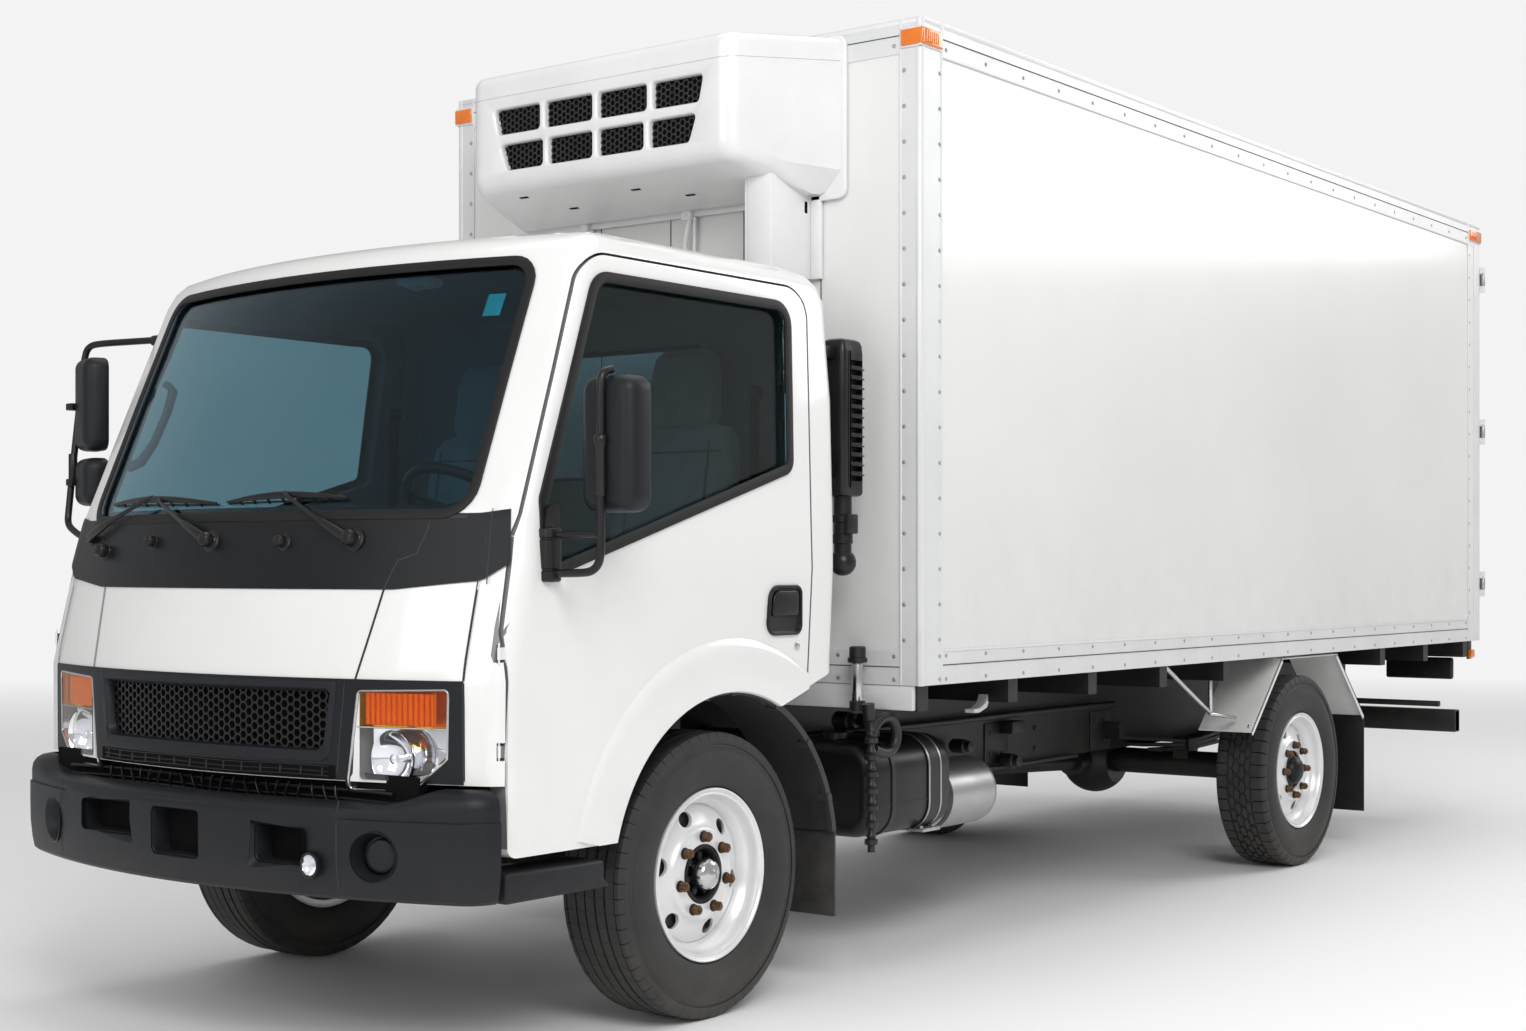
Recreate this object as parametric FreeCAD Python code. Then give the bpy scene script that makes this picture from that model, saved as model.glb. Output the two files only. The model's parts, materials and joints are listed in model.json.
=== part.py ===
import FreeCAD, Part
import math
import os
from FreeCAD import Vector

# Refrigerated truck: cab over engine, insulated box body, front-mounted cooling unit.
# Millimetres.  +Z up, the truck faces -Y, +X is its left side.
# Everything is laid out from the middle of the front axle, at ground level, and is moved
# at the end so that the origin lies under the middle of the whole truck.

# ---- wheels and axles
WHEELBASE = 3850.0
TYRE_RADIUS = 398.5
TYRE_WIDTH = 230.0
BEAD_RADIUS = 222.0
FLANGE_RADIUS = 240.0
RIM_WIDTH = 190.0
RIM_WALL = 8.0
FRONT_TYRE_OUTER_X = 900.0
REAR_TYRE_OUTER_X = 985.0
KINGPIN_X = 700.0
KINGPIN_RADIUS = 14.0
SPINDLE_RADIUS = 27.0
STEERING_ARM = 165.0
TIE_ROD_DROP = 75.0
TIE_ROD_EYE = 24.0
TIE_ROD_PIN_RADIUS = 8.0
KNUCKLE_LUG = 24.0
KNUCKLE_WEB = 14.0
SHAFT_CLEARANCE = 0.3
MOVING_GAP = 5.0
HUB_INNER = 28.0
HUB_SPINDLE_END = 74.0
BEAM_TOP = -5.0
BEAM_DEPTH = 37.0
BOSS_HALF_HEIGHT = 42.0
PROP_SHAFT_RADIUS = 38.0
PROP_SHAFT_START = (334.0, 560.0)

# ---- chassis
RAIL_OUTER_X = 400.0
RAIL_FLANGE = 55.0
RAIL_TOP = 670.0
RAIL_HEIGHT = 170.0
RAIL_WALL = 8.0
RAIL_FRONT_Y = -905.0
RAIL_REAR_SHORT = 235.0
TANK_GAP = 30.0
BATTERY_GAP = 40.0
CYLINDER_GAP = 200.0
TUNNEL_GAP = 30.0
CROSS_TUBE = 60.0
CROSS_TUBE_WALL = 6.0
# columns: front of the tube from the front axle, bottom, top (the rear ones pass over the prop shaft)
CROSS_TUBES = [
    (RAIL_FRONT_Y + 30, 530, 640), (620, 598, 658), (1500, 598, 658), (2300, 598, 658),
    (3150, 598, 658), (4550, 598, 658),
]
CAB_REST_Y = (400.0, 450.0)

# ---- cab
CAB_HALF_WIDTH = 930.0
CAB_LENGTH_BEHIND_AXLE = 538.0
CAB_FRONT_AHEAD = 1053.0
CAB_WALL = 45.0
CAB_ROOF_TOP = 2165.0
FRONT_BULGE_RADIUS = 2440.0
DOOR_GAP = 7.0
DOOR_BOTTOM = 531.0
DOOR_HINGE_X = 907.0
DOOR_HINGE_Y = -862.0
DOOR_HINGE_HEIGHTS = (800.0, 1040.0)
DOOR_PIN_RADIUS = 2.5
DOOR_KNUCKLE_RADIUS = 4.5
DOOR_KNUCKLE_HEIGHT = 30.0
DOOR_LEAF_LENGTH = 18.0
DOOR_SWING_INSIDE = CAB_WALL + 83.0
DOOR_SWING_OUTSIDE = 37.0
DOOR_EDGE_X = 862.0
CAB_SILL_Z = 1345.0
CAB_HEADER_Z = 2062.0
TRIM_CLEARANCE = 6.0
SEAT_CLEARANCE = 0.3
FRONT_PANEL_BOTTOM = 716.0
CAB_FLOOR_Z = 912.0
CAB_FLOOR_SHEET = 25.0
WHEEL_ARCH_RADIUS = 505.0
WHEEL_ARCH_Y = 30.0
GLASS_GAP = 0.3
GLASS_THICKNESS = 6.0
TILT_PIVOT_Y = -930.0
TILT_PIVOT_Z = 800.0
TILT_PIN_RADIUS = 18.0
TILT_PIN_LENGTH = 60.0
TILT_X = RAIL_OUTER_X - 25.0
TILT_EAR_THICKNESS = 24.0
STEERING_WHEEL_X = 420.0
TOW_SOCKET_RADIUS = 10.0
TOW_SOCKET_LENGTH = 50.0
TOW_POCKET_DEPTH = 45.0
TOW_SOCKET_Z = 560.0
COUPLING_HOLE_RADIUS = 7.5
COUPLING_SPACING_X = 120.0
COUPLING_SPACING_Z = 55.0
BUMPER_FRONT_AHEAD = 1135.0
BUMPER_BOTTOM = 427.0
BUMPER_TOP = 700.0
BUMPER_DEPTH = 75.0

# ---- box body
BOX_HALF_WIDTH = 1000.0
BOX_LENGTH = 5100.0
BOX_FRONT_Y = 885.0
BOX_BOTTOM = 885.0
BOX_TOP = 2945.0
BOX_WALL = 75.0
BOX_FLOOR = 100.0
SKIN = 3.0
REAR_POST = 67.0
REAR_FRAME_DEPTH = 85.0
BEARER_BOTTOM = 805.0
REAR_DOOR_GAP = 5.0
REAR_HINGE_OUT = 12.0
REAR_HINGE_BACK = 18.0
REAR_HINGE_RADIUS = 9.0

# ---- cooling unit
UNIT_FRONT_Y = 500.0
# columns: y, z, corner radius, seen from the side
UNIT_PROFILE = [(UNIT_FRONT_Y, 2508, 30), (BOX_FRONT_Y, 2417, 0), (BOX_FRONT_Y, 2923, 0),
                (UNIT_FRONT_Y, 2893, 45)]
# columns: x, y, corner radius, seen from above
UNIT_PLAN = [(-548, UNIT_FRONT_Y, 60), (548, UNIT_FRONT_Y, 60), (717, BOX_FRONT_Y, 0),
             (-717, BOX_FRONT_Y, 0)]
# columns: bottom and top of a row of air openings, half length of the row
UNIT_ROWS = [(2569, 2655, 420), (2690, 2774, 447)]
UNIT_CELL_GAP = 22.0
UNIT_CELL_CORNER = 14.0
UNIT_CELL_DEPTH = 28.0

# ---- mirrors
MIRROR_REACH = 1190.0

# ---- rear fenders: from the rear axle, start and end of each sloping plate
FENDER_FRONT = (-500.0, -205.0)
FENDER_REAR = (385.0, 690.0)
FENDER_PLATE_Z = (590.0, 874.0)
FENDER_SHEET = 8.0
FLAP_BOTTOM = 165.0
FLAP_SHEET = 8.0

# ---- derived places
REAR_AXLE_Y = WHEELBASE
AXLE_Z = TYRE_RADIUS
RAIL_INNER_X = RAIL_OUTER_X - RAIL_FLANGE
RAIL_BOTTOM = RAIL_TOP - RAIL_HEIGHT
CAB_REAR_Y = CAB_LENGTH_BEHIND_AXLE
BOX_REAR_Y = BOX_FRONT_Y + BOX_LENGTH
RAIL_REAR_Y = BOX_REAR_Y - RAIL_REAR_SHORT
FRONT_WHEEL_X = FRONT_TYRE_OUTER_X - TYRE_WIDTH / 2
REAR_WHEEL_X = REAR_TYRE_OUTER_X - TYRE_WIDTH / 2
LOCK_BAR_PROUD = 40.0
FRONT_END_Y = -BUMPER_FRONT_AHEAD
REAR_END_Y = BOX_REAR_Y + LOCK_BAR_PROUD
SHIFT_Y = -(FRONT_END_Y + REAR_END_Y) / 2

X_AXIS = Vector(1, 0, 0)
Y_AXIS = Vector(0, 1, 0)
Z_AXIS = Vector(0, 0, 1)


# ---- shape helpers
def box(x0, x1, y0, y1, z0, z1):
    return Part.makeBox(x1 - x0, y1 - y0, z1 - z0, Vector(x0, y0, z0))


def rod(start, axis, radius, length):
    return Part.makeCylinder(radius, length, Vector(*start), axis)


def fuse(shapes):
    whole = shapes[0]
    if len(shapes) > 1:
        whole = whole.fuse(shapes[1:])
    return whole.removeSplitter()


def mirrored(shape):
    return shape.mirror(Vector(0, 0, 0), X_AXIS)


def both_sides(shape):
    return Part.makeCompound([shape, mirrored(shape)])


def corner_points(points, inset):
    """Move each edge of a closed outline inwards by inset; points run anticlockwise."""
    moved = []
    count = len(points)
    for i in range(count):
        a, b, c = (Vector(*points[(i + k) % count][:2], 0) for k in (-1, 0, 1))
        before = (b - a).normalize()
        after = (c - b).normalize()
        before_in = Vector(-before.y, before.x, 0)
        after_in = Vector(-after.y, after.x, 0)
        scale = inset / (1 + before_in.dot(after_in))
        moved.append(b + (before_in + after_in) * scale)
    return moved


def outline(points, place, inset=0.0):
    """Closed wire of lines and corner arcs.  points: (a, b, corner radius), anticlockwise.
    place(a, b) gives the 3-D point."""
    corners = corner_points(points, inset)
    count = len(corners)
    edges = []
    ends = []
    for i in range(count):
        a, b, c = corners[i - 1], corners[i], corners[(i + 1) % count]
        radius = max(points[i][2] - inset, 0.0) if points[i][2] else 0.0
        to_a = (a - b).normalize()
        to_c = (c - b).normalize()
        if radius < 0.5:
            ends.append((b, b, None))
            continue
        half = to_a.getAngle(to_c) / 2
        reach = radius / math.tan(half)
        centre = b + (to_a + to_c).normalize() * (radius / math.sin(half))
        middle = centre + (b - centre).normalize() * radius
        ends.append((b + to_a * reach, b + to_c * reach, middle))
    for i in range(count):
        first, last, middle = ends[i]
        if middle is not None:
            edges.append(Part.Arc(place(first), place(middle), place(last)).toShape())
        following = ends[(i + 1) % count][0]
        if last.distanceToPoint(following) > 1e-6:
            edges.append(Part.LineSegment(place(last), place(following)).toShape())
    return Part.Wire(edges)


def side_prism(points, x0, x1, inset=0.0):
    """Outline in (y, z), thick along X."""
    wire = outline(points, lambda p: Vector(x0, p.x, p.y), inset)
    return Part.Face(wire).extrude(Vector(x1 - x0, 0, 0))


def front_prism(points, y0, y1, inset=0.0):
    """Outline in (x, z), thick along Y."""
    wire = outline(points, lambda p: Vector(p.x, y0, p.y), inset)
    return Part.Face(wire).extrude(Vector(0, y1 - y0, 0))


def plan_prism(points, z0, z1, inset=0.0):
    """Outline in (x, y), thick along Z."""
    wire = outline(points, lambda p: Vector(p.x, p.y, z0), inset)
    return Part.Face(wire).extrude(Vector(0, 0, z1 - z0))


def turned(profile, centre, axis=X_AXIS):
    """Ring turned about an axis along X; profile: (offset along axis, radius)."""
    points = [Vector(x, 0, r) for x, r in profile]
    wire = Part.makePolygon(points + points[:1])
    ring = Part.Face(wire).revolve(Vector(0, 0, 0), X_AXIS, 360)
    ring.translate(Vector(*centre))
    return ring


def bent_tube(points, radius, bend):
    """Round bar along straight runs joined by tangent arcs of radius bend."""
    knots = [Vector(*p) for p in points]
    edges = []
    last = knots[0]
    for i in range(1, len(knots) - 1):
        to_a = (knots[i - 1] - knots[i]).normalize()
        to_c = (knots[i + 1] - knots[i]).normalize()
        half = to_a.getAngle(to_c) / 2
        reach = bend / math.tan(half)
        centre = knots[i] + (to_a + to_c).normalize() * (bend / math.sin(half))
        middle = centre + (knots[i] - centre).normalize() * bend
        edges.append(Part.LineSegment(last, knots[i] + to_a * reach).toShape())
        edges.append(Part.Arc(knots[i] + to_a * reach, middle, knots[i] + to_c * reach).toShape())
        last = knots[i] + to_c * reach
    edges.append(Part.LineSegment(last, knots[-1]).toShape())
    path = Part.Wire(edges)
    ring = Part.Wire(Part.makeCircle(radius, knots[0], knots[1] - knots[0]))
    return path.makePipeShell([ring], True, False)


def save(name, shape):
    shape = shape.copy()
    shape.translate(Vector(0, SHIFT_Y, 0))
    if not shape.isValid():
        print("NOT VALID", name)
    shape.exportStep("parts/" + name + ".step")
    print("%-24s solids %3d  volume %.4f m3" % (name, len(shape.Solids), shape.Volume / 1e9))


# ---- wheels
def tyre(centre):
    """Carcass with a bead each side; heights follow the section from rim flange to tread."""
    half = TYRE_WIDTH / 2
    bead = BEAD_RADIUS + SHAFT_CLEARANCE
    section = TYRE_RADIUS - FLANGE_RADIUS

    def up(share):
        return FLANGE_RADIUS + share * section

    outside = [(half - 29, FLANGE_RADIUS + 2), (half, up(0.284)), (half, up(0.536)),
               (half - 14, up(0.9085)), (half - 31, TYRE_RADIUS - 3)]
    inside = [(half - 31, up(0.82)), (half - 18, up(0.536)), (half - 18, up(0.315)), (half - 45, bead)]
    profile = [(half - 29, bead)] + outside + [(0, TYRE_RADIUS)]
    profile += [(-x, r) for x, r in reversed(outside)] + [(29 - half, bead)]
    profile += [(-x, r) for x, r in reversed(inside)] + [(0, up(0.871))] + inside
    return turned(profile, centre)


def wheel(centre, side):
    """Steel disc wheel with its hub; side is +1 where the outer face looks to +X."""
    edge = RIM_WIDTH / 2
    inner = BEAD_RADIUS - RIM_WALL
    barrel = [
        (-edge, FLANGE_RADIUS), (-edge, inner), (-55, inner), (-35, 190), (35, 190),
        (55, inner), (edge, inner), (edge, FLANGE_RADIUS), (edge - 7, FLANGE_RADIUS),
        (edge - 7, BEAD_RADIUS), (55, BEAD_RADIUS), (38, 199), (-38, 199),
        (-55, BEAD_RADIUS), (7 - edge, BEAD_RADIUS), (7 - edge, FLANGE_RADIUS),
    ]
    disc = [(20, 192), (28, 192), (62, 130), (62, 60), (52, 60), (52, 127)]
    hub = [
        (-HUB_INNER, SPINDLE_RADIUS + SHAFT_CLEARANCE), (-HUB_INNER, 60), (20, 60), (20, 110), (52, 110),
        (62, 75), (62, 60), (100, 48), (108, 30), (108, 0), (78, 0),
        (78, SPINDLE_RADIUS + SHAFT_CLEARANCE),
    ]
    parts = [turned(barrel, (0, 0, 0)), turned(disc, (0, 0, 0)), turned(hub, (0, 0, 0))]
    whole = fuse(parts)
    for i in range(6):
        angle = math.radians(60 * i + 30)
        hole = rod((0, 158 * math.cos(angle), 158 * math.sin(angle)), X_AXIS, 21, 90)
        whole = whole.cut(hole)
    if side < 0:
        whole = mirrored(whole)
    whole.translate(Vector(*centre))
    return whole


def knuckle():
    """Left steering knuckle: lugs above and below the beam end, king pin, web, spindle, arm."""
    z = AXLE_Z
    reach = BOSS_HALF_HEIGHT + MOVING_GAP
    low = z - reach - KNUCKLE_LUG
    high = z + reach + KNUCKLE_LUG
    web_end = FRONT_WHEEL_X - HUB_INNER - MOVING_GAP - 2
    lug_radius = 34
    parts = [rod((KINGPIN_X, 0, low), Z_AXIS, KINGPIN_RADIUS, high - low)]
    for z0 in (low, high - KNUCKLE_LUG):
        parts.append(rod((KINGPIN_X, 0, z0), Z_AXIS, lug_radius, KNUCKLE_LUG))
        parts.append(box(KINGPIN_X, web_end, -lug_radius, lug_radius, z0, z0 + KNUCKLE_LUG))
    parts.append(box(web_end - KNUCKLE_WEB, web_end, -lug_radius, lug_radius, low, high))
    spindle_length = FRONT_WHEEL_X + HUB_SPINDLE_END - web_end + KNUCKLE_WEB
    parts.append(rod((web_end - KNUCKLE_WEB, 0, z), X_AXIS, SPINDLE_RADIUS, spindle_length))
    arm_bottom = z - TIE_ROD_DROP + TIE_ROD_EYE / 2 + 1
    arm_top = z - reach - 1
    half_arm = KINGPIN_RADIUS
    parts.append(box(KINGPIN_X - half_arm, KINGPIN_X + half_arm, 20, STEERING_ARM, arm_bottom, arm_top))
    parts.append(rod((KINGPIN_X, STEERING_ARM, arm_bottom), Z_AXIS, 20, arm_top - arm_bottom))
    parts.append(rod((KINGPIN_X, STEERING_ARM, arm_bottom - TIE_ROD_EYE - 2), Z_AXIS,
                     TIE_ROD_PIN_RADIUS, TIE_ROD_EYE + 4))
    return fuse(parts)


def tie_rod():
    z = AXLE_Z - TIE_ROD_DROP
    whole = rod((-KINGPIN_X + 10, STEERING_ARM, z), X_AXIS, 11, 2 * KINGPIN_X - 20)
    bottom = z - TIE_ROD_EYE / 2
    for side in (-1, 1):
        whole = whole.fuse(rod((side * KINGPIN_X, STEERING_ARM, bottom), Z_AXIS, 18, TIE_ROD_EYE))
    for side in (-1, 1):
        bore = rod((side * KINGPIN_X, STEERING_ARM, bottom - 2), Z_AXIS,
                   TIE_ROD_PIN_RADIUS + SHAFT_CLEARANCE, TIE_ROD_EYE + 4)
        whole = whole.cut(bore)
    return whole.removeSplitter()


def front_axle():
    """Beam with a bored boss at each end, and the two front springs clamped on it."""
    z = AXLE_Z
    reach = BOSS_HALF_HEIGHT
    top = z + BEAM_TOP
    beam = box(-KINGPIN_X + 20, KINGPIN_X - 20, -32, 32, top - BEAM_DEPTH, top)
    boss = rod((KINGPIN_X, 0, z - reach), Z_AXIS, 30, 2 * reach)
    ramp = box(KINGPIN_X - 75, KINGPIN_X - 15, -28, 28, z - reach, z + 30)
    beam = fuse([beam, boss, ramp, mirrored(boss), mirrored(ramp)])
    for side in (-1, 1):
        bore = rod((side * KINGPIN_X, 0, z - 50), Z_AXIS, KINGPIN_RADIUS + SHAFT_CLEARANCE, 120)
        beam = beam.cut(bore)
    parts = [beam]
    for side in (-1, 1):
        x = side * (RAIL_OUTER_X - 15)
        parts.append(leaf_spring(x, 0, top, 60, 600, 50, RAIL_BOTTOM))
    return fuse(parts)


def leaf_spring(x, y, seat, width, half_length, rise, hanger_top):
    """Stack of leaves clamped on its axle, with a hanger from the rail at each end."""
    x0 = x - width / 2
    x1 = x + width / 2
    rail = math.copysign(RAIL_OUTER_X, x)
    hanger_x0 = min(x0, rail) if x > 0 else x0
    hanger_x1 = x1 if x > 0 else max(x1, rail)
    leaf = 14.0
    spring = []
    for step, share in enumerate((0.45, 0.72, 1.0)):
        z = seat + leaf * step
        span = half_length * share
        lift = rise * share * share
        points = [(y - span, z + lift, 0), (y, z, 0), (y + span, z + lift, 0),
                  (y + span, z + lift + leaf, 0), (y, z + leaf, 0), (y - span, z + lift + leaf, 0)]
        spring.append(side_prism(points, x0, x1))
    clamp = box(x0 - 6, x1 + 6, y - 45, y + 45, seat, seat + 3 * leaf + 8)
    hangers = []
    for end in (-1, 1):
        y_end = y + end * half_length
        z_end = seat + 2 * leaf + rise
        hangers.append(box(hanger_x0, hanger_x1, y_end - 22, y_end + 22, z_end, hanger_top))
    return fuse(spring + [clamp] + hangers)


def rear_axle():
    z = AXLE_Z
    y = REAR_AXLE_Y
    tube = rod((-REAR_WHEEL_X + 60, y, z), X_AXIS, 55, 2 * REAR_WHEEL_X - 120)
    spindle = rod((-REAR_WHEEL_X - 74, y, z), X_AXIS, SPINDLE_RADIUS, 2 * REAR_WHEEL_X + 148)
    housing = Part.makeSphere(150, Vector(0, y, z)).common(box(-110, 110, y - 200, y + 200, 0, 900))
    nose = rod((0, y - 230, z), Y_AXIS, 60, 150)
    parts = [tube, spindle, housing, nose]
    for side in (-1, 1):
        x = side * (RAIL_OUTER_X + 40)
        parts.append(box(x - 35, x + 35, y - 50, y + 50, z, z + 60))
        parts.append(leaf_spring(x, y, z + 60, 66, 650, 60, RAIL_BOTTOM + 115))
    start = Vector(0, *PROP_SHAFT_START)
    run = Vector(0, y - 230, z) - start
    parts.append(Part.makeCylinder(PROP_SHAFT_RADIUS, run.Length, start, run))
    return fuse(parts)


# ---- chassis
def frame_rails():
    length = RAIL_REAR_Y - RAIL_FRONT_Y
    rail = Part.makeBox(RAIL_FLANGE, length, RAIL_HEIGHT, Vector(RAIL_INNER_X, RAIL_FRONT_Y, RAIL_BOTTOM))
    hollow = Part.makeBox(RAIL_FLANGE - RAIL_WALL, length + 2, RAIL_HEIGHT - 2 * RAIL_WALL,
                          Vector(RAIL_INNER_X, RAIL_FRONT_Y - 1, RAIL_BOTTOM + RAIL_WALL))
    rail = rail.cut(hollow)
    parts = [rail, mirrored(rail)]
    inner = RAIL_OUTER_X - RAIL_WALL
    wall = CROSS_TUBE_WALL
    for y, bottom, top in CROSS_TUBES:
        tube = box(-inner, inner, y, y + CROSS_TUBE, bottom, top)
        hollow = box(-inner, inner, y + wall, y + CROSS_TUBE - wall, bottom + wall, top - wall)
        parts.append(tube.cut(hollow))
    end = box(-inner, inner, RAIL_REAR_Y - 10, RAIL_REAR_Y, RAIL_BOTTOM, RAIL_TOP)
    middle = (RAIL_BOTTOM + RAIL_TOP) / 2
    for x in (-COUPLING_SPACING_X / 2, COUPLING_SPACING_X / 2):
        for z in (middle - COUPLING_SPACING_Z / 2, middle + COUPLING_SPACING_Z / 2):
            end = end.cut(rod((x, RAIL_REAR_Y - 20, z), Y_AXIS, COUPLING_HOLE_RADIUS, 40))
    parts.append(end)
    parts += [cab_rest(1), cab_rest(-1)]
    for side in (-1, 1):
        x = side * TILT_X
        parts.append(tilt_ear(x - TILT_EAR_THICKNESS / 2, x + TILT_EAR_THICKNESS / 2))
        parts.append(rod((x - TILT_PIN_LENGTH / 2, TILT_PIVOT_Y, TILT_PIVOT_Z), X_AXIS,
                         TILT_PIN_RADIUS, TILT_PIN_LENGTH))
    return fuse(parts)


def tilt_ear(x0, x1):
    """Ear on a rail that holds the cab's tilt pin ahead of the rail's end.  Its front is
    hollowed where the lower edge of the cab swings through."""
    y, z = TILT_PIVOT_Y, TILT_PIVOT_Z
    foot = RAIL_TOP - 10
    return side_prism([(y + 30, foot, 0), (y + 95, foot, 0), (y + 40, z + 24, 20),
                       (y - 22, z + 24, 20), (y - 22, z - 24, 10), (y + 10, z - 55, 0),
                       (y + 36, z - 94, 0)], x0, x1)


def cab_rest(side):
    """Post on each rail that the back of the cab comes down on."""
    x0, x1 = sorted((side * RAIL_INNER_X, side * RAIL_OUTER_X))
    return box(x0, x1, *CAB_REST_Y, RAIL_TOP - 10, CAB_FLOOR_Z - TRIM_CLEARANCE)


def engine_block():
    block = box(-260, 260, -640, 230, 440, 860)
    gearbox = box(-150, 150, 230, 330, 440, 690)
    web = RAIL_OUTER_X - RAIL_WALL
    mount = box(-web, web, -480, -400, 520, 580)
    return fuse([block, gearbox, mount])


def fuel_tank():
    inner = RAIL_OUTER_X + TANK_GAP
    outer = inner + 370
    strap = 6
    bottom, top, corner = 392, 700, 60
    tank = front_prism([(inner, bottom, corner), (outer, bottom, corner), (outer, top, corner),
                        (inner, top, corner)], 900, 1400)
    straps = []
    for y in (1010, 1250):
        around = [(inner - strap, bottom - strap, corner + 2), (outer + strap, bottom - strap, corner + 2),
                  (outer + strap, top + strap, corner + 2), (inner - strap, top + strap, corner + 2)]
        straps.append(front_prism(around, y, y + 40))
        straps.append(box(RAIL_OUTER_X, inner + 10, y, y + 40, RAIL_BOTTOM + 20, RAIL_TOP - 20))
    return fuse([tank] + straps)


def air_cylinder():
    x = RAIL_OUTER_X + CYLINDER_GAP
    parts = [rod((x, 1450, 470), Y_AXIS, 118, 470), rod((x, 1430, 470), Y_AXIS, 90, 510)]
    for y in (1530, 1800):
        parts.append(box(RAIL_OUTER_X, x, y, y + 40, RAIL_BOTTOM + 20, RAIL_BOTTOM + 88))
    return fuse(parts)


def battery_box():
    inner = -RAIL_OUTER_X - BATTERY_GAP
    lid_lip = 6
    case = box(inner - 360, inner, 900, 1320, 400, 680)
    lid = box(inner - 360 - lid_lip, inner + lid_lip, 900 - lid_lip, 1320 + lid_lip, 640, 690)
    bracket = box(inner - 10, -RAIL_OUTER_X, 960, 1260, RAIL_BOTTOM + 20, RAIL_TOP - 40)
    return fuse([case, lid, bracket])


def mudguards():
    """Front: curved plate and flap behind each front wheel, on the chassis."""
    parts = []
    ring = rod((690, WHEEL_ARCH_Y, AXLE_Z), X_AXIS, WHEEL_ARCH_RADIUS + 12, 235)
    ring = ring.cut(rod((680, WHEEL_ARCH_Y, AXLE_Z), X_AXIS, WHEEL_ARCH_RADIUS + 4, 260))
    sector = ring.common(box(600, 1000, 350, 700, AXLE_Z + 71.5, AXLE_Z + 371.5))
    flap_y = WHEEL_ARCH_Y + WHEEL_ARCH_RADIUS
    flap = box(690, 925, flap_y, flap_y + FLAP_SHEET, AXLE_Z - 163.5, AXLE_Z + 81.5)
    stay = box(RAIL_OUTER_X, 700, flap_y - 30, flap_y, AXLE_Z + 161.5, AXLE_Z + 201.5)
    parts = fuse([sector, flap, stay])
    return both_sides(parts)


def rear_fenders():
    """White plates before and behind each rear wheel, with rubber flaps."""
    y = REAR_AXLE_Y
    x0, x1 = 740, 975
    low, high = FENDER_PLATE_Z
    sheet = FENDER_SHEET
    parts = [box(x0, x1, y + FENDER_FRONT[1], y + FENDER_REAR[0], high - sheet, high)]
    for first, last, z_first, z_last in (
            (y + FENDER_FRONT[0], y + FENDER_FRONT[1], low, high),
            (y + FENDER_REAR[0], y + FENDER_REAR[1], high, low)):
        parts.append(side_prism([(first, z_first - sheet, 0), (last, z_last - sheet, 0),
                                 (last, z_last, 0), (first, z_first, 0)], x0, x1))
    parts.append(box(x0 + 40, x1 - 60, y - 160, y + 160, high - sheet, BOX_BOTTOM))
    parts.append(box(x0, x1, y + FENDER_REAR[1] - sheet, y + FENDER_REAR[1], FLAP_BOTTOM, low))
    return both_sides(fuse(parts))


def underrun_bar():
    y = BOX_REAR_Y - 60
    bar = box(-920, 920, y - 60, y, 430, 540)
    parts = [bar]
    for side in (-1, 1):
        x = side * (RAIL_OUTER_X - 20)
        parts.append(box(x - 20, x + 20, RAIL_REAR_Y - 140, RAIL_REAR_Y - 60, 440, RAIL_BOTTOM))
        parts.append(box(x - 20, x + 20, RAIL_REAR_Y - 100, y - 30, 440, 500))
    return fuse(parts)


def bumper():
    """Plastic bumper with its recesses, its steps and its brackets to the frame rails."""
    front = cab_plan(FRONT_END_Y, CAB_HALF_WIDTH + 8, 120, 400, BUMPER_BOTTOM, 0, 20)
    wall = cab_plan(FRONT_END_Y, CAB_HALF_WIDTH + 8, 120, 400, BUMPER_BOTTOM - 10, BUMPER_DEPTH, 20)
    solid = Part.Face(front).extrude(Vector(0, 0, BUMPER_TOP - BUMPER_BOTTOM))
    inside = Part.Face(wall).extrude(Vector(0, 0, BUMPER_TOP - BUMPER_BOTTOM + 20))
    shell = solid.cut(inside).cut(box(-1200, 1200, DOOR_HINGE_Y - 6, 900, 0, 900))
    for x, half_width, z0, z1 in ((0, 95, 505, 622), (-310, 110, 525, 615), (310, 110, 525, 615)):
        pocket = [(x - half_width, z0, 14), (x + half_width, z0, 14), (x + half_width, z1, 14),
                  (x - half_width, z1, 14)]
        depth = TOW_POCKET_DEPTH + x * x * 0.0002
        shell = shell.cut(front_prism(pocket, FRONT_END_Y - 5, FRONT_END_Y + depth))
    for side in (-1, 1):
        fog = rod((side * 658, FRONT_END_Y, 540), Y_AXIS, 62, 130)
        shell = shell.cut(fog)
    mouth = FRONT_END_Y + TOW_POCKET_DEPTH
    parts = [shell, rod((0, mouth, TOW_SOCKET_Z), Y_AXIS, 24, TOW_SOCKET_LENGTH)]
    parts.append(box(-24, 24, mouth + TOW_SOCKET_LENGTH, CROSS_TUBES[0][0], 536, 584))
    for side in (-1, 1):
        x0, x1 = sorted((side * 770, side * CAB_HALF_WIDTH))
        parts.append(box(x0, x1, -880, -500, BUMPER_BOTTOM, BUMPER_BOTTOM + 76))
        x0, x1 = sorted((side * (RAIL_OUTER_X - 40), side * RAIL_OUTER_X))
        parts.append(box(x0, x1, FRONT_END_Y + 60, RAIL_FRONT_Y, 520, 600))
    whole = fuse(parts)
    for side in (-1, 1):
        whole = whole.cut(rod((side * DOOR_HINGE_X, DOOR_HINGE_Y, DOOR_BOTTOM - 2 * MOVING_GAP), Z_AXIS,
                              DOOR_SWING_OUTSIDE, 300))
    return whole.cut(rod((0, mouth - 5, TOW_SOCKET_Z), Y_AXIS, TOW_SOCKET_RADIUS, TOW_SOCKET_LENGTH + 5))


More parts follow.
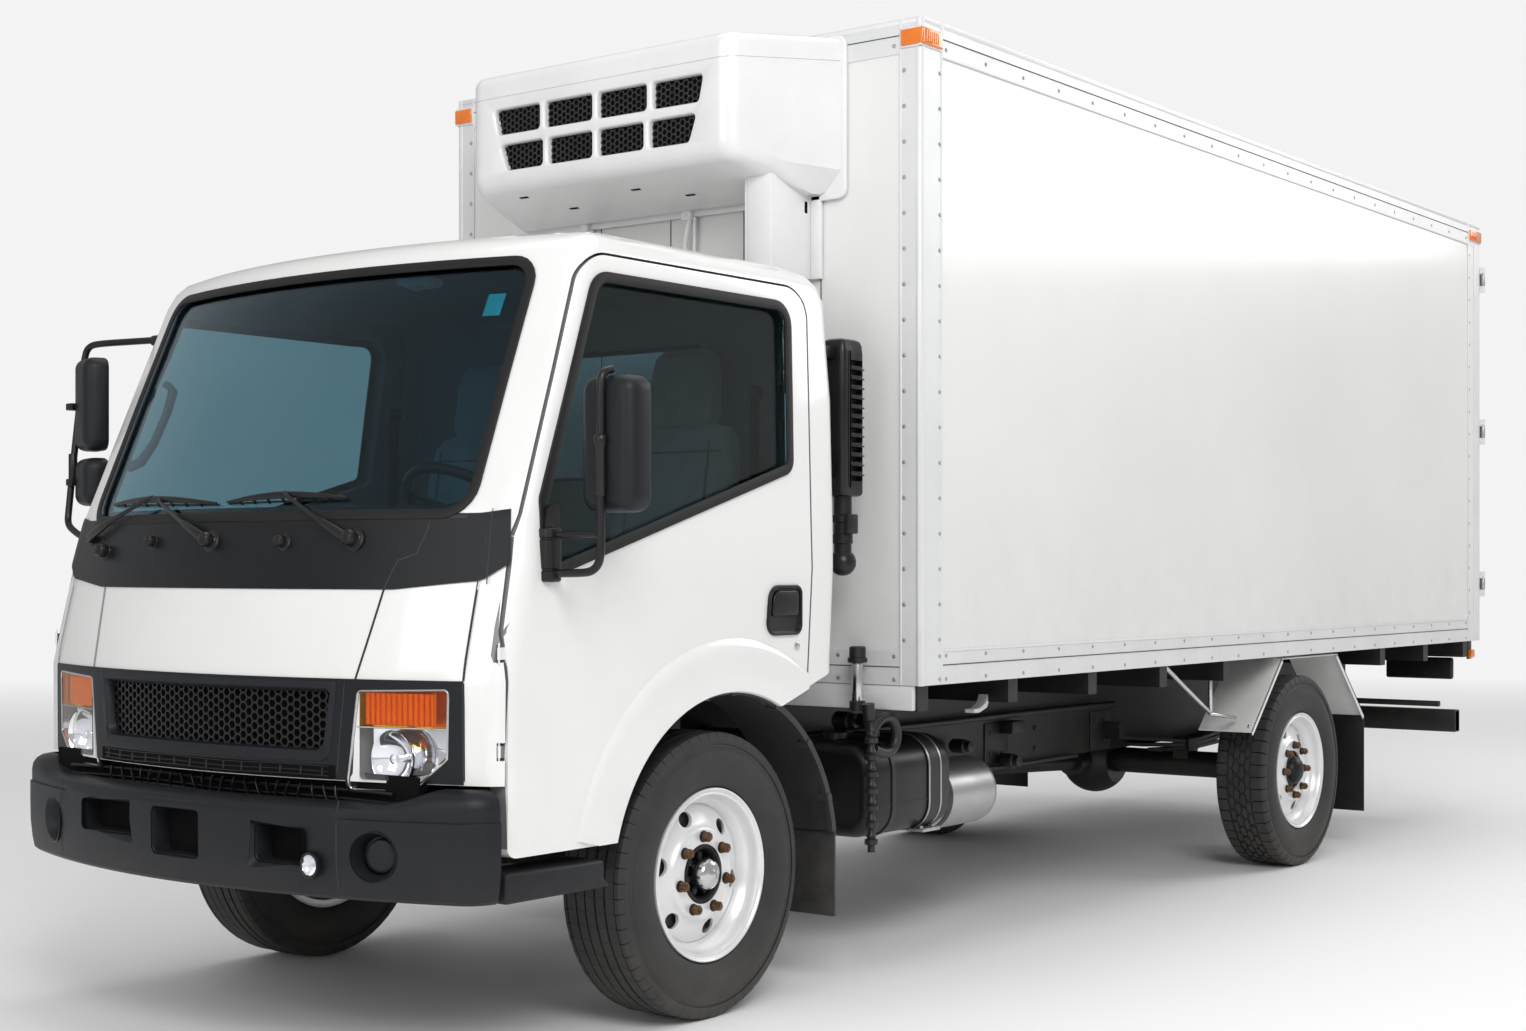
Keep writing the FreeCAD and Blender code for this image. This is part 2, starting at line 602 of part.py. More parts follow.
# ---- cab
def cab_plan(front_y, half, corner, rear_y, z, inset, rear_corner):
    """One level of the cab's outline: bowed front, round corners, straight sides and rear."""
    bow = FRONT_BULGE_RADIUS - inset
    half = half - inset
    y0 = front_y + inset
    rear = rear_y - inset
    r = max(corner - inset, 20.0)
    back = max(rear_corner - inset, 12.0)
    bow_y = y0 + bow
    reach = bow - r
    corner_y = bow_y - math.sqrt(reach ** 2 - (half - r) ** 2)
    lean = math.atan2(half - r, bow_y - corner_y)
    touch = Vector(bow * math.sin(lean), bow_y - bow * math.cos(lean), z)
    mid_angle = (lean + math.pi / 2) / 2
    middle = Vector(half - r + r * math.sin(mid_angle), corner_y - r * math.cos(mid_angle), z)
    side = Vector(half, corner_y, z)
    back_side = Vector(half, rear - back, z)
    back_mid = Vector(half - back + back * math.sqrt(0.5), rear - back + back * math.sqrt(0.5), z)
    back_end = Vector(half - back, rear, z)

    def flip(p):
        return Vector(-p.x, p.y, p.z)

    edges = [
        Part.Arc(flip(touch), Vector(0, y0, z), touch).toShape(),
        Part.Arc(touch, middle, side).toShape(),
        Part.LineSegment(side, back_side).toShape(),
        Part.Arc(back_side, back_mid, back_end).toShape(),
        Part.LineSegment(back_end, flip(back_end)).toShape(),
        Part.Arc(flip(back_end), flip(back_mid), flip(back_side)).toShape(),
        Part.LineSegment(flip(back_side), flip(side)).toShape(),
        Part.Arc(flip(side), flip(middle), flip(touch)).toShape(),
    ]
    return Part.Wire(edges)


# columns: height, drop of the inner skin's level, side lean-in, front set-back, corner radius, rear shift
CAB_LEVELS = [
    (480, 0, 0, 3, 80, -4),
    (970, 0, 0, 0, 80, 0),
    (1250, 0, 0, 68, 80, 18),
    (1383, 0, 11, 101, 80, 32),
    (1750, 0, 40, 258, 75, 59),
    (2040, 12, 64, 385, 70, 54),
    (2085, 25, 75, 413, 68, 37),
    (2115, 35, 95, 448, 64, 12),
    (2140, 40, 140, 513, 56, -48),
    (2157, 44, 230, 623, 50, -138),
    (CAB_ROOF_TOP, 46, 370, 773, 50, -258),
]


def cab_volume(inset):
    sections = []
    for height, drop, lean, back, corner, rear in CAB_LEVELS:
        z = height - drop * inset / CAB_WALL
        plan = cab_plan(-CAB_FRONT_AHEAD + back, CAB_HALF_WIDTH - lean, corner,
                        CAB_REAR_Y + rear, z, inset, 60)
        sections.append(plan)
    return Part.makeLoft(sections, True, True)


def band(outer_inset, inner_inset, cutter):
    """The part of a skin between two depths that lies inside a cutter."""
    return cab_volume(outer_inset).common(cutter).cut(cab_volume(inner_inset))


# (y, z, corner radius) seen from the left side
DOOR_OUTLINE = [
    (-855, DOOR_BOTTOM, 30), (253, DOOR_BOTTOM, 0), (253, 858, 0), (388, 903, 20),
    (475, 2076, 95), (-500, 2076, 130), (-800, 1330, 60), (-852, 1090, 90),
]
DOOR_WINDOW = [
    (-735, 1222, 45), (335, 1532, 45), (375, 2016, 60), (-470, 2016, 75), (-722, 1420, 60),
]
# (x, z, corner radius) seen from the front
WINDSCREEN = [(-769, 1383, 70), (769, 1383, 70), (739, 2054, 70), (-739, 2054, 70)]
REAR_WINDOW = [(-420, 1530, 60), (420, 1530, 60), (420, 1950, 60), (-420, 1950, 60)]
GRILLE_OPENING = [(-528, 722, 20), (528, 722, 20), (542, 967, 20), (-542, 967, 20)]
HEADLAMP_OPENING = [(548, 722, 12), (660, 722, 50), (790, 752, 40), (806, 967, 12), (552, 967, 12)]


def front_face_y(x, z):
    """Y of the cab's bowed front at a place on it."""
    below = [level for level in CAB_LEVELS if level[0] <= z][-1]
    above = [level for level in CAB_LEVELS if level[0] >= z][0]
    share = (z - below[0]) / (above[0] - below[0]) if above[0] > below[0] else 0.0
    back = below[3] + share * (above[3] - below[3])
    bow = FRONT_BULGE_RADIUS - math.sqrt(FRONT_BULGE_RADIUS ** 2 - x * x)
    return -CAB_FRONT_AHEAD + back + bow


def door_prism(inset):
    arch = rod((-10, WHEEL_ARCH_Y, AXLE_Z), X_AXIS, WHEEL_ARCH_RADIUS, 1200)
    return side_prism(DOOR_OUTLINE, 0, 1100, inset).cut(arch)


def below_cab():
    """Everything under the cab's lower edges: bumper line, wheel arches and sloping rear."""
    arch = rod((-1200, WHEEL_ARCH_Y, AXLE_Z), X_AXIS, WHEEL_ARCH_RADIUS, 2400)
    slope = side_prism([(200, 300, 0), (700, 300, 0), (700, 1006, 0), (253, 858, 0),
                        (200, 858, 0)], -1200, 1200)
    return fuse([arch, slope, box(-1200, 1200, -1300, 200, 200, FRONT_PANEL_BOTTOM)])


def cab_skin():
    """Whole cab wall with its openings; the doors are still in it."""
    skin = cab_volume(0).cut(cab_volume(CAB_WALL))
    skin = skin.cut(front_prism(WINDSCREEN, -1300, 0))
    skin = skin.cut(front_prism(REAR_WINDOW, 300, 900))
    skin = skin.cut(front_prism(GRILLE_OPENING, -1300, -700))
    lamp = front_prism(HEADLAMP_OPENING, -1300, -700)
    return skin.cut(lamp).cut(mirrored(lamp))


def hinge_pocket(z):
    """Room in the front panel's edge for one hinge knuckle."""
    return box(DOOR_HINGE_X - 12, DOOR_HINGE_X + 40, DOOR_HINGE_Y - 8, DOOR_HINGE_Y + 10, z - 22, z + 22)


def behind_door_edge(edge_x, top):
    """Inner part of the front corner, which stays with the front panel so that the door's
    edge is thin enough to swing."""
    return box(0, edge_x, -1100, -690, 0, top)


def cab_panels(skin):
    opening = door_prism(0).cut(behind_door_edge(DOOR_EDGE_X - MOVING_GAP, CAB_SILL_Z))
    pins = []
    for z in DOOR_HINGE_HEIGHTS:
        opening = opening.fuse(hinge_pocket(z))
        pins.append(rod((DOOR_HINGE_X, DOOR_HINGE_Y, z - 26), Z_AXIS, DOOR_PIN_RADIUS, 52))
    fixed = skin.cut(opening).cut(mirrored(opening)).cut(below_cab())
    fixed = fixed.fuse(pins + [mirrored(pin) for pin in pins])
    sill = CAB_SILL_Z
    header = CAB_HEADER_Z
    front = fixed.common(box(-1200, 1200, -1300, 0, 0, sill))
    roof = fixed.common(box(-1200, 1200, -1300, 0, sill, 3000).fuse(
        box(-1200, 1200, 0, 900, header, 3000)))
    back = fixed.common(box(-1200, 1200, 0, 900, 0, header))
    return front, roof, back


def cab_door(skin):
    window = side_prism(DOOR_WINDOW, 0, 1100)
    edge = behind_door_edge(DOOR_EDGE_X, CAB_SILL_Z + DOOR_GAP)
    parts = [skin.common(door_prism(DOOR_GAP)).cut(window).cut(edge)]
    bores = []
    half = DOOR_KNUCKLE_HEIGHT / 2
    for z in DOOR_HINGE_HEIGHTS:
        foot = (DOOR_HINGE_X, DOOR_HINGE_Y, z - half)
        parts.append(rod(foot, Z_AXIS, DOOR_KNUCKLE_RADIUS, 2 * half))
        parts.append(box(DOOR_HINGE_X - 4, DOOR_HINGE_X + 3,
                         DOOR_HINGE_Y, DOOR_HINGE_Y + DOOR_LEAF_LENGTH, z - half, z + half))
        bores.append(rod((DOOR_HINGE_X, DOOR_HINGE_Y, z - half - 5), Z_AXIS,
                         DOOR_PIN_RADIUS + SHAFT_CLEARANCE, 2 * half + 10))
    return fuse(parts).cut(bores[0]).cut(bores[1])


def cab_glass():
    screen = band(8, 8 + GLASS_THICKNESS, front_prism(WINDSCREEN, -1300, 0, GLASS_GAP))
    rear = band(8, 8 + GLASS_THICKNESS, front_prism(REAR_WINDOW, 300, 900, GLASS_GAP))
    return Part.makeCompound(screen.Solids + rear.Solids)


def door_glass():
    return band(14, 14 + GLASS_THICKNESS, side_prism(DOOR_WINDOW, 0, 1100, GLASS_GAP))


def grille():
    frame = band(4, 30, front_prism(GRILLE_OPENING, -1300, -700, GLASS_GAP))
    mesh = [(-440, 790, 12), (440, 790, 12), (452, 935, 12), (-452, 935, 12)]
    frame = frame.cut(cab_volume(4).cut(cab_volume(18)).common(front_prism(mesh, -1300, -700)))
    return frame


def headlamps():
    lamp = band(0, 60, front_prism(HEADLAMP_OPENING, -1300, -700, GLASS_GAP))
    return both_sides(lamp)


def inside_cab(shape):
    """Trims a shape to the cabin: it seats on the front and back walls between the doors
    and keeps clear of the doors themselves."""
    between_doors = box(-700, 700, -1200, 900, 0, 3000)
    middle = shape.common(cab_volume(CAB_WALL + SEAT_CLEARANCE)).common(between_doors)
    sides = shape.common(cab_volume(CAB_WALL + TRIM_CLEARANCE))
    for side in (-1, 1):
        swing = rod((side * DOOR_HINGE_X, DOOR_HINGE_Y, 0), Z_AXIS, DOOR_SWING_INSIDE, 3000)
        sides = sides.cut(swing)
    return fuse([middle, sides])


def cab_floor():
    """Flat floor over the wheels with a footwell each side ahead of them, and the hinge eyes."""
    z = CAB_FLOOR_Z
    sheet = CAB_FLOOR_SHEET
    well_x = RAIL_OUTER_X + TUNNEL_GAP
    well_z = 600
    floor = box(-900, 900, -480, 700, z, z + sheet)
    tunnel = box(-well_x, well_x, -985, -480, z, z + sheet)
    parts = [floor, tunnel]
    for side in (-1, 1):
        x0, x1 = sorted((side * well_x, side * 872))
        parts.append(box(x0, x1, -985, -480, well_z, well_z + sheet))
        parts.append(box(x0, x1, -505, -480, well_z, z + sheet))
        parts.append(box(x0, x1, -985, -960, well_z, 740))
        a0, a1 = sorted((side * well_x, side * (well_x + sheet)))
        parts.append(box(a0, a1, -985, -480, well_z, z + sheet))
    whole = inside_cab(fuse(parts))
    eyes = []
    pins = []
    for side in (-1, 1):
        x = side * TILT_X
        for offset in (-23, 23):
            x0 = x + offset - 6
            eyes.append(rod((x0, TILT_PIVOT_Y, TILT_PIVOT_Z), X_AXIS, 34, 12))
            eyes.append(box(x0, x0 + 12, TILT_PIVOT_Y - 24, TILT_PIVOT_Y + 40, TILT_PIVOT_Z, z))
        pins.append(rod((x - 60, TILT_PIVOT_Y, TILT_PIVOT_Z), X_AXIS,
                        TILT_PIN_RADIUS + SHAFT_CLEARANCE, 120))
    whole = fuse([whole] + eyes)
    for pin in pins:
        whole = whole.cut(pin)
    return whole


def dashboard():
    """Dash across the cab, with the steering column rising out of it."""
    profile = [(-1000, 1060, 20), (-700, 1000, 30), (-610, 1120, 40), (-640, 1290, 40),
               (-760, CAB_SILL_Z, 30), (-1000, CAB_SILL_Z, 0)]
    dash = inside_cab(side_prism(profile, -900, 900))
    toe = Vector(STEERING_WHEEL_X, -700, 1120)
    top = steering_hub()
    column = Part.makeCylinder(28, (top - toe).Length - 12, toe, top - toe)
    nut = Part.makeCylinder(14, 40, top - steering_axis() * (40 + SEAT_CLEARANCE), steering_axis())
    return fuse([dash, column, nut])


def steering_axis():
    return Vector(0, 0.62, 0.785).normalize()


def steering_hub():
    return Vector(STEERING_WHEEL_X, -485, 1370)


def steering_wheel():
    hub = steering_hub()
    axis = steering_axis()
    ring = Part.makeTorus(195, 15, hub + axis * 30, axis)
    centre = Part.makeCylinder(55, 40, hub, axis)
    parts = [ring, centre]
    side = X_AXIS
    down = axis.cross(side).normalize()
    for angle in (90, 210, 330):
        out = side * math.cos(math.radians(angle)) + down * math.sin(math.radians(angle))
        parts.append(Part.makeCylinder(11, 190, hub + axis * 26, out))
    return fuse(parts)


def seats():
    """Driver's and passenger's seat: base, cushion, back and head rest."""
    parts = []
    for x in (-STEERING_WHEEL_X, STEERING_WHEEL_X):
        base = box(x - 200, x + 200, -60, 300, 937, 1050)
        cushion = side_prism([(-160, 1050, 20), (310, 1050, 20), (310, 1180, 30), (-160, 1195, 50)],
                             x - 250, x + 250)
        back = side_prism([(290, 1120, 30), (410, 1120, 30), (500, 1720, 40), (400, 1740, 40)],
                          x - 240, x + 240)
        rest = side_prism([(400, 1700, 20), (485, 1700, 20), (500, 1925, 35), (415, 1925, 35)],
                          x - 135, x + 135)
        parts.append(fuse([base, cushion, back, rest]))
    return Part.makeCompound(parts)


def wiper(pivot, joint, blade_start, blade_end):
    """Arm from its pivot to the blade; each place is (x, z) on the cab's front."""
    def off(place, stand):
        return Vector(place[0], front_face_y(*place) - stand, place[1])

    def bar(a, b, radius):
        return Part.makeCylinder(radius, (b - a).Length, a, b - a)

    foot = off(pivot, -12)
    knee = off(pivot, 26)
    shoulder = off(joint, 24)
    parts = [bar(foot, knee, 15), bar(knee, shoulder, 7), Part.makeSphere(16, knee)]
    parts.append(bar(off(blade_start, 10), off(blade_end, 10), 5))
    parts.append(bar(shoulder, off(joint, 8), 7))
    return fuse(parts).cut(cab_volume(0))


def wipers():
    left = wiper((330, 1268), (60, 1425), (-95, 1410), (250, 1432))
    right = wiper((-235, 1270), (-440, 1425), (-620, 1412), (-280, 1430))
    return Part.makeCompound(left.Solids + right.Solids)


def air_intake():
    """Louvred intake tower behind the cab, on two brackets from its back wall."""
    tower = plan_prism([(785, 640, 15), (880, 640, 15), (880, 755, 15), (785, 755, 15)], 1465, 1945)
    for i in range(13):
        z = 1500 + 33 * i
        tower = tower.cut(box(860, 900, 665, 740, z, z + 15))
    neck = rod((835, 700, 1290), Z_AXIS, 30, 180)
    ball = Part.makeSphere(42, Vector(835, 700, 1265))
    parts = [tower, neck, ball]
    for z in (1520, 1880):
        parts.append(box(800, 850, 560, 645, z, z + 40))
    return fuse(parts).cut(cab_volume(0))


def mirror_head(x, y, width, depth, z0, z1, yaw):
    head = plan_prism([(x - width / 2, y - depth / 2, 35), (x + width / 2, y - depth / 2, 35),
                       (x + width / 2, y + depth / 2, 12), (x - width / 2, y + depth / 2, 12)], z0, z1)
    head = head.common(front_prism([(x - width / 2, z0, 40), (x + width / 2, z0, 40),
                                    (x + width / 2, z1, 40), (x - width / 2, z1, 40)],
                                   y - depth, y + depth))
    head.rotate(Vector(x, y, z0), Z_AXIS, yaw)
    return head


def mirror_left():
    head = mirror_head(MIRROR_REACH - 92, -655, 184, 90, 1385, 1725, 0)
    x = MIRROR_REACH - 95
    tube = bent_tube([(915, -708, 1236), (x, -708, 1236), (x, -708, 1760), (x, -640, 1760)], 11, 34)
    link = rod((925, -708, 1330), X_AXIS, 9, x - 925)
    block = plan_prism([(890, -738, 12), (962, -738, 12), (962, -680, 12), (890, -680, 12)], 1214, 1350)
    drop = rod((x, -640, 1700), Z_AXIS, 9, 60)
    return fuse([head, tube, link, block, drop]).cut(cab_volume(0))


def mirror_right():
    x = -MIRROR_REACH + 11
    head = mirror_head(x + 85, -610, 150, 80, 1610, 1900, -20)
    small = mirror_head(x + 85, -610, 150, 80, 1440, 1590, -20)
    tube = bent_tube([(-840, -515, 1950), (x, -575, 1950), (x, -640, 1380), (-890, -690, 1300)], 11, 40)
    foot = [(-962, -720, 12), (-890, -720, 12), (-890, -660, 12), (-962, -660, 12)]
    block = plan_prism(foot, 1260, 1340)
    links = []
    for z in (1515, 1750):
        links.append(box(x - 6, x + 30, -645, -610, z - 12, z + 12))
    top = box(-905, -850, -538, -492, 1930, 1966)
    return fuse([head, small, tube, block, top] + links).cut(cab_volume(0))


# ---- box body
def box_floor():
    """Load floor, held between the walls so that goods can stand on all of it."""
    wall_x = BOX_HALF_WIDTH - SKIN - BOX_WALL
    return box(-wall_x, wall_x, BOX_FRONT_Y + SKIN + BOX_WALL, BOX_REAR_Y - REAR_FRAME_DEPTH,
               BOX_BOTTOM, BOX_BOTTOM + BOX_FLOOR)


def box_subframe():
    """Long members on the rails and bearers across them, which carry the box floor."""
    rear = BOX_REAR_Y - REAR_FRAME_DEPTH
    parts = []
    for side in (-1, 1):
        x0, x1 = sorted((side * RAIL_INNER_X, side * RAIL_OUTER_X))
        parts.append(box(x0, x1, BOX_FRONT_Y + 30, RAIL_REAR_Y, RAIL_TOP, BEARER_BOTTOM))
    count = 10
    pitch = (rear - 80 - BOX_FRONT_Y - 20) / (count - 1)
    for i in range(count):
        y = BOX_FRONT_Y + 20 + i * pitch
        over_wheel = abs(y + 30 - REAR_AXLE_Y) < TYRE_RADIUS + 60
        half = 700 if over_wheel else BOX_HALF_WIDTH - 27
        parts.append(box(-half, half, y, y + 60, BEARER_BOTTOM, BOX_BOTTOM))
    return fuse(parts)


def box_side_wall():
    x1 = BOX_HALF_WIDTH - SKIN
    return box(x1 - BOX_WALL, x1, BOX_FRONT_Y + SKIN, BOX_REAR_Y - REAR_FRAME_DEPTH,
               BOX_BOTTOM, BOX_TOP - BOX_WALL)


def box_front_wall():
    x1 = BOX_HALF_WIDTH - SKIN - BOX_WALL
    return box(-x1, x1, BOX_FRONT_Y + SKIN, BOX_FRONT_Y + SKIN + BOX_WALL,
               BOX_BOTTOM, BOX_TOP - BOX_WALL)


def box_roof():
    x1 = BOX_HALF_WIDTH - SKIN
    return box(-x1, x1, BOX_FRONT_Y + SKIN, BOX_REAR_Y - REAR_FRAME_DEPTH,
               BOX_TOP - BOX_WALL, BOX_TOP - SKIN)


def rear_opening():
    """Half width, floor and top of the rear door opening."""
    return BOX_HALF_WIDTH - REAR_POST, BOX_BOTTOM + BOX_FLOOR, BOX_TOP - 85


def hinge_heights():
    half, low, high = rear_opening()
    return [low + 180, (low + high) / 2, high - 180]


def rear_hinge_axis():
    return BOX_HALF_WIDTH + REAR_HINGE_OUT, BOX_REAR_Y + REAR_HINGE_BACK


def box_rear_frame():
    half, low, high = rear_opening()
    y0 = BOX_REAR_Y - REAR_FRAME_DEPTH
    frame = box(-BOX_HALF_WIDTH, BOX_HALF_WIDTH, y0, BOX_REAR_Y, BOX_BOTTOM, BOX_TOP)
    frame = frame.cut(box(-half, half, y0 - 10, BOX_REAR_Y + 10, low, high))
    x, y = rear_hinge_axis()
    parts = [frame]
    for side in (-1, 1):
        for z in hinge_heights():
            for z0 in (z - 62, z + 32):
                parts.append(rod((side * x, y, z0), Z_AXIS, REAR_HINGE_RADIUS, 30))
                x0, x1 = sorted((side * (x - 30), side * x))
                parts.append(box(x0, x1, BOX_REAR_Y, y, z0, z0 + 30))
            parts.append(rod((side * x, y, z - 62), Z_AXIS, 5, 124))
    return fuse(parts)


def rear_door():
    """Left leaf of the rear doors with its hinge straps and lock bar."""
    half, low, high = rear_opening()
    leaf = box(3, half - REAR_DOOR_GAP, BOX_REAR_Y - BOX_WALL, BOX_REAR_Y, low + REAR_DOOR_GAP,
               high - REAR_DOOR_GAP)
    x, y = rear_hinge_axis()
    parts = [leaf]
    for z in hinge_heights():
        parts.append(box(half - 130, half - 8, BOX_REAR_Y, y + 6, z - 29, z + 29))
        parts.append(box(half - 20, x, y - 8, y + 6, z - 29, z + 29))
        parts.append(rod((x, y, z - 29), Z_AXIS, REAR_HINGE_RADIUS, 58))
    bar_x = 210
    bar_y = BOX_REAR_Y + 24
    parts.append(rod((bar_x, bar_y, low + 12), Z_AXIS, 13, high - low - 24))
    for z in (low + 60, low + 560, (low + high) / 2 + 60, high - 60):
        parts.append(box(bar_x - 32, bar_x + 32, BOX_REAR_Y, bar_y + 4, z - 22, z + 22))
    parts.append(box(bar_x + 5, bar_x + 330, bar_y - 6, BOX_REAR_Y + LOCK_BAR_PROUD, low + 330, low + 362))
    parts.append(box(bar_x + 250, bar_x + 300, BOX_REAR_Y, bar_y, low + 318, low + 374))
    whole = fuse(parts)
    for z in hinge_heights():
        whole = whole.cut(rod((x, y, z - 40), Z_AXIS, 5 + SHAFT_CLEARANCE, 80))
    return whole


def box_edge_rails():
    """Aluminium edge strips over the joints of the panels."""
    half = BOX_HALF_WIDTH
    inner = half - SKIN
    y0 = BOX_FRONT_Y
    y1 = BOX_REAR_Y - REAR_FRAME_DEPTH
    rail = 107
    post_side = 118
    post_front = 76
    parts = []
    for side in (-1, 1):
        x0, x1 = sorted((side * inner, side * half))
        parts.append(box(x0, x1, y0, y1, BOX_BOTTOM, BOX_BOTTOM + rail))
        parts.append(box(x0, x1, y0, y1, BOX_TOP - rail, BOX_TOP))
        parts.append(box(x0, x1, y0, y0 + post_side, BOX_BOTTOM, BOX_TOP))
        x0, x1 = sorted((side * (half - post_front), side * half))
        parts.append(box(x0, x1, y0, y0 + SKIN, BOX_BOTTOM, BOX_TOP))
        parts.append(box(x0, x1, y0, y1, BOX_TOP - SKIN, BOX_TOP))
    parts.append(box(-half, half, y0, y0 + SKIN, BOX_TOP - rail, BOX_TOP))
    parts.append(box(-half, half, y0, y0 + SKIN, BOX_BOTTOM, BOX_BOTTOM + rail))
    parts.append(box(-half, half, y0, y0 + post_front, BOX_TOP - SKIN, BOX_TOP))
    return fuse(parts)


def lamps():
    """Tail lamps on brackets under the floor, and amber side markers."""
    parts = []
    for side in (-1, 1):
        x0, x1 = sorted((side * 560, side * 900))
        parts.append(box(x0, x1, BOX_REAR_Y - 110, BOX_REAR_Y - 60, 690, 800))
        s0, s1 = sorted((side * 700, side * 760))
        parts.append(box(s0, s1, BOX_REAR_Y - 95, BOX_REAR_Y - 75, 800, BOX_BOTTOM))
    return Part.makeCompound([fuse(parts[0:2]), fuse(parts[2:4])])


# ---- cooling unit
def cooling_unit():
    body = plan_prism(UNIT_PLAN, 2400, 2950).common(side_prism(UNIT_PROFILE, -800, 800))
    cells = 4
    corner = UNIT_CELL_CORNER
    for z0, z1, end in UNIT_ROWS:
        width = (2 * end - (cells - 1) * UNIT_CELL_GAP) / cells
        for i in range(cells):
            x0 = -end + i * (width + UNIT_CELL_GAP)
            cell = [(x0, z0, corner), (x0 + width, z0, corner), (x0 + width, z1, corner), (x0, z1, corner)]
            body = body.cut(front_prism(cell, UNIT_FRONT_Y - 5, UNIT_FRONT_Y + UNIT_CELL_DEPTH))
    return body


def main():
    os.makedirs("parts", exist_ok=True)

    # wheels
    for name, x, y in (("front", FRONT_WHEEL_X, 0.0), ("rear", REAR_WHEEL_X, REAR_AXLE_Y)):
        for side_name, side in (("left", 1), ("right", -1)):
            centre = (side * x, y, AXLE_Z)
            save("tyre_%s_%s" % (name, side_name), tyre(centre))
            save("wheel_%s_%s" % (name, side_name), wheel(centre, side))
    left_knuckle = knuckle()
    save("knuckle_left", left_knuckle)
    save("knuckle_right", mirrored(left_knuckle))
    save("tie_rod", tie_rod())
    save("front_axle", front_axle())
    save("rear_axle", rear_axle())

    # chassis
    save("frame_rails", frame_rails())
    save("engine_block", engine_block())
    save("fuel_tank", fuel_tank())
    save("air_cylinder", air_cylinder())
    save("battery_box", battery_box())
    save("front_mudguards", mudguards())
    save("rear_fenders", rear_fenders())
    save("underrun_bar", underrun_bar())
    save("front_bumper", bumper())

    # box body
    wall = box_side_wall()
    save("box_floor", box_floor())
    save("box_subframe", box_subframe())
    save("box_wall_left", wall)
    save("box_wall_right", mirrored(wall))
    save("box_front_wall", box_front_wall())
    save("box_roof", box_roof())
    save("box_rear_frame", box_rear_frame())
    save("box_edge_rails", box_edge_rails())
    save("tail_lamps", lamps())
    save("cooling_unit", cooling_unit())
    leaf = rear_door()
    save("rear_door_left", leaf)
    save("rear_door_right", mirrored(leaf))

    # cab
    skin = cab_skin()
    front, roof, back = cab_panels(skin)
    save("cab_front_panel", front)
    save("cab_roof", roof)
    save("cab_back_panel", back)
    save("cab_floor", cab_floor())
    save("cab_glass", cab_glass())
    save("grille", grille())
    save("headlamps", headlamps())
    save("dashboard", dashboard())
    save("steering_wheel", steering_wheel())
    save("seats", seats())
    save("wipers", wipers())
    save("air_intake", air_intake())
    door = cab_door(skin)
    glass = door_glass()
    save("door_left", door)
    save("door_right", mirrored(door))
    save("door_glass_left", glass)
    save("door_glass_right", mirrored(glass))
    save("mirror_left", mirror_left())
    save("mirror_right", mirror_right())


if __name__ == "__main__":
    main()
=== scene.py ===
"""Visible pieces of a refrigerated truck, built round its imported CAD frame."""

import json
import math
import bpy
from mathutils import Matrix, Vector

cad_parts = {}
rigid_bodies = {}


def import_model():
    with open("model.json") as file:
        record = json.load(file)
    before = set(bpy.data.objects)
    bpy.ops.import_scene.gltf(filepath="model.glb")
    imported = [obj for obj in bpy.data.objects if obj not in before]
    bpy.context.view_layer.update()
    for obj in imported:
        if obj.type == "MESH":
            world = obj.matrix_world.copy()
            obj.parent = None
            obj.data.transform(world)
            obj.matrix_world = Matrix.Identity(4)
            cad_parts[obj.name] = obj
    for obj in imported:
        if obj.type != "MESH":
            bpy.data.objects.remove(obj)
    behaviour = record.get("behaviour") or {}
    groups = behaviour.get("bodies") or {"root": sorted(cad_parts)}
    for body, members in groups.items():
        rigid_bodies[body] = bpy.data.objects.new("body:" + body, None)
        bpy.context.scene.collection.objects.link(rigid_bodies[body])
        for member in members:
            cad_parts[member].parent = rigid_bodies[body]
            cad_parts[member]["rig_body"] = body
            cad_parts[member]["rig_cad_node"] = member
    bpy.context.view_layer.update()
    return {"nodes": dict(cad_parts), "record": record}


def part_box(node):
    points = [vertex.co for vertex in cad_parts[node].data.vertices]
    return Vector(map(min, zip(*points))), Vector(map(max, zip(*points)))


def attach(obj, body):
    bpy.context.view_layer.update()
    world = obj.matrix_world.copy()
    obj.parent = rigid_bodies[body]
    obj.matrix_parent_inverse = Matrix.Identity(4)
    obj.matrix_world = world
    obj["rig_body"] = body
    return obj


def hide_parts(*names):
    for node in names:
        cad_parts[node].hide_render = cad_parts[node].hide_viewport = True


bl_info = {
    "name": "Refrigerated Truck",
    "version": (1, 0, 0),
    "blender": (4, 5, 0),
    "location": "View3D > Sidebar > Truck",
    "description": "Builds the paintwork, glass, tyres, trim and stage of a refrigerated truck",
    "category": "Add Mesh",
}

import bpy
from mathutils import Matrix, Vector

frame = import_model()

# Lengths are in metres.  Places are measured from the ground under the middle of the front
# axle: X to the truck's left, Y to its rear, Z up.
FRONT_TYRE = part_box("tyre_front_left")
REAR_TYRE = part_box("tyre_rear_left")
AXLE_Y = (FRONT_TYRE[0].y + FRONT_TYRE[1].y) / 2
AXLE_Z = (FRONT_TYRE[0].z + FRONT_TYRE[1].z) / 2
TYRE_RADIUS = AXLE_Z
WHEELBASE = (REAR_TYRE[0].y + REAR_TYRE[1].y) / 2 - AXLE_Y
FRONT_WHEEL_X = (FRONT_TYRE[0].x + FRONT_TYRE[1].x) / 2
REAR_WHEEL_X = (REAR_TYRE[0].x + REAR_TYRE[1].x) / 2
RAILS_LOW, RAILS_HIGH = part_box("box_edge_rails")
REAR_FRAME_DEPTH = 0.085
BOX_FRONT = RAILS_LOW.y - AXLE_Y
BOX_REAR = RAILS_HIGH.y - AXLE_Y + REAR_FRAME_DEPTH
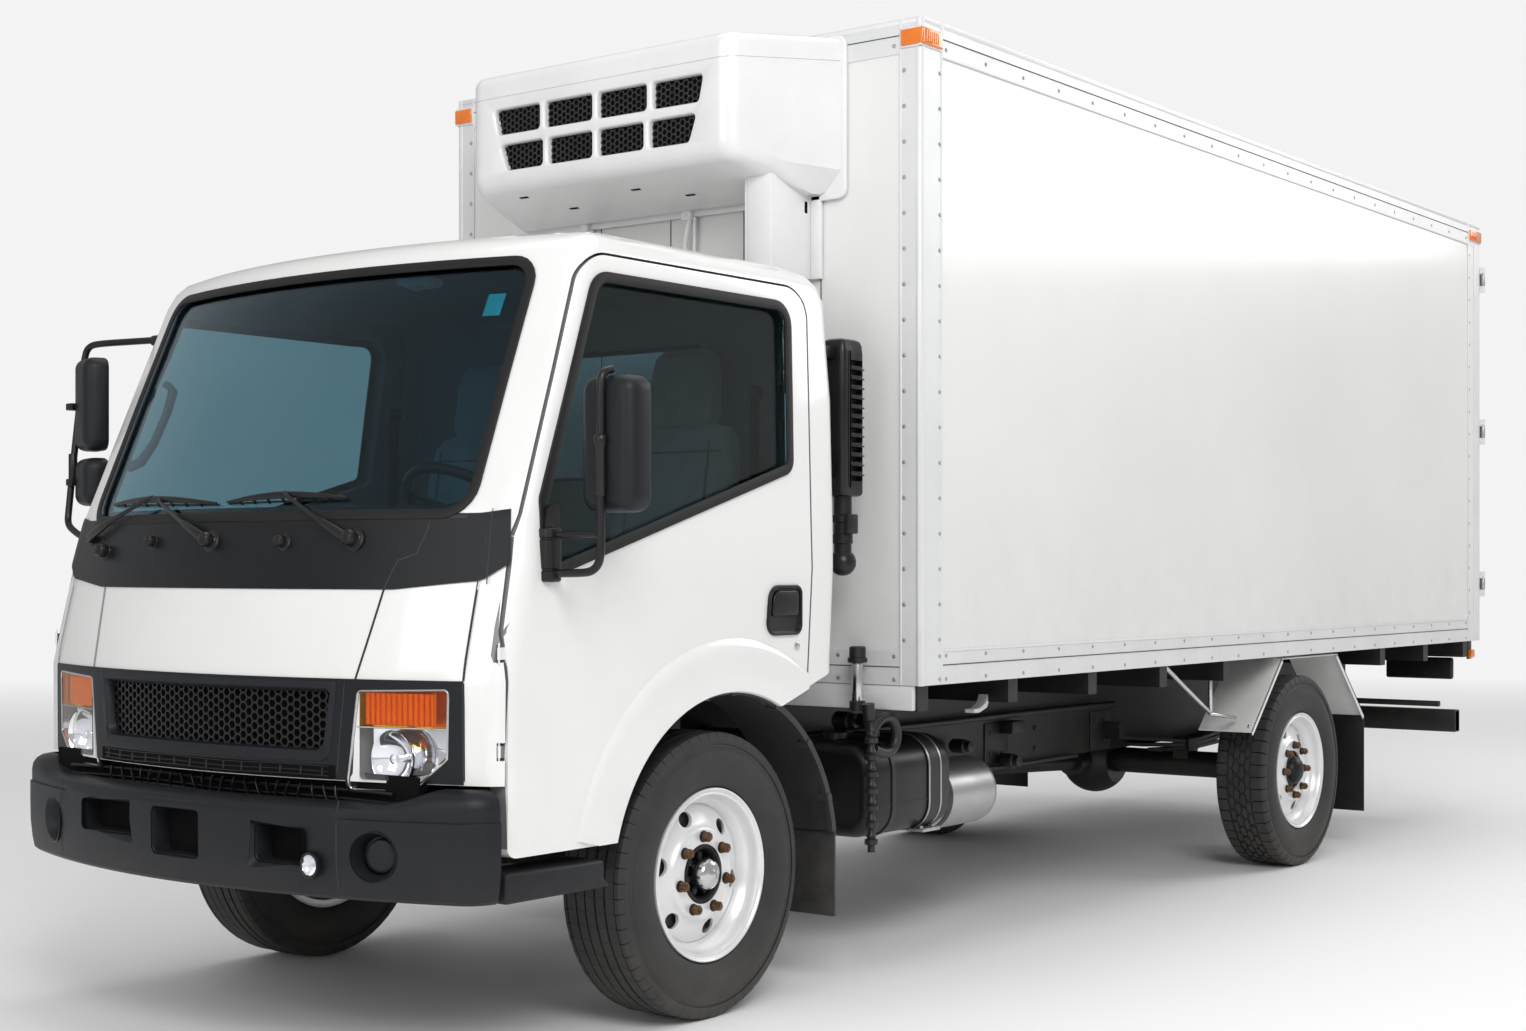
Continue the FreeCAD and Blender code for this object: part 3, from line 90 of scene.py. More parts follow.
BOX_HALF, BOX_LOW, BOX_HIGH = RAILS_HIGH.x, RAILS_LOW.z, RAILS_HIGH.z
CAB_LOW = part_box("cab_front_panel")[0].z
# Flat pieces are drawn on these planes, clear of the cab, before they are laid on it.
AHEAD_OF_CAB, BESIDE_CAB, BEHIND_CAB = -1.4, 1.3, 1.2

SIDES = (("left", 1), ("right", -1))
FRONT, BACK, UP = Vector((0, -1, 0)), Vector((0, 1, 0)), Vector((0, 0, 1))


def at(x, y, z):
    return Vector((x, y + AXLE_Y, z))


def ahead(a, b):
    """Place in front of the cab at X = a, Z = b."""
    return at(a, AHEAD_OF_CAB, b)


# ---- modelling helpers
def clear_selection():
    if bpy.context.object and bpy.context.object.mode != "OBJECT":
        bpy.ops.object.mode_set(mode="OBJECT")
    bpy.ops.object.select_all(action="DESELECT")


def only(obj):
    """Selects this object alone."""
    clear_selection()
    obj.select_set(True)
    bpy.context.view_layer.objects.active = obj


def named(name):
    """Names the object just made, and its mesh."""
    obj = bpy.context.object
    obj.name = name
    obj.data.name = name
    return obj


def settle(obj):
    """Puts the object's place, turn and size into its mesh."""
    only(obj)
    bpy.ops.object.transform_apply(location=True, rotation=True, scale=True)
    return obj


def modify(obj, kind, **settings):
    """Adds a modifier and applies it."""
    only(obj)
    modifier = obj.modifiers.new(kind.title(), kind)
    for key, value in settings.items():
        setattr(modifier, key, value)
    bpy.ops.object.modifier_apply(modifier=modifier.name)
    return obj


def round_edges(obj, width, segments=2, angle=35):
    return modify(obj, "BEVEL", width=width, segments=segments, limit_method="ANGLE",
        angle_limit=math.radians(angle), use_clamp_overlap=True)


def smooth(obj, angle=35):
    only(obj)
    bpy.ops.object.shade_smooth_by_angle(angle=math.radians(angle))
    return obj


def combine(obj, operation, *tools):
    for tool in tools:
        turn_out(tool)
        modify(obj, "BOOLEAN", operation=operation, object=tool, solver="EXACT")
        bpy.data.objects.remove(tool)
    return obj


def cut(obj, *tools):
    return combine(obj, "DIFFERENCE", *tools)


def common(obj, *tools):
    return combine(obj, "INTERSECT", *tools)


def join(name, *objs):
    clear_selection()
    for obj in objs:
        obj.select_set(True)
    bpy.context.view_layer.objects.active = objs[0]
    bpy.ops.object.join()
    return named(name)


def edit_all(obj, *steps):
    only(obj)
    bpy.ops.object.mode_set(mode="EDIT")
    bpy.ops.mesh.select_all(action="SELECT")
    for step in steps:
        step()
    bpy.ops.object.mode_set(mode="OBJECT")
    return obj


def edit_faces(obj, pick, *steps):
    """Selects the faces whose middle and normal pass the test, then runs the steps."""
    only(obj)
    bpy.context.tool_settings.mesh_select_mode = (False, False, True)
    bpy.ops.object.mode_set(mode="EDIT")
    bpy.ops.mesh.select_all(action="DESELECT")
    bpy.ops.object.mode_set(mode="OBJECT")
    for polygon in obj.data.polygons:
        polygon.select = bool(pick(polygon.center, polygon.normal))
    bpy.ops.object.mode_set(mode="EDIT")
    for step in steps:
        step()
    bpy.ops.object.mode_set(mode="OBJECT")
    return obj


def inset(thickness, depth=0.0, each=False):
    return lambda: bpy.ops.mesh.inset(thickness=thickness, depth=depth, use_individual=each)


def push(offset):
    return lambda: bpy.ops.mesh.extrude_region_move(TRANSFORM_OT_translate={"value": offset})


def face_out():
    """Merges doubles and turns the faces outwards, in edit mode."""
    bpy.ops.mesh.select_all(action="SELECT")
    bpy.ops.mesh.remove_doubles(threshold=0.00002)
    bpy.ops.mesh.normals_make_consistent(inside=False)


def block(name, low, high, bevel=0.0, segments=2):
    """Box between two corners, which may come in any order."""
    clear_selection()
    low, high = (Vector(ends) for ends in zip(*map(sorted, zip(low, high))))
    bpy.ops.mesh.primitive_cube_add(size=1, location=(low + high) / 2)
    obj = named(name)
    obj.scale = high - low
    settle(obj)
    if bevel:
        round_edges(obj, bevel, segments)
    return obj


def bar(name, start, end, radius, sides=24, bevel=0.0):
    clear_selection()
    start, end = Vector(start), Vector(end)
    run = end - start
    bpy.ops.mesh.primitive_cylinder_add(vertices=sides, radius=radius, depth=run.length,
        location=(start + end) / 2, rotation=run.to_track_quat("Z", "Y").to_euler())
    obj = settle(named(name))
    if bevel:
        round_edges(obj, bevel, 2)
    return obj


def lathe(name, profile, centre, axis=(1, 0, 0), steps=64):
    """Closed profile of (along the axis, out from it), spun once round the axis."""
    clear_selection()
    bpy.ops.mesh.primitive_circle_add(vertices=len(profile), radius=1, location=(0, 0, 0))
    obj = named(name)
    axis = Vector(axis).normalized()
    side = axis.orthogonal().normalized()
    if abs(axis.x) > 0.9:
        side = UP
    centre = Vector(centre)
    for vertex, (along, out) in zip(obj.data.vertices, profile):
        vertex.co = centre + axis * along + side * out
    return edit_all(obj, lambda: bpy.ops.mesh.spin(steps=steps, angle=math.tau, center=centre,
        axis=axis), face_out)


def plate(name, edge, place, offset):
    """Flat face whose edge is put in space by place(a, b), made thick along offset."""
    clear_selection()
    bpy.ops.mesh.primitive_circle_add(vertices=len(edge), fill_type="NGON", location=(0, 0, 0))
    obj = named(name)
    for vertex, (a, b) in zip(obj.data.vertices, edge):
        vertex.co = place(a, b)
    return turn_out(edit_all(obj, push(offset), face_out))


def front_plate(name, edge, y0, y1):
    return plate(name, edge, lambda x, z: at(x, y0, z), (0, y1 - y0, 0))


def side_plate(name, edge, x0, x1):
    return plate(name, edge, lambda y, z: at(x0, y, z), (x1 - x0, 0, 0))


def rounded(corners, inset_by=0.0, steps=6):
    """Outline of (a, b, corner radius), anticlockwise, moved inwards by inset_by."""
    points = []
    count = len(corners)
    for i, (a, b, radius) in enumerate(corners):
        here = Vector((a, b))
        before = (Vector(corners[i - 1][:2]) - here).normalized()
        after = (Vector(corners[(i + 1) % count][:2]) - here).normalized()
        inward_a = Vector((before.y, -before.x))
        inward_b = Vector((-after.y, after.x))
        here = here + (inward_a + inward_b) * (inset_by / (1 + inward_a.dot(inward_b)))
        radius = max(radius - inset_by, 0.0) if radius else 0.0
        if radius < 0.001:
            points.append((here.x, here.y))
            continue
        half = before.angle(after) / 2
        centre = here + (before + after).normalized() * (radius / math.sin(half))
        first = here + before * (radius / math.tan(half)) - centre
        turn = math.pi - 2 * half
        for k in range(steps + 1):
            angle = turn * k / steps
            c, s = math.cos(angle), math.sin(angle)
            points.append((centre.x + first.x * c - first.y * s,
                centre.y + first.x * s + first.y * c))
    return points


def tube(name, points, radius, sides=4, bend=True):
    """Round bar through the points."""
    clear_selection()
    bpy.ops.curve.primitive_nurbs_path_add(location=(0, 0, 0))
    obj = named(name)
    curve = obj.data
    curve.splines.clear()
    spline = curve.splines.new("NURBS" if bend else "POLY")
    spline.points.add(len(points) - 1)
    for point, place in zip(spline.points, points):
        point.co = (*place, 1)
    if bend:
        spline.order_u = 3
        spline.use_endpoint_u = True
    curve.bevel_depth = radius
    curve.bevel_resolution = sides
    curve.use_fill_caps = True
    curve.resolution_u = 8
    only(obj)
    bpy.ops.object.convert(target="MESH")
    return edit_all(named(name), face_out)


def array(obj, count, offset):
    return modify(obj, "ARRAY", count=count, use_relative_offset=False, use_constant_offset=True,
        constant_offset_displace=offset)


def copy_of(obj, name):
    only(obj)
    bpy.ops.object.duplicate()
    return named(name)


def moved(obj, offset):
    obj.location = Vector(offset)
    return settle(obj)


def turned(obj, angle, axis, centre):
    obj.data.transform(Matrix.Translation(centre) @ Matrix.Rotation(angle, 4, axis)
        @ Matrix.Translation(-Vector(centre)))
    return obj


def cad_copy(node_name, name):
    """Merged copy of a CAD node's loose triangles."""
    clear_selection()
    source = frame["nodes"][node_name]
    source.hide_viewport = False
    source.select_set(True)
    bpy.context.view_layer.objects.active = source
    bpy.ops.object.duplicate()
    obj = named(name)
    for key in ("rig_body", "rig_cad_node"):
        if key in obj:
            del obj[key]
    obj.parent = None
    obj.data.materials.clear()
    bpy.ops.mesh.customdata_custom_splitnormals_clear()
    return edit_all(obj, lambda: bpy.ops.mesh.remove_doubles(threshold=0.00001))


# ---- finishing a piece
BODY_OF = {n: b for b, ns in frame["record"]["behaviour"]["bodies"].items() for n in ns}


def keep(obj, body, finish_name, replaces=(), angle=35):
    """Makes a piece part of the object: its body, finish, slot and the nodes it stands for."""
    smooth(obj, angle)
    obj.data.materials.clear()
    obj.data.materials.append(FINISHES[finish_name])
    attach(obj, body)
    if replaces:
        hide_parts(*replaces)
    return obj


def line_inside(obj, finish_name, depth=0.007):
    """Second material on the faces that lie inside the cab."""
    form = cab_form()
    obj.data.materials.append(FINISHES[finish_name])
    for face in obj.data.polygons:
        hit, place, *_ = form.closest_point_on_mesh(face.center)
        if hit and (place - face.center).length > depth:
            face.material_index = 1
    return obj


def recast(node_name, name, finish_name, bevel=0.0, angle=30):
    """Smoothly shaded copy that stands for a CAD node."""
    obj = cad_copy(node_name, name)
    if bevel:
        edit_all(obj, lambda: bpy.ops.mesh.dissolve_limited(angle_limit=math.radians(0.3)))
        round_edges(obj, bevel, 2, 40)
    return keep(obj, BODY_OF[node_name], finish_name, (node_name,), angle)


def dress(node_name, finish_name):
    """Gives a CAD node that stays its own finish."""
    obj = frame["nodes"][node_name]
    obj.data.materials.clear()
    obj.data.materials.append(FINISHES[finish_name])


# ---- shader groups
def new_group(name, inputs, outputs):
    tree = bpy.data.node_groups.new(name, "ShaderNodeTree")
    for label, kind, default in inputs:
        socket = tree.interface.new_socket(label, in_out="INPUT", socket_type="NodeSocket" + kind)
        if default is not None:
            socket.default_value = default
    for label, kind in outputs:
        tree.interface.new_socket(label, in_out="OUTPUT", socket_type="NodeSocket" + kind)
    source, sink = tree.nodes.new("NodeGroupInput"), tree.nodes.new("NodeGroupOutput")
    return tree, source.outputs, sink.inputs


def node(tree, kind, links=None, **settings):
    made = tree.nodes.new("ShaderNode" + kind)
    for key, value in settings.items():
        setattr(made, key, value)
    for key, value in (links or {}).items():
        if isinstance(value, bpy.types.NodeSocket):
            tree.links.new(value, made.inputs[key])
        else:
            made.inputs[key].default_value = value
    return made


def grain_group():
    """Fine even grain, as on moulded plastic, leather or sprayed paint."""
    tree, source, sink = new_group("fine_grain", [("Vector", "Vector", None),
        ("Scale", "Float", 400.0), ("Softness", "Float", 0.5)],
        [("Height", "Float"), ("Mask", "Float")])
    noise = node(tree, "TexNoise", {"Vector": source["Vector"], "Scale": source["Scale"],
        "Detail": 2.0, "Roughness": source["Softness"]})
    cells = node(tree, "TexVoronoi", {"Vector": source["Vector"], "Scale": source["Scale"]},
        feature="SMOOTH_F1")
    mix = node(tree, "Math", {0: noise.outputs["Fac"], 1: cells.outputs["Distance"]},
        operation="ADD")
    tree.links.new(mix.outputs[0], sink["Height"])
    tree.links.new(noise.outputs["Fac"], sink["Mask"])
    return tree


def drift_group():
    """Slow change of tone over a surface, from uneven paint, fading and handling."""
    tree, source, sink = new_group("tone_drift", [("Vector", "Vector", None),
        ("Colour", "Color", (1, 1, 1, 1)), ("Other", "Color", (1, 1, 1, 1)),
        ("Scale", "Float", 2.0), ("Amount", "Float", 0.5)],
        [("Colour", "Color"), ("Mask", "Float")])
    noise = node(tree, "TexNoise", {"Vector": source["Vector"], "Scale": source["Scale"],
        "Detail": 5.0, "Roughness": 0.6})
    spread = node(tree, "MapRange", {"Value": noise.outputs["Fac"], "From Min": 0.35,
        "From Max": 0.7})
    amount = node(tree, "Math", {0: spread.outputs[0], 1: source["Amount"]}, operation="MULTIPLY")
    mix = node(tree, "Mix", {"Factor": amount.outputs[0], "A": source["Colour"],
        "B": source["Other"]}, data_type="RGBA")
    tree.links.new(mix.outputs["Result"], sink["Colour"])
    tree.links.new(amount.outputs[0], sink["Mask"])
    return tree


def dirt_group():
    """Road film that thins out with height, broken up by noise."""
    tree, source, sink = new_group("road_film", [("Vector", "Vector", None),
        ("Colour", "Color", (1, 1, 1, 1)), ("Dirt", "Color", (0.2, 0.17, 0.13, 1)),
        ("Bottom", "Float", 0.3), ("Top", "Float", 1.0), ("Amount", "Float", 0.4)],
        [("Colour", "Color"), ("Mask", "Float")])
    height = node(tree, "SeparateXYZ", {"Vector": source["Vector"]})
    fade = node(tree, "MapRange", {"Value": height.outputs["Z"], "From Min": source["Top"],
        "From Max": source["Bottom"]})
    noise = node(tree, "TexNoise", {"Vector": source["Vector"], "Scale": 7.0, "Detail": 8.0,
        "Roughness": 0.7})
    broken = node(tree, "MapRange", {"Value": noise.outputs["Fac"], "From Min": 0.3,
        "From Max": 0.75})
    both = node(tree, "Math", {0: fade.outputs[0], 1: broken.outputs[0]}, operation="MULTIPLY")
    amount = node(tree, "Math", {0: both.outputs[0], 1: source["Amount"]}, operation="MULTIPLY")
    mix = node(tree, "Mix", {"Factor": amount.outputs[0], "A": source["Colour"],
        "B": source["Dirt"]}, data_type="RGBA")
    tree.links.new(mix.outputs["Result"], sink["Colour"])
    tree.links.new(amount.outputs[0], sink["Mask"])
    return tree


def scratch_group():
    """Fine lines along one direction, as on drawn, brushed or rolled metal."""
    tree, source, sink = new_group("drawn_lines", [("Vector", "Vector", None),
        ("Stretch", "Vector", (1.0, 60.0, 60.0)), ("Scale", "Float", 8.0)],
        [("Height", "Float"), ("Mask", "Float")])
    scale = node(tree, "VectorMath", {0: source["Vector"], 1: source["Stretch"]},
        operation="MULTIPLY")
    noise = node(tree, "TexNoise", {"Vector": scale.outputs[0], "Scale": source["Scale"],
        "Detail": 4.0, "Roughness": 0.6})
    tree.links.new(noise.outputs["Fac"], sink["Height"])
    tree.links.new(noise.outputs["Fac"], sink["Mask"])
    return tree


def weave_group():
    """Crossed threads of seat cloth."""
    tree, source, sink = new_group("cloth_weave", [("Vector", "Vector", None),
        ("Scale", "Float", 260.0)], [("Height", "Float"), ("Mask", "Float")])
    warp = node(tree, "TexWave", {"Vector": source["Vector"], "Scale": source["Scale"],
        "Distortion": 0.6}, bands_direction="X")
    weft = node(tree, "TexWave", {"Vector": source["Vector"], "Scale": source["Scale"],
        "Distortion": 0.6}, bands_direction="Z")
    both = node(tree, "Math", {0: warp.outputs["Fac"], 1: weft.outputs["Fac"]}, operation="MAXIMUM")
    noise = node(tree, "TexNoise", {"Vector": source["Vector"], "Scale": 90.0, "Detail": 3.0})
    tree.links.new(both.outputs[0], sink["Height"])
    tree.links.new(noise.outputs["Fac"], sink["Mask"])
    return tree


GROUPS = {}


def group_node(tree, name, links):
    return node(tree, "Group", links, node_tree=GROUPS[name])


def finish(name, colour, rough=0.4, other=None, drift=(2.0, 0.5), dirt=None, grain=None, lines=None,
        weave=None, rough_spread=0.08, **sockets):
    """Painted, moulded or metal finish.  other: second tone; drift: its scale and amount;
    dirt: bottom, top and amount of road film; grain: scale and depth in mm; lines: stretch
    and depth in mm; weave: scale and depth in mm; sockets: plain values of the shader."""
    material = bpy.data.materials.new(name)
    material.use_nodes = True
    tree = material.node_tree
    tree.nodes.clear()
    output = tree.nodes.new("ShaderNodeOutputMaterial")
    shader = tree.nodes.new("ShaderNodeBsdfPrincipled")
    tree.links.new(shader.outputs[0], output.inputs["Surface"])
    place = tree.nodes.new("ShaderNodeTexCoord").outputs["Object"]
    other = other or [c * 0.82 for c in colour]
    tone = group_node(tree, "tone_drift", {"Vector": place, "Colour": (*colour, 1),
        "Other": (*other, 1), "Scale": drift[0], "Amount": drift[1]})
    shade = tone.outputs["Colour"]
    mask = tone.outputs["Mask"]
    if dirt:
        film = group_node(tree, "road_film", {"Vector": place, "Colour": shade, "Bottom": dirt[0],
            "Top": dirt[1], "Amount": dirt[2]})
        shade = film.outputs["Colour"]
        mask = node(tree, "Math", {0: mask, 1: film.outputs["Mask"]}, operation="ADD").outputs[0]
    tree.links.new(shade, shader.inputs["Base Color"])
    spread = node(tree, "MapRange", {"Value": mask, "To Min": rough,
        "To Max": rough + rough_spread})
    tree.links.new(spread.outputs[0], shader.inputs["Roughness"])
    height = None
    if grain:
        height, depth = group_node(tree, "fine_grain", {"Vector": place,
            "Scale": grain[0]}).outputs["Height"], grain[1]
    if lines:
        height, depth = group_node(tree, "drawn_lines", {"Vector": place,
            "Stretch": lines[0]}).outputs["Height"], lines[1]
    if weave:
        height, depth = group_node(tree, "cloth_weave", {"Vector": place,
            "Scale": weave[0]}).outputs["Height"], weave[1]
    if height:
        bump = node(tree, "Bump", {"Height": height, "Strength": 1.0, "Distance": depth / 1000})
        tree.links.new(bump.outputs[0], shader.inputs["Normal"])
    for key, value in sockets.items():
        shader.inputs[key.replace("_", " ").title().replace("Ior", "IOR")].default_value = value
    return material


FINISHES = {}


def glassy(name, colour, rough=0.02, ior=1.5):
    """Clear or tinted glass with a faint film of dust."""
    material = bpy.data.materials.new(name)
    material.use_nodes = True
    tree = material.node_tree
    shader = next(n for n in tree.nodes if n.type == "BSDF_PRINCIPLED")
    place = tree.nodes.new("ShaderNodeTexCoord").outputs["Object"]
    tone = group_node(tree, "tone_drift", {"Vector": place, "Colour": (*colour, 1),
        "Other": (*[c * 0.92 for c in colour], 1), "Scale": 3.0})
    tree.links.new(tone.outputs["Colour"], shader.inputs["Base Color"])
    spread = node(tree, "MapRange", {"Value": tone.outputs["Mask"], "To Min": rough,
        "To Max": rough + 0.03})
    tree.links.new(spread.outputs[0], shader.inputs["Roughness"])
    shader.inputs["Transmission Weight"].default_value = 1.0
    shader.inputs["IOR"].default_value = ior
    return material


def make_finishes():
    """Materials, kept under the short names that the pieces use."""
    GROUPS["fine_grain"] = grain_group()
    GROUPS["tone_drift"] = drift_group()
    GROUPS["road_film"] = dirt_group()
    GROUPS["drawn_lines"] = scratch_group()
    GROUPS["cloth_weave"] = weave_group()
    paint = bpy.context.scene.truck_paint
    f = FINISHES
    f["cab"] = finish("cab_paint", tuple(paint.cab), 0.28, drift=(1.5, 0.25), dirt=(0.4, 1.1, 0.12),
        grain=(600.0, 0.02), coat_weight=1.0, coat_roughness=0.06)
    f["panel"] = finish("box_panel", tuple(paint.panel), 0.34, drift=(0.8, 0.35),
        dirt=(0.9, 1.5, 0.15), grain=(250.0, 0.05), coat_weight=0.5, coat_roughness=0.12)
    f["rail"] = finish("box_rail", tuple(paint.rail), 0.34, drift=(3.0, 0.4),
        dirt=(0.85, 1.2, 0.12), lines=((60.0, 1.0, 60.0), 0.02), metallic=0.12)
    f["unit"] = finish("unit_shell", tuple(paint.unit), 0.3, drift=(3.0, 0.4), grain=(500.0, 0.03),
        coat_weight=0.7, coat_roughness=0.1)
    f["fender"] = finish("fender_sheet", (0.78, 0.78, 0.77), 0.4, drift=(4.0, 0.6),
        dirt=(0.4, 0.95, 0.2), grain=(300.0, 0.05))
    f["frame"] = finish("chassis_paint", (0.007, 0.007, 0.0075), 0.42, other=(0.016, 0.015, 0.014),
        drift=(9.0, 0.7), dirt=(0.2, 0.9, 0.12), grain=(220.0, 0.1))
    f["cast"] = finish("cast_metal", (0.016, 0.016, 0.016), 0.5, other=(0.04, 0.036, 0.032),
        drift=(14.0, 0.8), dirt=(0.3, 0.9, 0.3), grain=(120.0, 0.5))
    f["bumper"] = finish("bumper_plastic", (0.0085, 0.01, 0.013), 0.45,
        other=(0.0125, 0.0145, 0.018), drift=(5.0, 0.5), dirt=(0.4, 0.6, 0.08), grain=(900.0, 0.06),
        specular_ior_level=0.28)
    f["black"] = finish("black_plastic", (0.006, 0.006, 0.0068), 0.32, other=(0.011, 0.011, 0.012),
        drift=(8.0, 0.5), grain=(800.0, 0.05), specular_ior_level=0.4)
    f["guard"] = finish("mudguard_plastic", (0.022, 0.022, 0.0235), 0.5,
        other=(0.034, 0.034, 0.034), drift=(7.0, 0.6), dirt=(0.2, 0.8, 0.25), grain=(700.0, 0.08))
    f["satin"] = finish("satin_black", (0.005, 0.006, 0.008), 0.38, other=(0.009, 0.0105, 0.0135),
        drift=(3.0, 0.5), specular_ior_level=0.3)
    f["rubber"] = finish("seal_rubber", (0.005, 0.005, 0.0052), 0.5, other=(0.009, 0.009, 0.009),
        drift=(10.0, 0.6), grain=(500.0, 0.08), specular_ior_level=0.35)
    f["tyre"] = finish("tyre_rubber", (0.018, 0.018, 0.0185), 0.62, other=(0.034, 0.033, 0.032),
        drift=(12.0, 0.7), dirt=(0.0, 0.3, 0.25), grain=(400.0, 0.12))
    f["wheel"] = finish("wheel_paint", (0.8, 0.8, 0.81), 0.32, other=(0.7, 0.7, 0.7),
        drift=(6.0, 0.5), dirt=(0.1, 0.5, 0.08), grain=(900.0, 0.04), metallic=0.35,
        coat_weight=0.3)
    f["nut"] = finish("rusty_nut", (0.2, 0.11, 0.055), 0.5, other=(0.07, 0.035, 0.018),
        drift=(90.0, 1.0), grain=(700.0, 0.2), metallic=0.65)
    f["bright"] = finish("bright_metal", (0.62, 0.62, 0.62), 0.2, drift=(20.0, 0.5),
        lines=((8.0, 8.0, 8.0), 0.02), metallic=1.0)
    f["chrome"] = finish("lamp_chrome", (0.9, 0.9, 0.92), 0.05, other=(0.8, 0.82, 0.85),
        drift=(8.0, 0.6), rough_spread=0.04, metallic=1.0)
    f["aluminium"] = finish("aluminium", (0.5, 0.5, 0.5), 0.35, drift=(8.0, 0.6),
        lines=((40.0, 1.0, 40.0), 0.05), metallic=0.9)
    f["rivet"] = finish("rivet_steel", (0.42, 0.42, 0.43), 0.32, drift=(60.0, 0.8), metallic=0.6)
    f["brass"] = finish("brass", (0.6, 0.38, 0.12), 0.3, drift=(60.0, 0.6), metallic=1.0)
    f["seam"] = finish("seam_shadow", (0.03, 0.03, 0.032), 0.7, drift=(20.0, 0.5))
    f["lens"] = glassy("lamp_glass", (0.97, 0.98, 1.0))
    f["amber"] = glassy("amber_lens", (1.0, 0.6, 0.08), rough=0.03)
    f["amber_back"] = finish("amber_reflector", (1.0, 0.4, 0.01), 0.2, drift=(20.0, 0.5),
        metallic=0.6)
    f["tail_red"] = finish("tail_lens", (0.45, 0.006, 0.004), 0.15, other=(0.36, 0.004, 0.003),
        drift=(20.0, 0.6), coat_weight=1.0, coat_roughness=0.04)
    f["window"] = glassy("window_glass", (0.3, 0.37, 0.37), rough=0.0, ior=1.3)
    f["screen"] = glassy("windscreen_glass", (0.24, 0.46, 0.57), rough=0.0, ior=1.3)
    f["mirror"] = finish("mirror_glass", (0.75, 0.77, 0.78), 0.03, drift=(6.0, 0.3),
        rough_spread=0.02, metallic=1.0)
    f["seat"] = finish("seat_cloth", (0.34, 0.34, 0.35), 0.9, other=(0.42, 0.42, 0.43),
        drift=(14.0, 0.7), weave=(260.0, 0.5), sheen_weight=0.4)
    f["trim"] = finish("trim_plastic", (0.17, 0.17, 0.175), 0.6, other=(0.21, 0.21, 0.215),
        drift=(8.0, 0.5), grain=(700.0, 0.15))
    f["lining"] = finish("roof_lining", (0.24, 0.245, 0.25), 0.85, drift=(8.0, 0.5),
        grain=(500.0, 0.2))
    f["mat"] = finish("floor_mat", (0.03, 0.03, 0.03), 0.85, other=(0.045, 0.043, 0.04),
        drift=(12.0, 0.7), grain=(300.0, 0.4))
    f["marker"] = finish("marker_lens", (0.85, 0.2, 0.004), 0.2, other=(0.7, 0.14, 0.003),
        drift=(30.0, 0.8), coat_weight=1.0, coat_roughness=0.04)
    f["patch"] = finish("teal_patch", (0.01, 0.3, 0.36), 0.35, other=(0.02, 0.42, 0.45),
        drift=(30.0, 0.8))
    f["patch_pale"] = finish("lamp_diffuser", (0.55, 0.58, 0.58), 0.5, drift=(20.0, 0.5))
    # Near-black, barely shiny finish: painted shade for the insides of recesses, slots and
    # openings.
    f["painted_shade"] = finish("painted_shade_black", (0.004, 0.004, 0.004), 0.8, drift=(12.0, 0.6),
        grain=(250.0, 0.3), specular_ior_level=0.1)


# ---- more shaping helpers
def around(obj, count, centre, axis="X"):
    """Repeats the object round an axis through centre."""
    turn = Matrix.Translation(centre) @ Matrix.Rotation(math.tau / count, 4, axis)
    turn = turn @ Matrix.Translation(-Vector(centre))
    clear_selection()
    bpy.ops.object.empty_add()
    guide = bpy.context.object
    guide.matrix_world = turn
    bpy.context.view_layer.update()
    modify(obj, "ARRAY", count=count, use_relative_offset=False, use_object_offset=True,
        offset_object=guide)
    bpy.data.objects.remove(guide)
    return obj


def cab_form():
    """Plain outer form of the whole cab, which trims on it are laid over."""
    obj = bpy.data.objects.get("cab_form")
    if obj:
        return obj
    parts = [cad_copy(n, "form_" + n) for n in ("cab_front_panel", "cab_roof", "cab_back_panel",
        "door_left", "door_right")]
    obj = join("cab_form", *parts)
    return edit_all(obj, lambda: bpy.ops.mesh.convex_hull(), face_out)


CAB_BEND, BAND_TURN = 0.8, 41


def round_cab(u, z, proud):
    """Place on the cab's front, or past CAB_BEND on its rounded corner, at width u."""
    side = math.copysign(1, u)
    if abs(u) <= CAB_BEND:
        return on_front(u, z, proud)
    angle = math.radians(BAND_TURN) * (abs(u) - CAB_BEND) / 0.097
    way = Vector((side * math.sin(angle), -math.cos(angle), 0))
    start = at(side * CAB_BEND, -0.7, z)
    return cab_form().ray_cast(start + way * 2, -way)[1] + way * proud


def turn_to(obj, facing):
    """Turns an open sheet's faces to the side given."""
    if sum((p.normal * p.area for p in obj.data.polygons), Vector()).dot(facing) < 0:
        edit_all(obj, lambda: bpy.ops.mesh.flip_normals())
    return obj


def laid_on(obj, facing, proud, thickness):
    """Lays a flat piece on the cab's form from the side it faces, and gives it a thickness."""
    facing = Vector(facing)
    turn_to(obj, facing)
    form = cab_form()
    for vertex in obj.data.vertices:
        hit, place, *_ = form.ray_cast(vertex.co + facing * 2, -facing)
        if hit:
            vertex.co = place + facing * proud
        vertex.select = not hit
    obj.data.update()
    missed = [v.index for v in obj.data.vertices if v.select]
    if missed:
        only(obj)
        bpy.ops.object.mode_set(mode="EDIT")
        bpy.ops.mesh.select_mode(type="VERT")
        bpy.ops.mesh.select_all(action="DESELECT")
        bpy.ops.object.mode_set(mode="OBJECT")
        for index in missed:
            obj.data.vertices[index].select = True
        bpy.ops.object.mode_set(mode="EDIT")
        bpy.ops.mesh.delete(type="VERT")
        bpy.ops.mesh.select_mode(type="FACE")
        bpy.ops.object.mode_set(mode="OBJECT")
    if thickness:
        modify(obj, "SOLIDIFY", thickness=thickness, offset=1.0)
    return obj


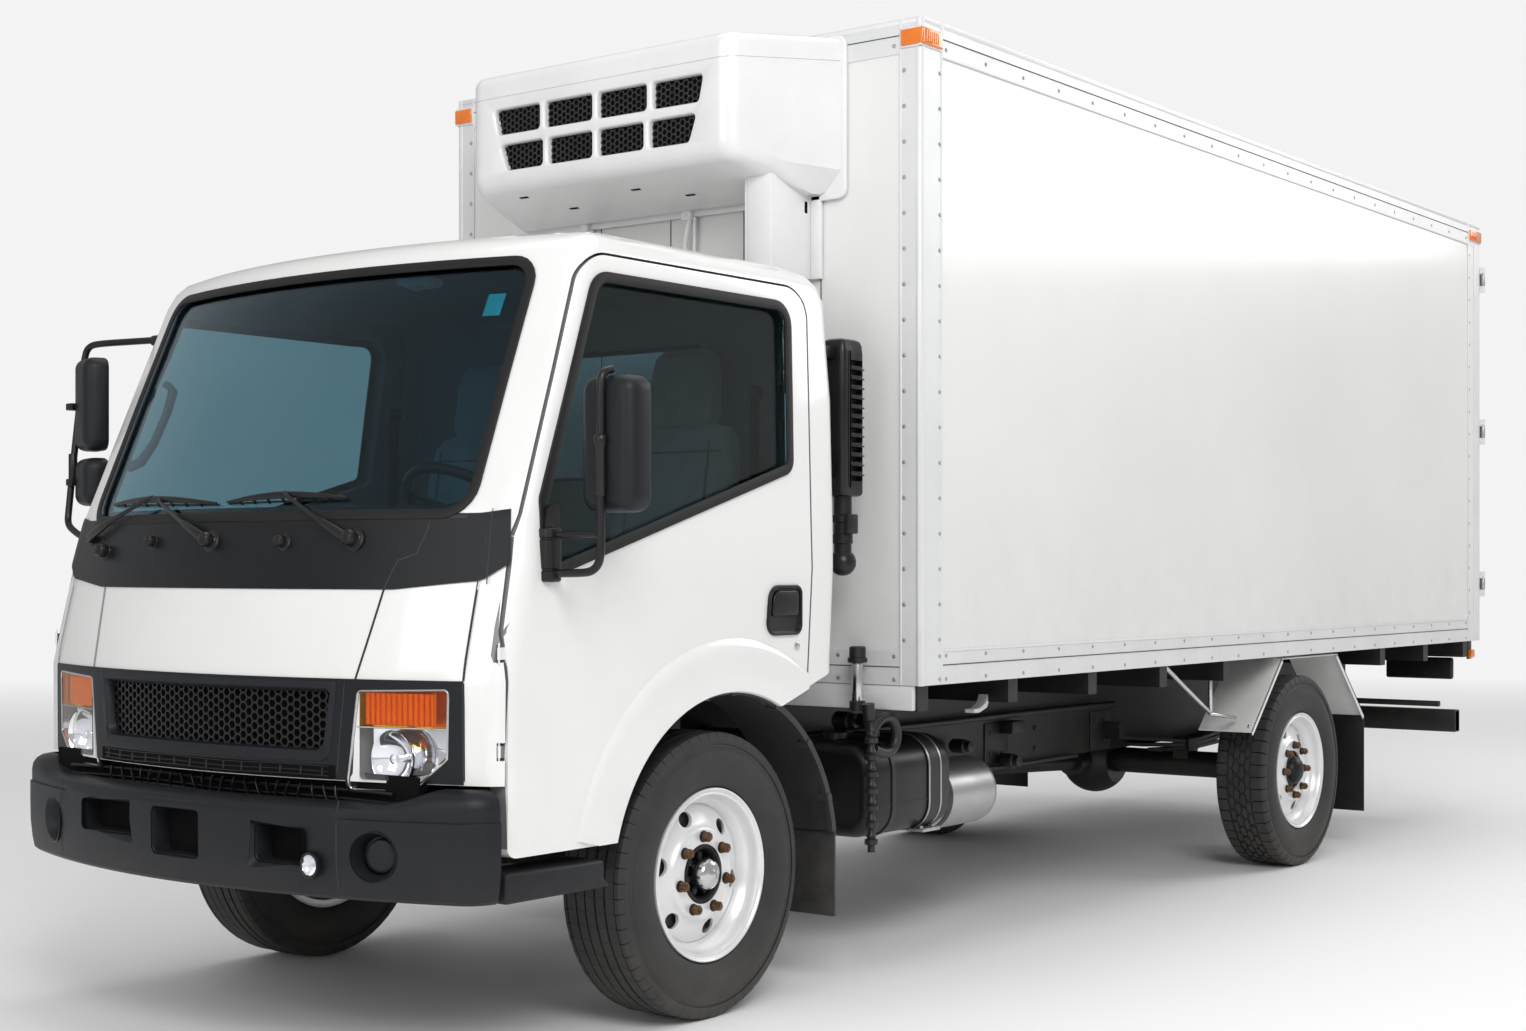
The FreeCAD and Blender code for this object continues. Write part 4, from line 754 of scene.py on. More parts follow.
def loft(name, sections, caps=True, last_cap=False):
    """Skin over closed sections that have as many points each, with its ends filled."""
    count = len(sections[0])
    rows = [list(row) for row in sections]
    if caps:
        rows.insert(0, [sum(rows[0], Vector()) / count] * count)
    if caps or last_cap:
        rows.append([sum(rows[-1], Vector()) / count] * count)
    clear_selection()
    bpy.ops.mesh.primitive_grid_add(x_subdivisions=count, y_subdivisions=len(rows) - 1, size=1)
    obj = named(name)
    for index, vertex in enumerate(obj.data.vertices):
        row, column = divmod(index, count + 1)
        vertex.co = rows[row][column % count]
    edit_all(obj, face_out)
    return turn_out(obj)


def turn_out(obj):
    """Turns the faces outwards where the piece came out inside out."""
    middle = sum((v.co for v in obj.data.vertices), Vector()) / len(obj.data.vertices)
    if sum((p.center - middle).dot(p.normal) * p.area for p in obj.data.polygons) < 0:
        edit_all(obj, lambda: bpy.ops.mesh.flip_normals())
    return obj


def soft_box(half_a, half_b, power, points):
    """Points (a, b) round a rectangle whose corners are rounder the larger the power."""
    row = []
    for k in range(points):
        c, s = math.cos(math.tau * k / points), math.sin(math.tau * k / points)
        row.append((half_a * math.copysign(abs(c) ** power, c),
            half_b * math.copysign(abs(s) ** power, s)))
    return row


def strut(name, points, sizes, face=FRONT, sides=16, square=0.55):
    """Bar through points; sizes are its width and thickness at each of them."""
    points = [Vector(p) for p in points]
    sections = []
    for i, (point, (wide, thick)) in enumerate(zip(points, sizes)):
        run = (points[min(i + 1, len(points) - 1)] - points[max(i - 1, 0)]).normalized()
        across = run.cross(face).normalized()
        out = across.cross(run)
        sections.append([point + across * a + out * b for a, b in soft_box(wide / 2, thick / 2,
            square, sides)])
    return loft(name, sections)


def on_front(a, b, proud=0.0):
    """Place on the cab's front at X = a, Z = b, standing out by proud."""
    return at(a, cab_front_y(a, b) - proud, b)


def shell_rows(corners, levels, place):
    """Sections of a rounded body: each level is (height, how far its outline is drawn in)."""
    return [[place(a, b, height) for a, b in outline(corners, inset_by, 5, 4)]
        for height, inset_by in levels]


def outline(corners, inset_by=0.0, steps=6, cuts=12):
    """Rounded outline whose number of points doesn't change with the inset."""
    corners = [(a, b, max(radius, inset_by + 0.0015)) for a, b, radius in corners]
    ends = rounded(corners, inset_by, steps)
    points = []
    for i, (a, b) in enumerate(ends):
        points.append((a, b))
        if i % (steps + 1) == steps:
            a1, b1 = ends[(i + 1) % len(ends)]
            points += [(a + (a1 - a) * k / cuts, b + (b1 - b) * k / cuts) for k in range(1, cuts)]
    return points


def ring_strip(name, corners, first, second, place):
    """Flat strip between two insets of a rounded outline."""
    return bridge_rings(name, outline(corners, first), outline(corners, second), place)


def ribbon(name, path, width, place, step=0.02):
    """Flat strip of a width along a path of (a, b)."""
    points = []
    for (a0, b0), (a1, b1) in zip(path, path[1:]):
        cuts = max(int(math.hypot(a1 - a0, b1 - b0) / step), 1)
        points += [(a0 + (a1 - a0) * k / cuts, b0 + (b1 - b0) * k / cuts) for k in range(cuts)]
    points.append(path[-1])
    rows = []
    for i, (a, b) in enumerate(points):
        a0, b0 = points[max(i - 1, 0)]
        a1, b1 = points[min(i + 1, len(points) - 1)]
        side = Vector((b0 - b1, a1 - a0)).normalized() * width / 2
        rows.append([place(a + side.x, b + side.y), place(a - side.x, b - side.y)])
    clear_selection()
    bpy.ops.mesh.primitive_grid_add(x_subdivisions=1, y_subdivisions=len(rows) - 1, size=1)
    obj = named(name)
    for index, vertex in enumerate(obj.data.vertices):
        vertex.co = rows[index // 2][index % 2]
    return obj


def trim_to(obj, across, up):
    """Cuts a flat piece off outside a rectangle of X and Z."""
    for axis, (low, high) in ((0, across), (2, up)):
        for value, sign in ((low, -1), (high, 1)):
            place = Vector((0, 0, 0))
            place[axis] = value
            normal = Vector((0, 0, 0))
            normal[axis] = sign
            edit_all(obj, lambda: bpy.ops.mesh.bisect(plane_co=place, plane_no=normal,
                clear_outer=True))
    return obj


def bridge_rings(name, outer, inner, place):
    """Flat strip between two outlines that have as many points."""
    clear_selection()
    bpy.ops.mesh.primitive_circle_add(vertices=len(outer), location=(0, 0, 0))
    obj = named(name)
    for vertex, (a, b) in zip(obj.data.vertices, outer):
        vertex.co = place(a, b)
    bpy.ops.object.duplicate()
    twin = bpy.context.object
    for vertex, (a, b) in zip(twin.data.vertices, inner):
        vertex.co = place(a, b)
    obj = join(name, obj, twin)
    return edit_all(obj, lambda: bpy.ops.mesh.bridge_edge_loops(), face_out)


def flat_grid(name, low, high, plane, cells):
    """Flat rectangle of small faces in the plane XZ or YZ."""
    clear_selection()
    bpy.ops.mesh.primitive_grid_add(x_subdivisions=cells[0], y_subdivisions=cells[1], size=1)
    obj = named(name)
    (a0, b0), (a1, b1) = low, high
    for vertex in obj.data.vertices:
        a = a0 + (vertex.co.x + 0.5) * (a1 - a0)
        b = b0 + (vertex.co.y + 0.5) * (b1 - b0)
        vertex.co = ahead(a, b) if plane == "XZ" else at(BESIDE_CAB, a, b)
    return obj


def mm(*pairs):
    """Pairs given in millimetres, in metres."""
    return [(a / 1000, b / 1000) for a, b in pairs]


# ---- sizes a user may change
class TruckPaint(bpy.types.PropertyGroup):
    cab: bpy.props.FloatVectorProperty(name="Cab", description="Colour of the cab's paint",
        subtype="COLOR", size=3, min=0, max=1, default=(0.8, 0.8, 0.79))
    panel: bpy.props.FloatVectorProperty(name="Box panels", description="Colour of the box's skins",
        subtype="COLOR", size=3, min=0, max=1, default=(0.8, 0.8, 0.79))
    rail: bpy.props.FloatVectorProperty(name="Box rails", description="Colour of the edge strips",
        subtype="COLOR", size=3, min=0, max=1, default=(0.76, 0.765, 0.77))
    unit: bpy.props.FloatVectorProperty(name="Cooling unit", description="Colour of its housing",
        subtype="COLOR", size=3, min=0, max=1, default=(0.82, 0.82, 0.82))


class TruckTrim(bpy.types.PropertyGroup):
    rivet_radius: bpy.props.FloatProperty(name="Rivet radius", description="Heads along the rails",
        unit="LENGTH", default=0.0075, min=0.002)
    rivet_pitch: bpy.props.FloatProperty(name="Rivet pitch", description="Along the long rails",
        unit="LENGTH", default=0.233, min=0.05)
    post_pitch: bpy.props.FloatProperty(name="Post rivet pitch", description="Up the corner posts",
        unit="LENGTH", default=0.11, min=0.05)
    mesh_cell: bpy.props.FloatProperty(name="Grille cell",
        description="Width of one cell of the mesh", unit="LENGTH", default=0.024, min=0.01)
    tread_depth: bpy.props.FloatProperty(name="Tread depth",
        description="Depth of the tyre grooves", unit="LENGTH", default=0.009, min=0.002)
    front_nuts: bpy.props.IntProperty(name="Front wheel nuts", description="Nuts on a front wheel",
        default=7, min=3)
    rear_nuts: bpy.props.IntProperty(name="Rear wheel nuts", description="Nuts on a rear wheel",
        default=8, min=3)


# ---- tyres
# Tyre outline, outer half: distance from the middle plane, then distance in from the tread.
CARCASS = mm((0, 9), (60, 9.5), (84, 12), (96, 19), (103, 30), (106, 40), (108.2, 44), (109.6, 45),
    (108.6, 46.4), (109.4, 52), (110.8, 53), (110, 54.4), (113, 66), (115, 80), (114.6, 95),
    (111, 116), (104, 136), (99, 146), (96, 152), (92, 153.5), (89, 158))
# Tread rows of the front tyre: inner edge, outer edge and blocks round the tyre.
FRONT_ROWS = (((-14, 14), 60), ((20, 47), 60), ((-47, -20), 60), ((53, 82), 60), ((-82, -53), 60))


def tread_block(name, edge, centre, top, depth):
    """One block: its edge of (across, round) in metres, at the top of the wheel."""
    return plate(name, edge, lambda a, b: centre + Vector((a, b, top - depth)), (0, 0, depth))


def shoulder_block(name, centre, side, radius, half):
    """Block that turns over the edge of the tread and ends on the sidewall."""
    section = mm((84, 13), (86, 2.6), (97, 4.5), (104, 14), (108, 30), (107, 36), (102, 30))
    return plate(name, section, lambda a, b: centre + Vector((side * a, -half, radius - b)),
        (0, 2 * half, 0))


def carcass(name, centre):
    bead = 0.0895
    profile = [(a, TYRE_RADIUS - b) for a, b in CARCASS]
    inner = [(a, r) for a, r in ((bead, 0.2225), (0.07, 0.2225), (0.094, 0.29), (0.094, 0.33),
        (0.08, 0.368))]
    loop = profile + inner + [(0, 0.375)] + [(-a, r) for a, r in reversed(inner)]
    loop += [(-a, r) for a, r in reversed(profile[1:])]
    return lathe(name, loop, centre, steps=120)


def wheel_centre(end, side):
    x, y = (FRONT_WHEEL_X, 0) if end == "front" else (REAR_WHEEL_X, WHEELBASE)
    return at(side * x, y, AXLE_Z)


def build_tyre(end, tag, side):
    node_name = "tyre_" + tag
    centre = wheel_centre(end, side)
    depth = bpy.context.scene.truck_trim.tread_depth
    parts = [carcass("carcass", centre)]
    if end == "front":
        for (a0, a1), count in FRONT_ROWS:
            half = math.pi * TYRE_RADIUS / count - 0.0006
            a0, a1 = a0 / 1000, a1 / 1000
            skew = 0.004 if a0 > 0 else -0.004
            top = TYRE_RADIUS - 0.0006 - abs(a0 + a1) * 0.02
            edge = [(a0, -half - skew), (a1, -half + skew), (a1, half + skew), (a0, half - skew)]
            row = tread_block("row", edge, centre, top, depth)
            parts.append(around(row, count, centre))
        for shoulder in (-1, 1):
            half = math.pi * TYRE_RADIUS / 60 - 0.0016
            turned_block = shoulder_block("shoulder", centre, shoulder, TYRE_RADIUS, half)
            parts.append(around(turned_block, 60, centre))
    else:
        pebbles = (((-46, -26), 0.0, 1.0), ((-24, 0), 0.4, 0.9), ((3, 24), 0.75, 1.05),
            ((27, 47), 0.25, 0.95))
        for (a0, a1), phase, stretch in pebbles:
            count = 44
            step = math.tau * TYRE_RADIUS / count
            a0, a1 = a0 / 1000, a1 / 1000
            mid = (a0 + a1) / 2
            half = step / 2 * 0.9 * stretch
            edge = [(a0, -half * 0.45), (mid - 0.003, -half), (a1 - 0.002, -half * 0.7),
                (a1, half * 0.35), (mid + 0.004, half), (a0 + 0.002, half * 0.75)]
            row = tread_block("pebble", edge, centre, TYRE_RADIUS - 0.001, depth)
            turned(row, phase * math.tau / count, "X", centre)
            parts.append(around(row, count, centre))
        for shoulder in (-1, 1):
            half = math.pi * TYRE_RADIUS / 50 - 0.0028
            edge = [(shoulder * a, b) for a, b in ((0.052, -half), (0.089, -half), (0.089, half),
                (0.058, half), (0.052, half * 0.3))]
            row = tread_block("lug", edge, centre, TYRE_RADIUS - 0.0022, depth)
            parts.append(around(row, 50, centre))
            turned_block = shoulder_block("shoulder", centre, shoulder, TYRE_RADIUS, half)
            parts.append(around(turned_block, 50, centre))
    obj = join("rubber_" + tag, *parts)
    edit_all(obj, face_out)
    keep(obj, BODY_OF[node_name], "tyre", (node_name,), 32)


# ---- wheels
# Distance out from the wheel's middle plane, then radius.
RIM = mm((95, 241), (98.5, 240), (99.5, 236.5), (97.5, 233), (94, 231.5), (92.5, 229), (94, 226.5),
    (93, 222.5), (88, 220), (80, 217.5), (66, 214), (58, 208), (46, 197), (34, 193), (16, 191),
    (-30, 191), (-52, 206), (-70, 214), (-93, 218), (-97, 236), (-95, 241), (-90, 240),
    (-88, 222.6), (-60, 222), (-44, 203), (-20, 199), (30, 199), (48, 205), (62, 221.5),
    (88, 222.4), (90, 240))
DISC = mm((30, 192.5), (34, 190), (37, 183), (44, 163), (50, 146), (54, 138), (60, 131.5),
    (65, 128), (67.5, 123), (68, 118), (68, 84), (67, 80), (60, 78.5), (56, 80), (56, 118),
    (50, 128), (40, 142), (28, 180), (24, 191))
HUB_RING = mm((58, 88), (66, 86), (70, 80), (70, 72), (62, 66), (36, 62), (36, 34), (30, 34),
    (30, 88))
CAP = mm((40, 0.4), (108, 0.4), (107.5, 9), (104, 14), (103, 24), (100, 33), (94, 40), (86, 43),
    (60, 44), (58, 40), (40, 40))
DOME = mm((40, 0.4), (105, 0.4), (104, 12), (101, 26), (95, 40), (86, 50), (76, 55), (66, 57),
    (62, 66), (58, 68), (52, 62), (40, 60))


def wheel_lathe(name, profile, centre, side, steps=96):
    return lathe(name, profile, centre, axis=(side, 0, 0), steps=steps)


def build_wheel(end, tag, side):
    node_name = "wheel_" + tag
    trim = bpy.context.scene.truck_trim
    centre = wheel_centre(end, side)
    body = BODY_OF[node_name]

    disc = wheel_lathe("disc", DISC, centre, side)
    hole_centre = centre + Vector((side * 0.02, 0, 0.161))
    hole = bar("hole", hole_centre, hole_centre + Vector((side * 0.06, 0, 0)), 0.021, 24)
    hole.data.transform(Matrix.Translation(hole_centre) @ Matrix.Diagonal((1, 1.22, 1, 1))
        @ Matrix.Translation(-hole_centre))
    turned(hole, math.radians(18), "X", centre)
    cut(disc, around(hole, 6, centre))
    round_edges(disc, 0.0015, 2, 50)
    wheel = join("wheel_face_" + tag, wheel_lathe("rim", RIM, centre, side), disc)
    keep(wheel, body, "wheel", (node_name,), 40)

    count = trim.front_nuts if end == "front" else trim.rear_nuts
    seat = centre + Vector((side * 0.066, 0, 0.104))
    washer = bar("nut_washers_" + tag, seat, seat + Vector((side * 0.006, 0, 0)), 0.0165, 20, 0.001)
    nut = bar("nut", seat + Vector((side * 0.004, 0, 0)), seat + Vector((side * 0.026, 0, 0)),
        0.0145, 6, 0.0018)
    stud = bar("stud", seat, seat + Vector((side * 0.031, 0, 0)), 0.0075, 12, 0.001)
    nuts = join("wheel_nuts_" + tag, nut, stud)
    keep(around(nuts, count, centre), body, "nut", (), 35)
    keep(around(washer, count, centre), body, "black", (), 35)

    if end == "front":
        ring = wheel_lathe("hub_ring_" + tag, HUB_RING, centre, side, 64)
        lug = block("lug", centre + Vector((side * 0.045 - 0.012, -0.009, 0.04)),
            centre + Vector((side * 0.045 + 0.012, 0.009, 0.062)), 0.003)
        hub = join("hub_ring_" + tag, ring, around(lug, 7, centre))
        cap = wheel_lathe("hub_cap_" + tag, CAP, centre, side, 64)
        keep(hub, body, "satin")
        keep(cap, body, "bright")
    else:
        dome = wheel_lathe("hub_dome_" + tag, DOME, centre, side, 64)
        keep(dome, body, "satin")
    drum = wheel_lathe("brake_drum_" + tag, mm((-60, 0.5), (22, 0.5), (24, 30), (26, 120),
        (20, 168), (10, 174), (-60, 176), (-62, 168)), centre, side, 64)
    keep(drum, body, "cast")


# ---- cab
def cab_front_y(x, z):
    """Y of the cab's outer front at a place on it, measured on the plain form."""
    return cab_form().ray_cast(at(x, -3, z), BACK)[1].y - AXLE_Y


def seam(name, path, facing, place, width=0.0035, proud=0.0003):
    """Dark line of a panel joint, laid on the cab along a path of (a, b)."""
    strip = ribbon(name, path, width, place)
    return laid_on(strip, facing, proud, 0)


BAND_LOW, BAND_HIGH = 1.195, 1.386
LID = ((0.538, 0.97), (0.556, 1.08), (0.574, 1.196), (0.6, 1.268), (0.65, 1.286), (0.668, 1.345),
    (0.672, 1.386))
CORNER = ((0.832, 0.727), (0.832, 0.9), (0.83, 1.05), (0.828, 1.196), (0.826, 1.386))


def build_cab_shell():
    for node_name in ("cab_front_panel", "cab_roof", "cab_back_panel"):
        line_inside(recast(node_name, "painted_" + node_name, "cab"), "lining")
    dress("cab_floor", "mat")

    band = flat_grid("windscreen_band", (-0.897, BAND_LOW), (0.897, BAND_HIGH), "XZ", (120, 14))
    for vertex in band.data.vertices:
        u = abs(vertex.co.x)
        share = (BAND_HIGH - vertex.co.z) / (BAND_HIGH - BAND_LOW)
        lift = 0.1 * max(u - 0.6, 0) + 0.55 * max(u - 0.83, 0)
        top = 0.1 * max(u - 0.8, 0)
        vertex.co = round_cab(vertex.co.x, vertex.co.z + lift * share + top * (1 - share), 0.0012)
    turn_to(band, FRONT)
    modify(band, "SOLIDIFY", thickness=0.0022, offset=1.0)
    keep(band, "cab", "satin", (), 30)

    for tag, side in SIDES:
        def place(a, b):
            return ahead(side * a, b)
        lines = [seam("lid", LID, FRONT, place, proud=0.0036),
            seam("corner", CORNER, FRONT, place, proud=0.0036)]
        for path in (LID, CORNER):
            lines.append(seam("low", [(x, z) for x, z in path if z < 1.2], FRONT, place))
        keep(join("panel_seams_" + tag, *lines), "cab", "seam", (), 60)
        line = ribbon("band_split_" + tag, [(0.846, 1.21), (0.842, 1.3), (0.838, 1.398)], 0.003,
            lambda a, b: round_cab(side * a, b, 0.004))
        keep(line, "cab", "seam", (), 60)
    top_gap = seam("band_edge", [(-0.769, 1.378), (0.769, 1.378)], FRONT, ahead, 0.006, 0.0036)
    keep(top_gap, "cab", "seam", (), 60)


WINDSCREEN = [(-0.769, 1.383, 0.07), (0.769, 1.383, 0.07), (0.739, 2.054, 0.07),
    (-0.739, 2.054, 0.07)]
DOOR_WINDOW = [(-0.735, 1.222, 0.045), (0.335, 1.532, 0.045), (0.375, 2.016, 0.06),
    (-0.47, 2.016, 0.075), (-0.722, 1.42, 0.06)]
REAR_WINDOW = [(-0.42, 1.53, 0.06), (0.42, 1.53, 0.06), (0.42, 1.95, 0.06), (-0.42, 1.95, 0.06)]


def seal(name, corners, grow, cover, facing, place, body, thickness=0.006):
    strip = ring_strip(name, corners, -grow, cover, place)
    laid_on(strip, facing, 0.0008, thickness)
    round_edges(strip, thickness * 0.4, 2)
    return keep(strip, body, "rubber", (), 45)


def build_glass():
    recast("cab_glass", "clear_cab_glass", "screen", angle=40)
    for tag in ("left", "right"):
        recast("door_glass_" + tag, "clear_door_glass_" + tag, "window", angle=40)
    seal("windscreen_seal", WINDSCREEN, 0.012, 0.014, FRONT, ahead, "cab")
    seal("rear_window_seal", REAR_WINDOW, 0.012, 0.014, BACK, lambda a, b: at(a, BEHIND_CAB, b),
        "cab")
    for tag, side in SIDES:
        seal("door_window_seal_" + tag, DOOR_WINDOW, 0.008, 0.022, Vector((side, 0, 0)),
            lambda a, b: at(side * BESIDE_CAB, a, b), "cab_door_" + tag, 0.007)
    shade = ring_strip("windscreen_border", WINDSCREEN, 0.012, 0.026, ahead)
    laid_on(shade, FRONT, -0.0145, 0)
    keep(shade, "cab", "satin", (), 45)
    patch = flat_grid("windscreen_patch", (0.625, 1.905), (0.675, 1.965), "XZ", (2, 2))
    laid_on(patch, FRONT, -0.0075, 0)
    keep(patch, "cab", "patch", (), 45)


ARCH_Y, ARCH_STEPS = 0.03, 60
DOOR_BOTTOM = 0.531
# Wheel arch band: radius from the arch's middle, then how far it stands out.
ARCH_PROFILE = ((0.506, -0.004), (0.506, 0.0055), (0.508, 0.0085), (0.513, 0.01), (0.56, 0.011),
    (0.61, 0.0115), (0.634, 0.0105), (0.647, 0.006), (0.655, 0.0002), (0.655, -0.004))


def build_doors():
    for tag, side in SIDES:
        body = "cab_door_" + tag
        line_inside(recast("door_" + tag, "painted_door_" + tag, "cab"), "trim")
        sections = []
        for k in range(ARCH_STEPS + 1):
            angle = math.radians(14 + (152 - 14) * k / ARCH_STEPS)
            sections.append([at(side * (0.93 + out), ARCH_Y - r * math.cos(angle),
                AXLE_Z + r * math.sin(angle)) for r, out in ARCH_PROFILE])
        band = loft("arch_band_" + tag, sections)
        trim = [(-0.7, DOOR_BOTTOM + 0.008), (0.246, DOOR_BOTTOM + 0.008), (0.246, 0.853),
            (0.381, 0.899), (0.41, 1.3), (-0.7, 1.3)]
        common(band, side_plate("trim", trim, side * 0.85, side * 1.05))
        keep(band, body, "cab", (), 30)

        cup_outline = [(0.184, 1.056, 0.036), (0.352, 1.056, 0.03), (0.352, 1.2, 0.026),
            (0.2, 1.2, 0.046)]

        def on_side(a, b):
            return at(side * 0.9285, a, b)
        frame_ring = plate("frame_ring", rounded(cup_outline, 0, 6), on_side, (side * 0.011, 0, 0))
        edit_faces(frame_ring, lambda c, n: n.x * side > 0.9, inset(0.009),
            push((-side * 0.0085, 0, 0)))
        round_edges(frame_ring, 0.0028, 3, 40)
        paddle = plate("paddle", rounded([(0.206, 1.112, 0.012), (0.334, 1.112, 0.012),
            (0.334, 1.184, 0.018), (0.22, 1.184, 0.03)], 0, 5), lambda a, b: at(side * 0.93, a, b),
            (side * 0.0095, 0, 0))
        round_edges(paddle, 0.004, 3, 40)
        keep(join("door_handle_" + tag, frame_ring, paddle), body, "black", (), 35)
        lock = lathe("door_lock_" + tag, mm((0, 0.3), (2.6, 0.3), (2.8, 3.2), (3.6, 3.8),
            (3.6, 9.5), (2.6, 11.5), (0, 12)), at(side * 0.93, 0.334, 1.023), (side, 0, 0), 32)
        keep(lock, body, "bright", (), 35)


def honeycomb(name, low, high, cell, place, thin=0.8):
    """Six-sided rings side by side over a rectangle of (a, b)."""
    radius = cell / math.sqrt(3)
    (a0, b0), (a1, b1) = low, high
    points = [(radius * math.cos(math.radians(60 * k)), radius * math.sin(math.radians(60 * k)))
        for k in range(6)]
    ring = bridge_rings(name, [(a0 + a, b0 + b) for a, b in points],
        [(a0 + thin * a, b0 + thin * b) for a, b in points], place)
    across = radius * 3
    along_a = place(across, 0) - place(0, 0)
    along_b = place(0, cell) - place(0, 0)
    array(ring, int((a1 - a0) / across) + 1, along_a)
    array(ring, int((b1 - b0) / cell) + 1, along_b)
    second = moved(copy_of(ring, name + "_b"), (along_a + along_b) / 2)
    return join(name, ring, second)


def build_grille():
    cell = bpy.context.scene.truck_trim.mesh_cell
    comb = honeycomb("grille_mesh", (-0.45, 0.782), (0.45, 0.955), cell, ahead, 0.78)
    trim_to(comb, (-0.44, 0.44), (0.79, 0.944))
    laid_on(comb, FRONT, -0.022, 0.006)
    keep(comb, "cab", "black", (), 30)
    # Dark sheet behind the mesh: painted shade in the grille's opening.
    grille_shade = flat_grid("grille_shade_sheet", (-0.5, 0.76), (0.5, 0.955), "XZ", (24, 4))
    laid_on(grille_shade, FRONT, -0.03, 0)
    keep(grille_shade, "cab", "painted_shade", (), 30)

    lip = [(0.001, 0.004, -0.004), (0.001, 0.004, 0.004), (0.004, 0.004, 0.006),
        (0.018, 0.016, 0.006), (0.022, 0.02, 0.003), (0.03, 0.022, -0.012), (0.032, 0.024, -0.026)]
    rings = []
    for inset_by, low_by, proud in lip:
        corners = [(-0.462 + inset_by, 0.757 + low_by * 1.6, 0.03),
            (0.462 - inset_by, 0.757 + low_by * 1.6, 0.03),
            (0.486 - inset_by, 0.966 - inset_by, 0.012), (-0.486 + inset_by, 0.966 - inset_by,
            0.012)]
        rings.append([on_front(a, b, proud) for a, b in outline(corners)])
    frame_obj = loft("grille_frame", rings, caps=False)
    keep(frame_obj, "cab", "bumper", ("grille",), 32)

    low_edge = CAB_LOW + 0.002
    face = flat_grid("front_moulding", (-0.831, low_edge), (0.831, 0.972), "XZ", (90, 14))
    laid_on(face, FRONT, 0.0012, 0.002)
    openings = [rounded([(-0.459, 0.764, 0.03), (0.459, 0.764, 0.03), (0.483, 0.963, 0.012),
        (-0.483, 0.963, 0.012)], 0, 5)]
    for tag, side in SIDES:
        corners = LAMP if side > 0 else [(-a, b, r) for a, b, r in reversed(LAMP)]
        openings.append(rounded(corners, -0.004, 4))
    for hole in openings:
        cut(face, front_plate("hole", hole, -1.3, -0.6))
    posts = []
    for x0, z0, x1, z1 in ((-0.484, 0.735, -0.508, 0.962), (0.484, 0.735, 0.508, 0.962)):
        posts.append(laid_on(ribbon("post", [(x0, z0), (x1, z1)], 0.0025, ahead), FRONT, 0.0035, 0))
    keep(face, "cab", "satin", (), 35)
    # Faces below the grille take the near-black finish: a strip of painted shade.
    face.data.materials.append(FINISHES["painted_shade"])
    for polygon in face.data.polygons:
        if polygon.center.z < 0.752 and abs(polygon.center.x) < 0.48:
            polygon.material_index = 1
    keep(join("front_moulding_lines", *posts), "cab", "seam", (), 60)

    deep = -1.02
    # Near-black sheet deep behind the front: painted shade in the space under the cab.
    void = block("front_shade_sheet", at(-0.74, deep + 0.05, 0.64), at(0.74, deep + 0.055, CAB_LOW + 0.02))
    keep(void, "chassis", "painted_shade")
    bits, wires = [], []
    for k in range(14):
        x = -0.44 + 0.88 * k / 13
        bits.append(strut("clip", [on_front(x, 0.748, 0.003), on_front(x, 0.728, 0.004)],
            [(0.007, 0.004)] * 2))
    for z in (0.751, 0.738, 0.727):
        bits.append(strut("wire", [on_front(-0.46 + 0.92 * k / 10, z + 0.0015 * math.sin(5 * k),
            0.004) for k in range(11)], [(0.003, 0.003)] * 11, sides=6))
    for k in range(22):
        x = -0.46 + 0.92 * k / 21
        shift = 0.011 * math.sin(7.3 * k)
        wires.append(tube("wire", [at(x, deep + 0.03, 0.7), at(x + shift, deep + 0.02, 0.672),
            at(x + shift * 2.2, deep + 0.035, 0.65)], 0.0028, 2))
    for z, r in ((0.69, 0.005), (0.668, 0.0035), (0.656, 0.005)):
        wires.append(tube("loom", [at(-0.66, deep + 0.04, z), at(-0.3, deep + 0.03, z + 0.008),
            at(0.05, deep + 0.038, z - 0.006), at(0.4, deep + 0.03, z + 0.005),
            at(0.66, deep + 0.04, z)], r, 3))
    keep(join("front_clips", *bits), "cab", "black")
    keep(join("front_wiring", *wires), "chassis", "black")


LAMP = [(0.517, 0.697, 0.008), (0.694, 0.698, 0.012), (0.788, 0.778, 0.014), (0.792, 0.948, 0.01),
    (0.549, 0.941, 0.01)]
LAMP_OUT = [(0.501, 0.685, 0.012), (0.699, 0.685, 0.016), (0.803, 0.772, 0.016),
    (0.806, 0.962, 0.012), (0.535, 0.955, 0.012)]
LAMP_SPLIT = 0.853


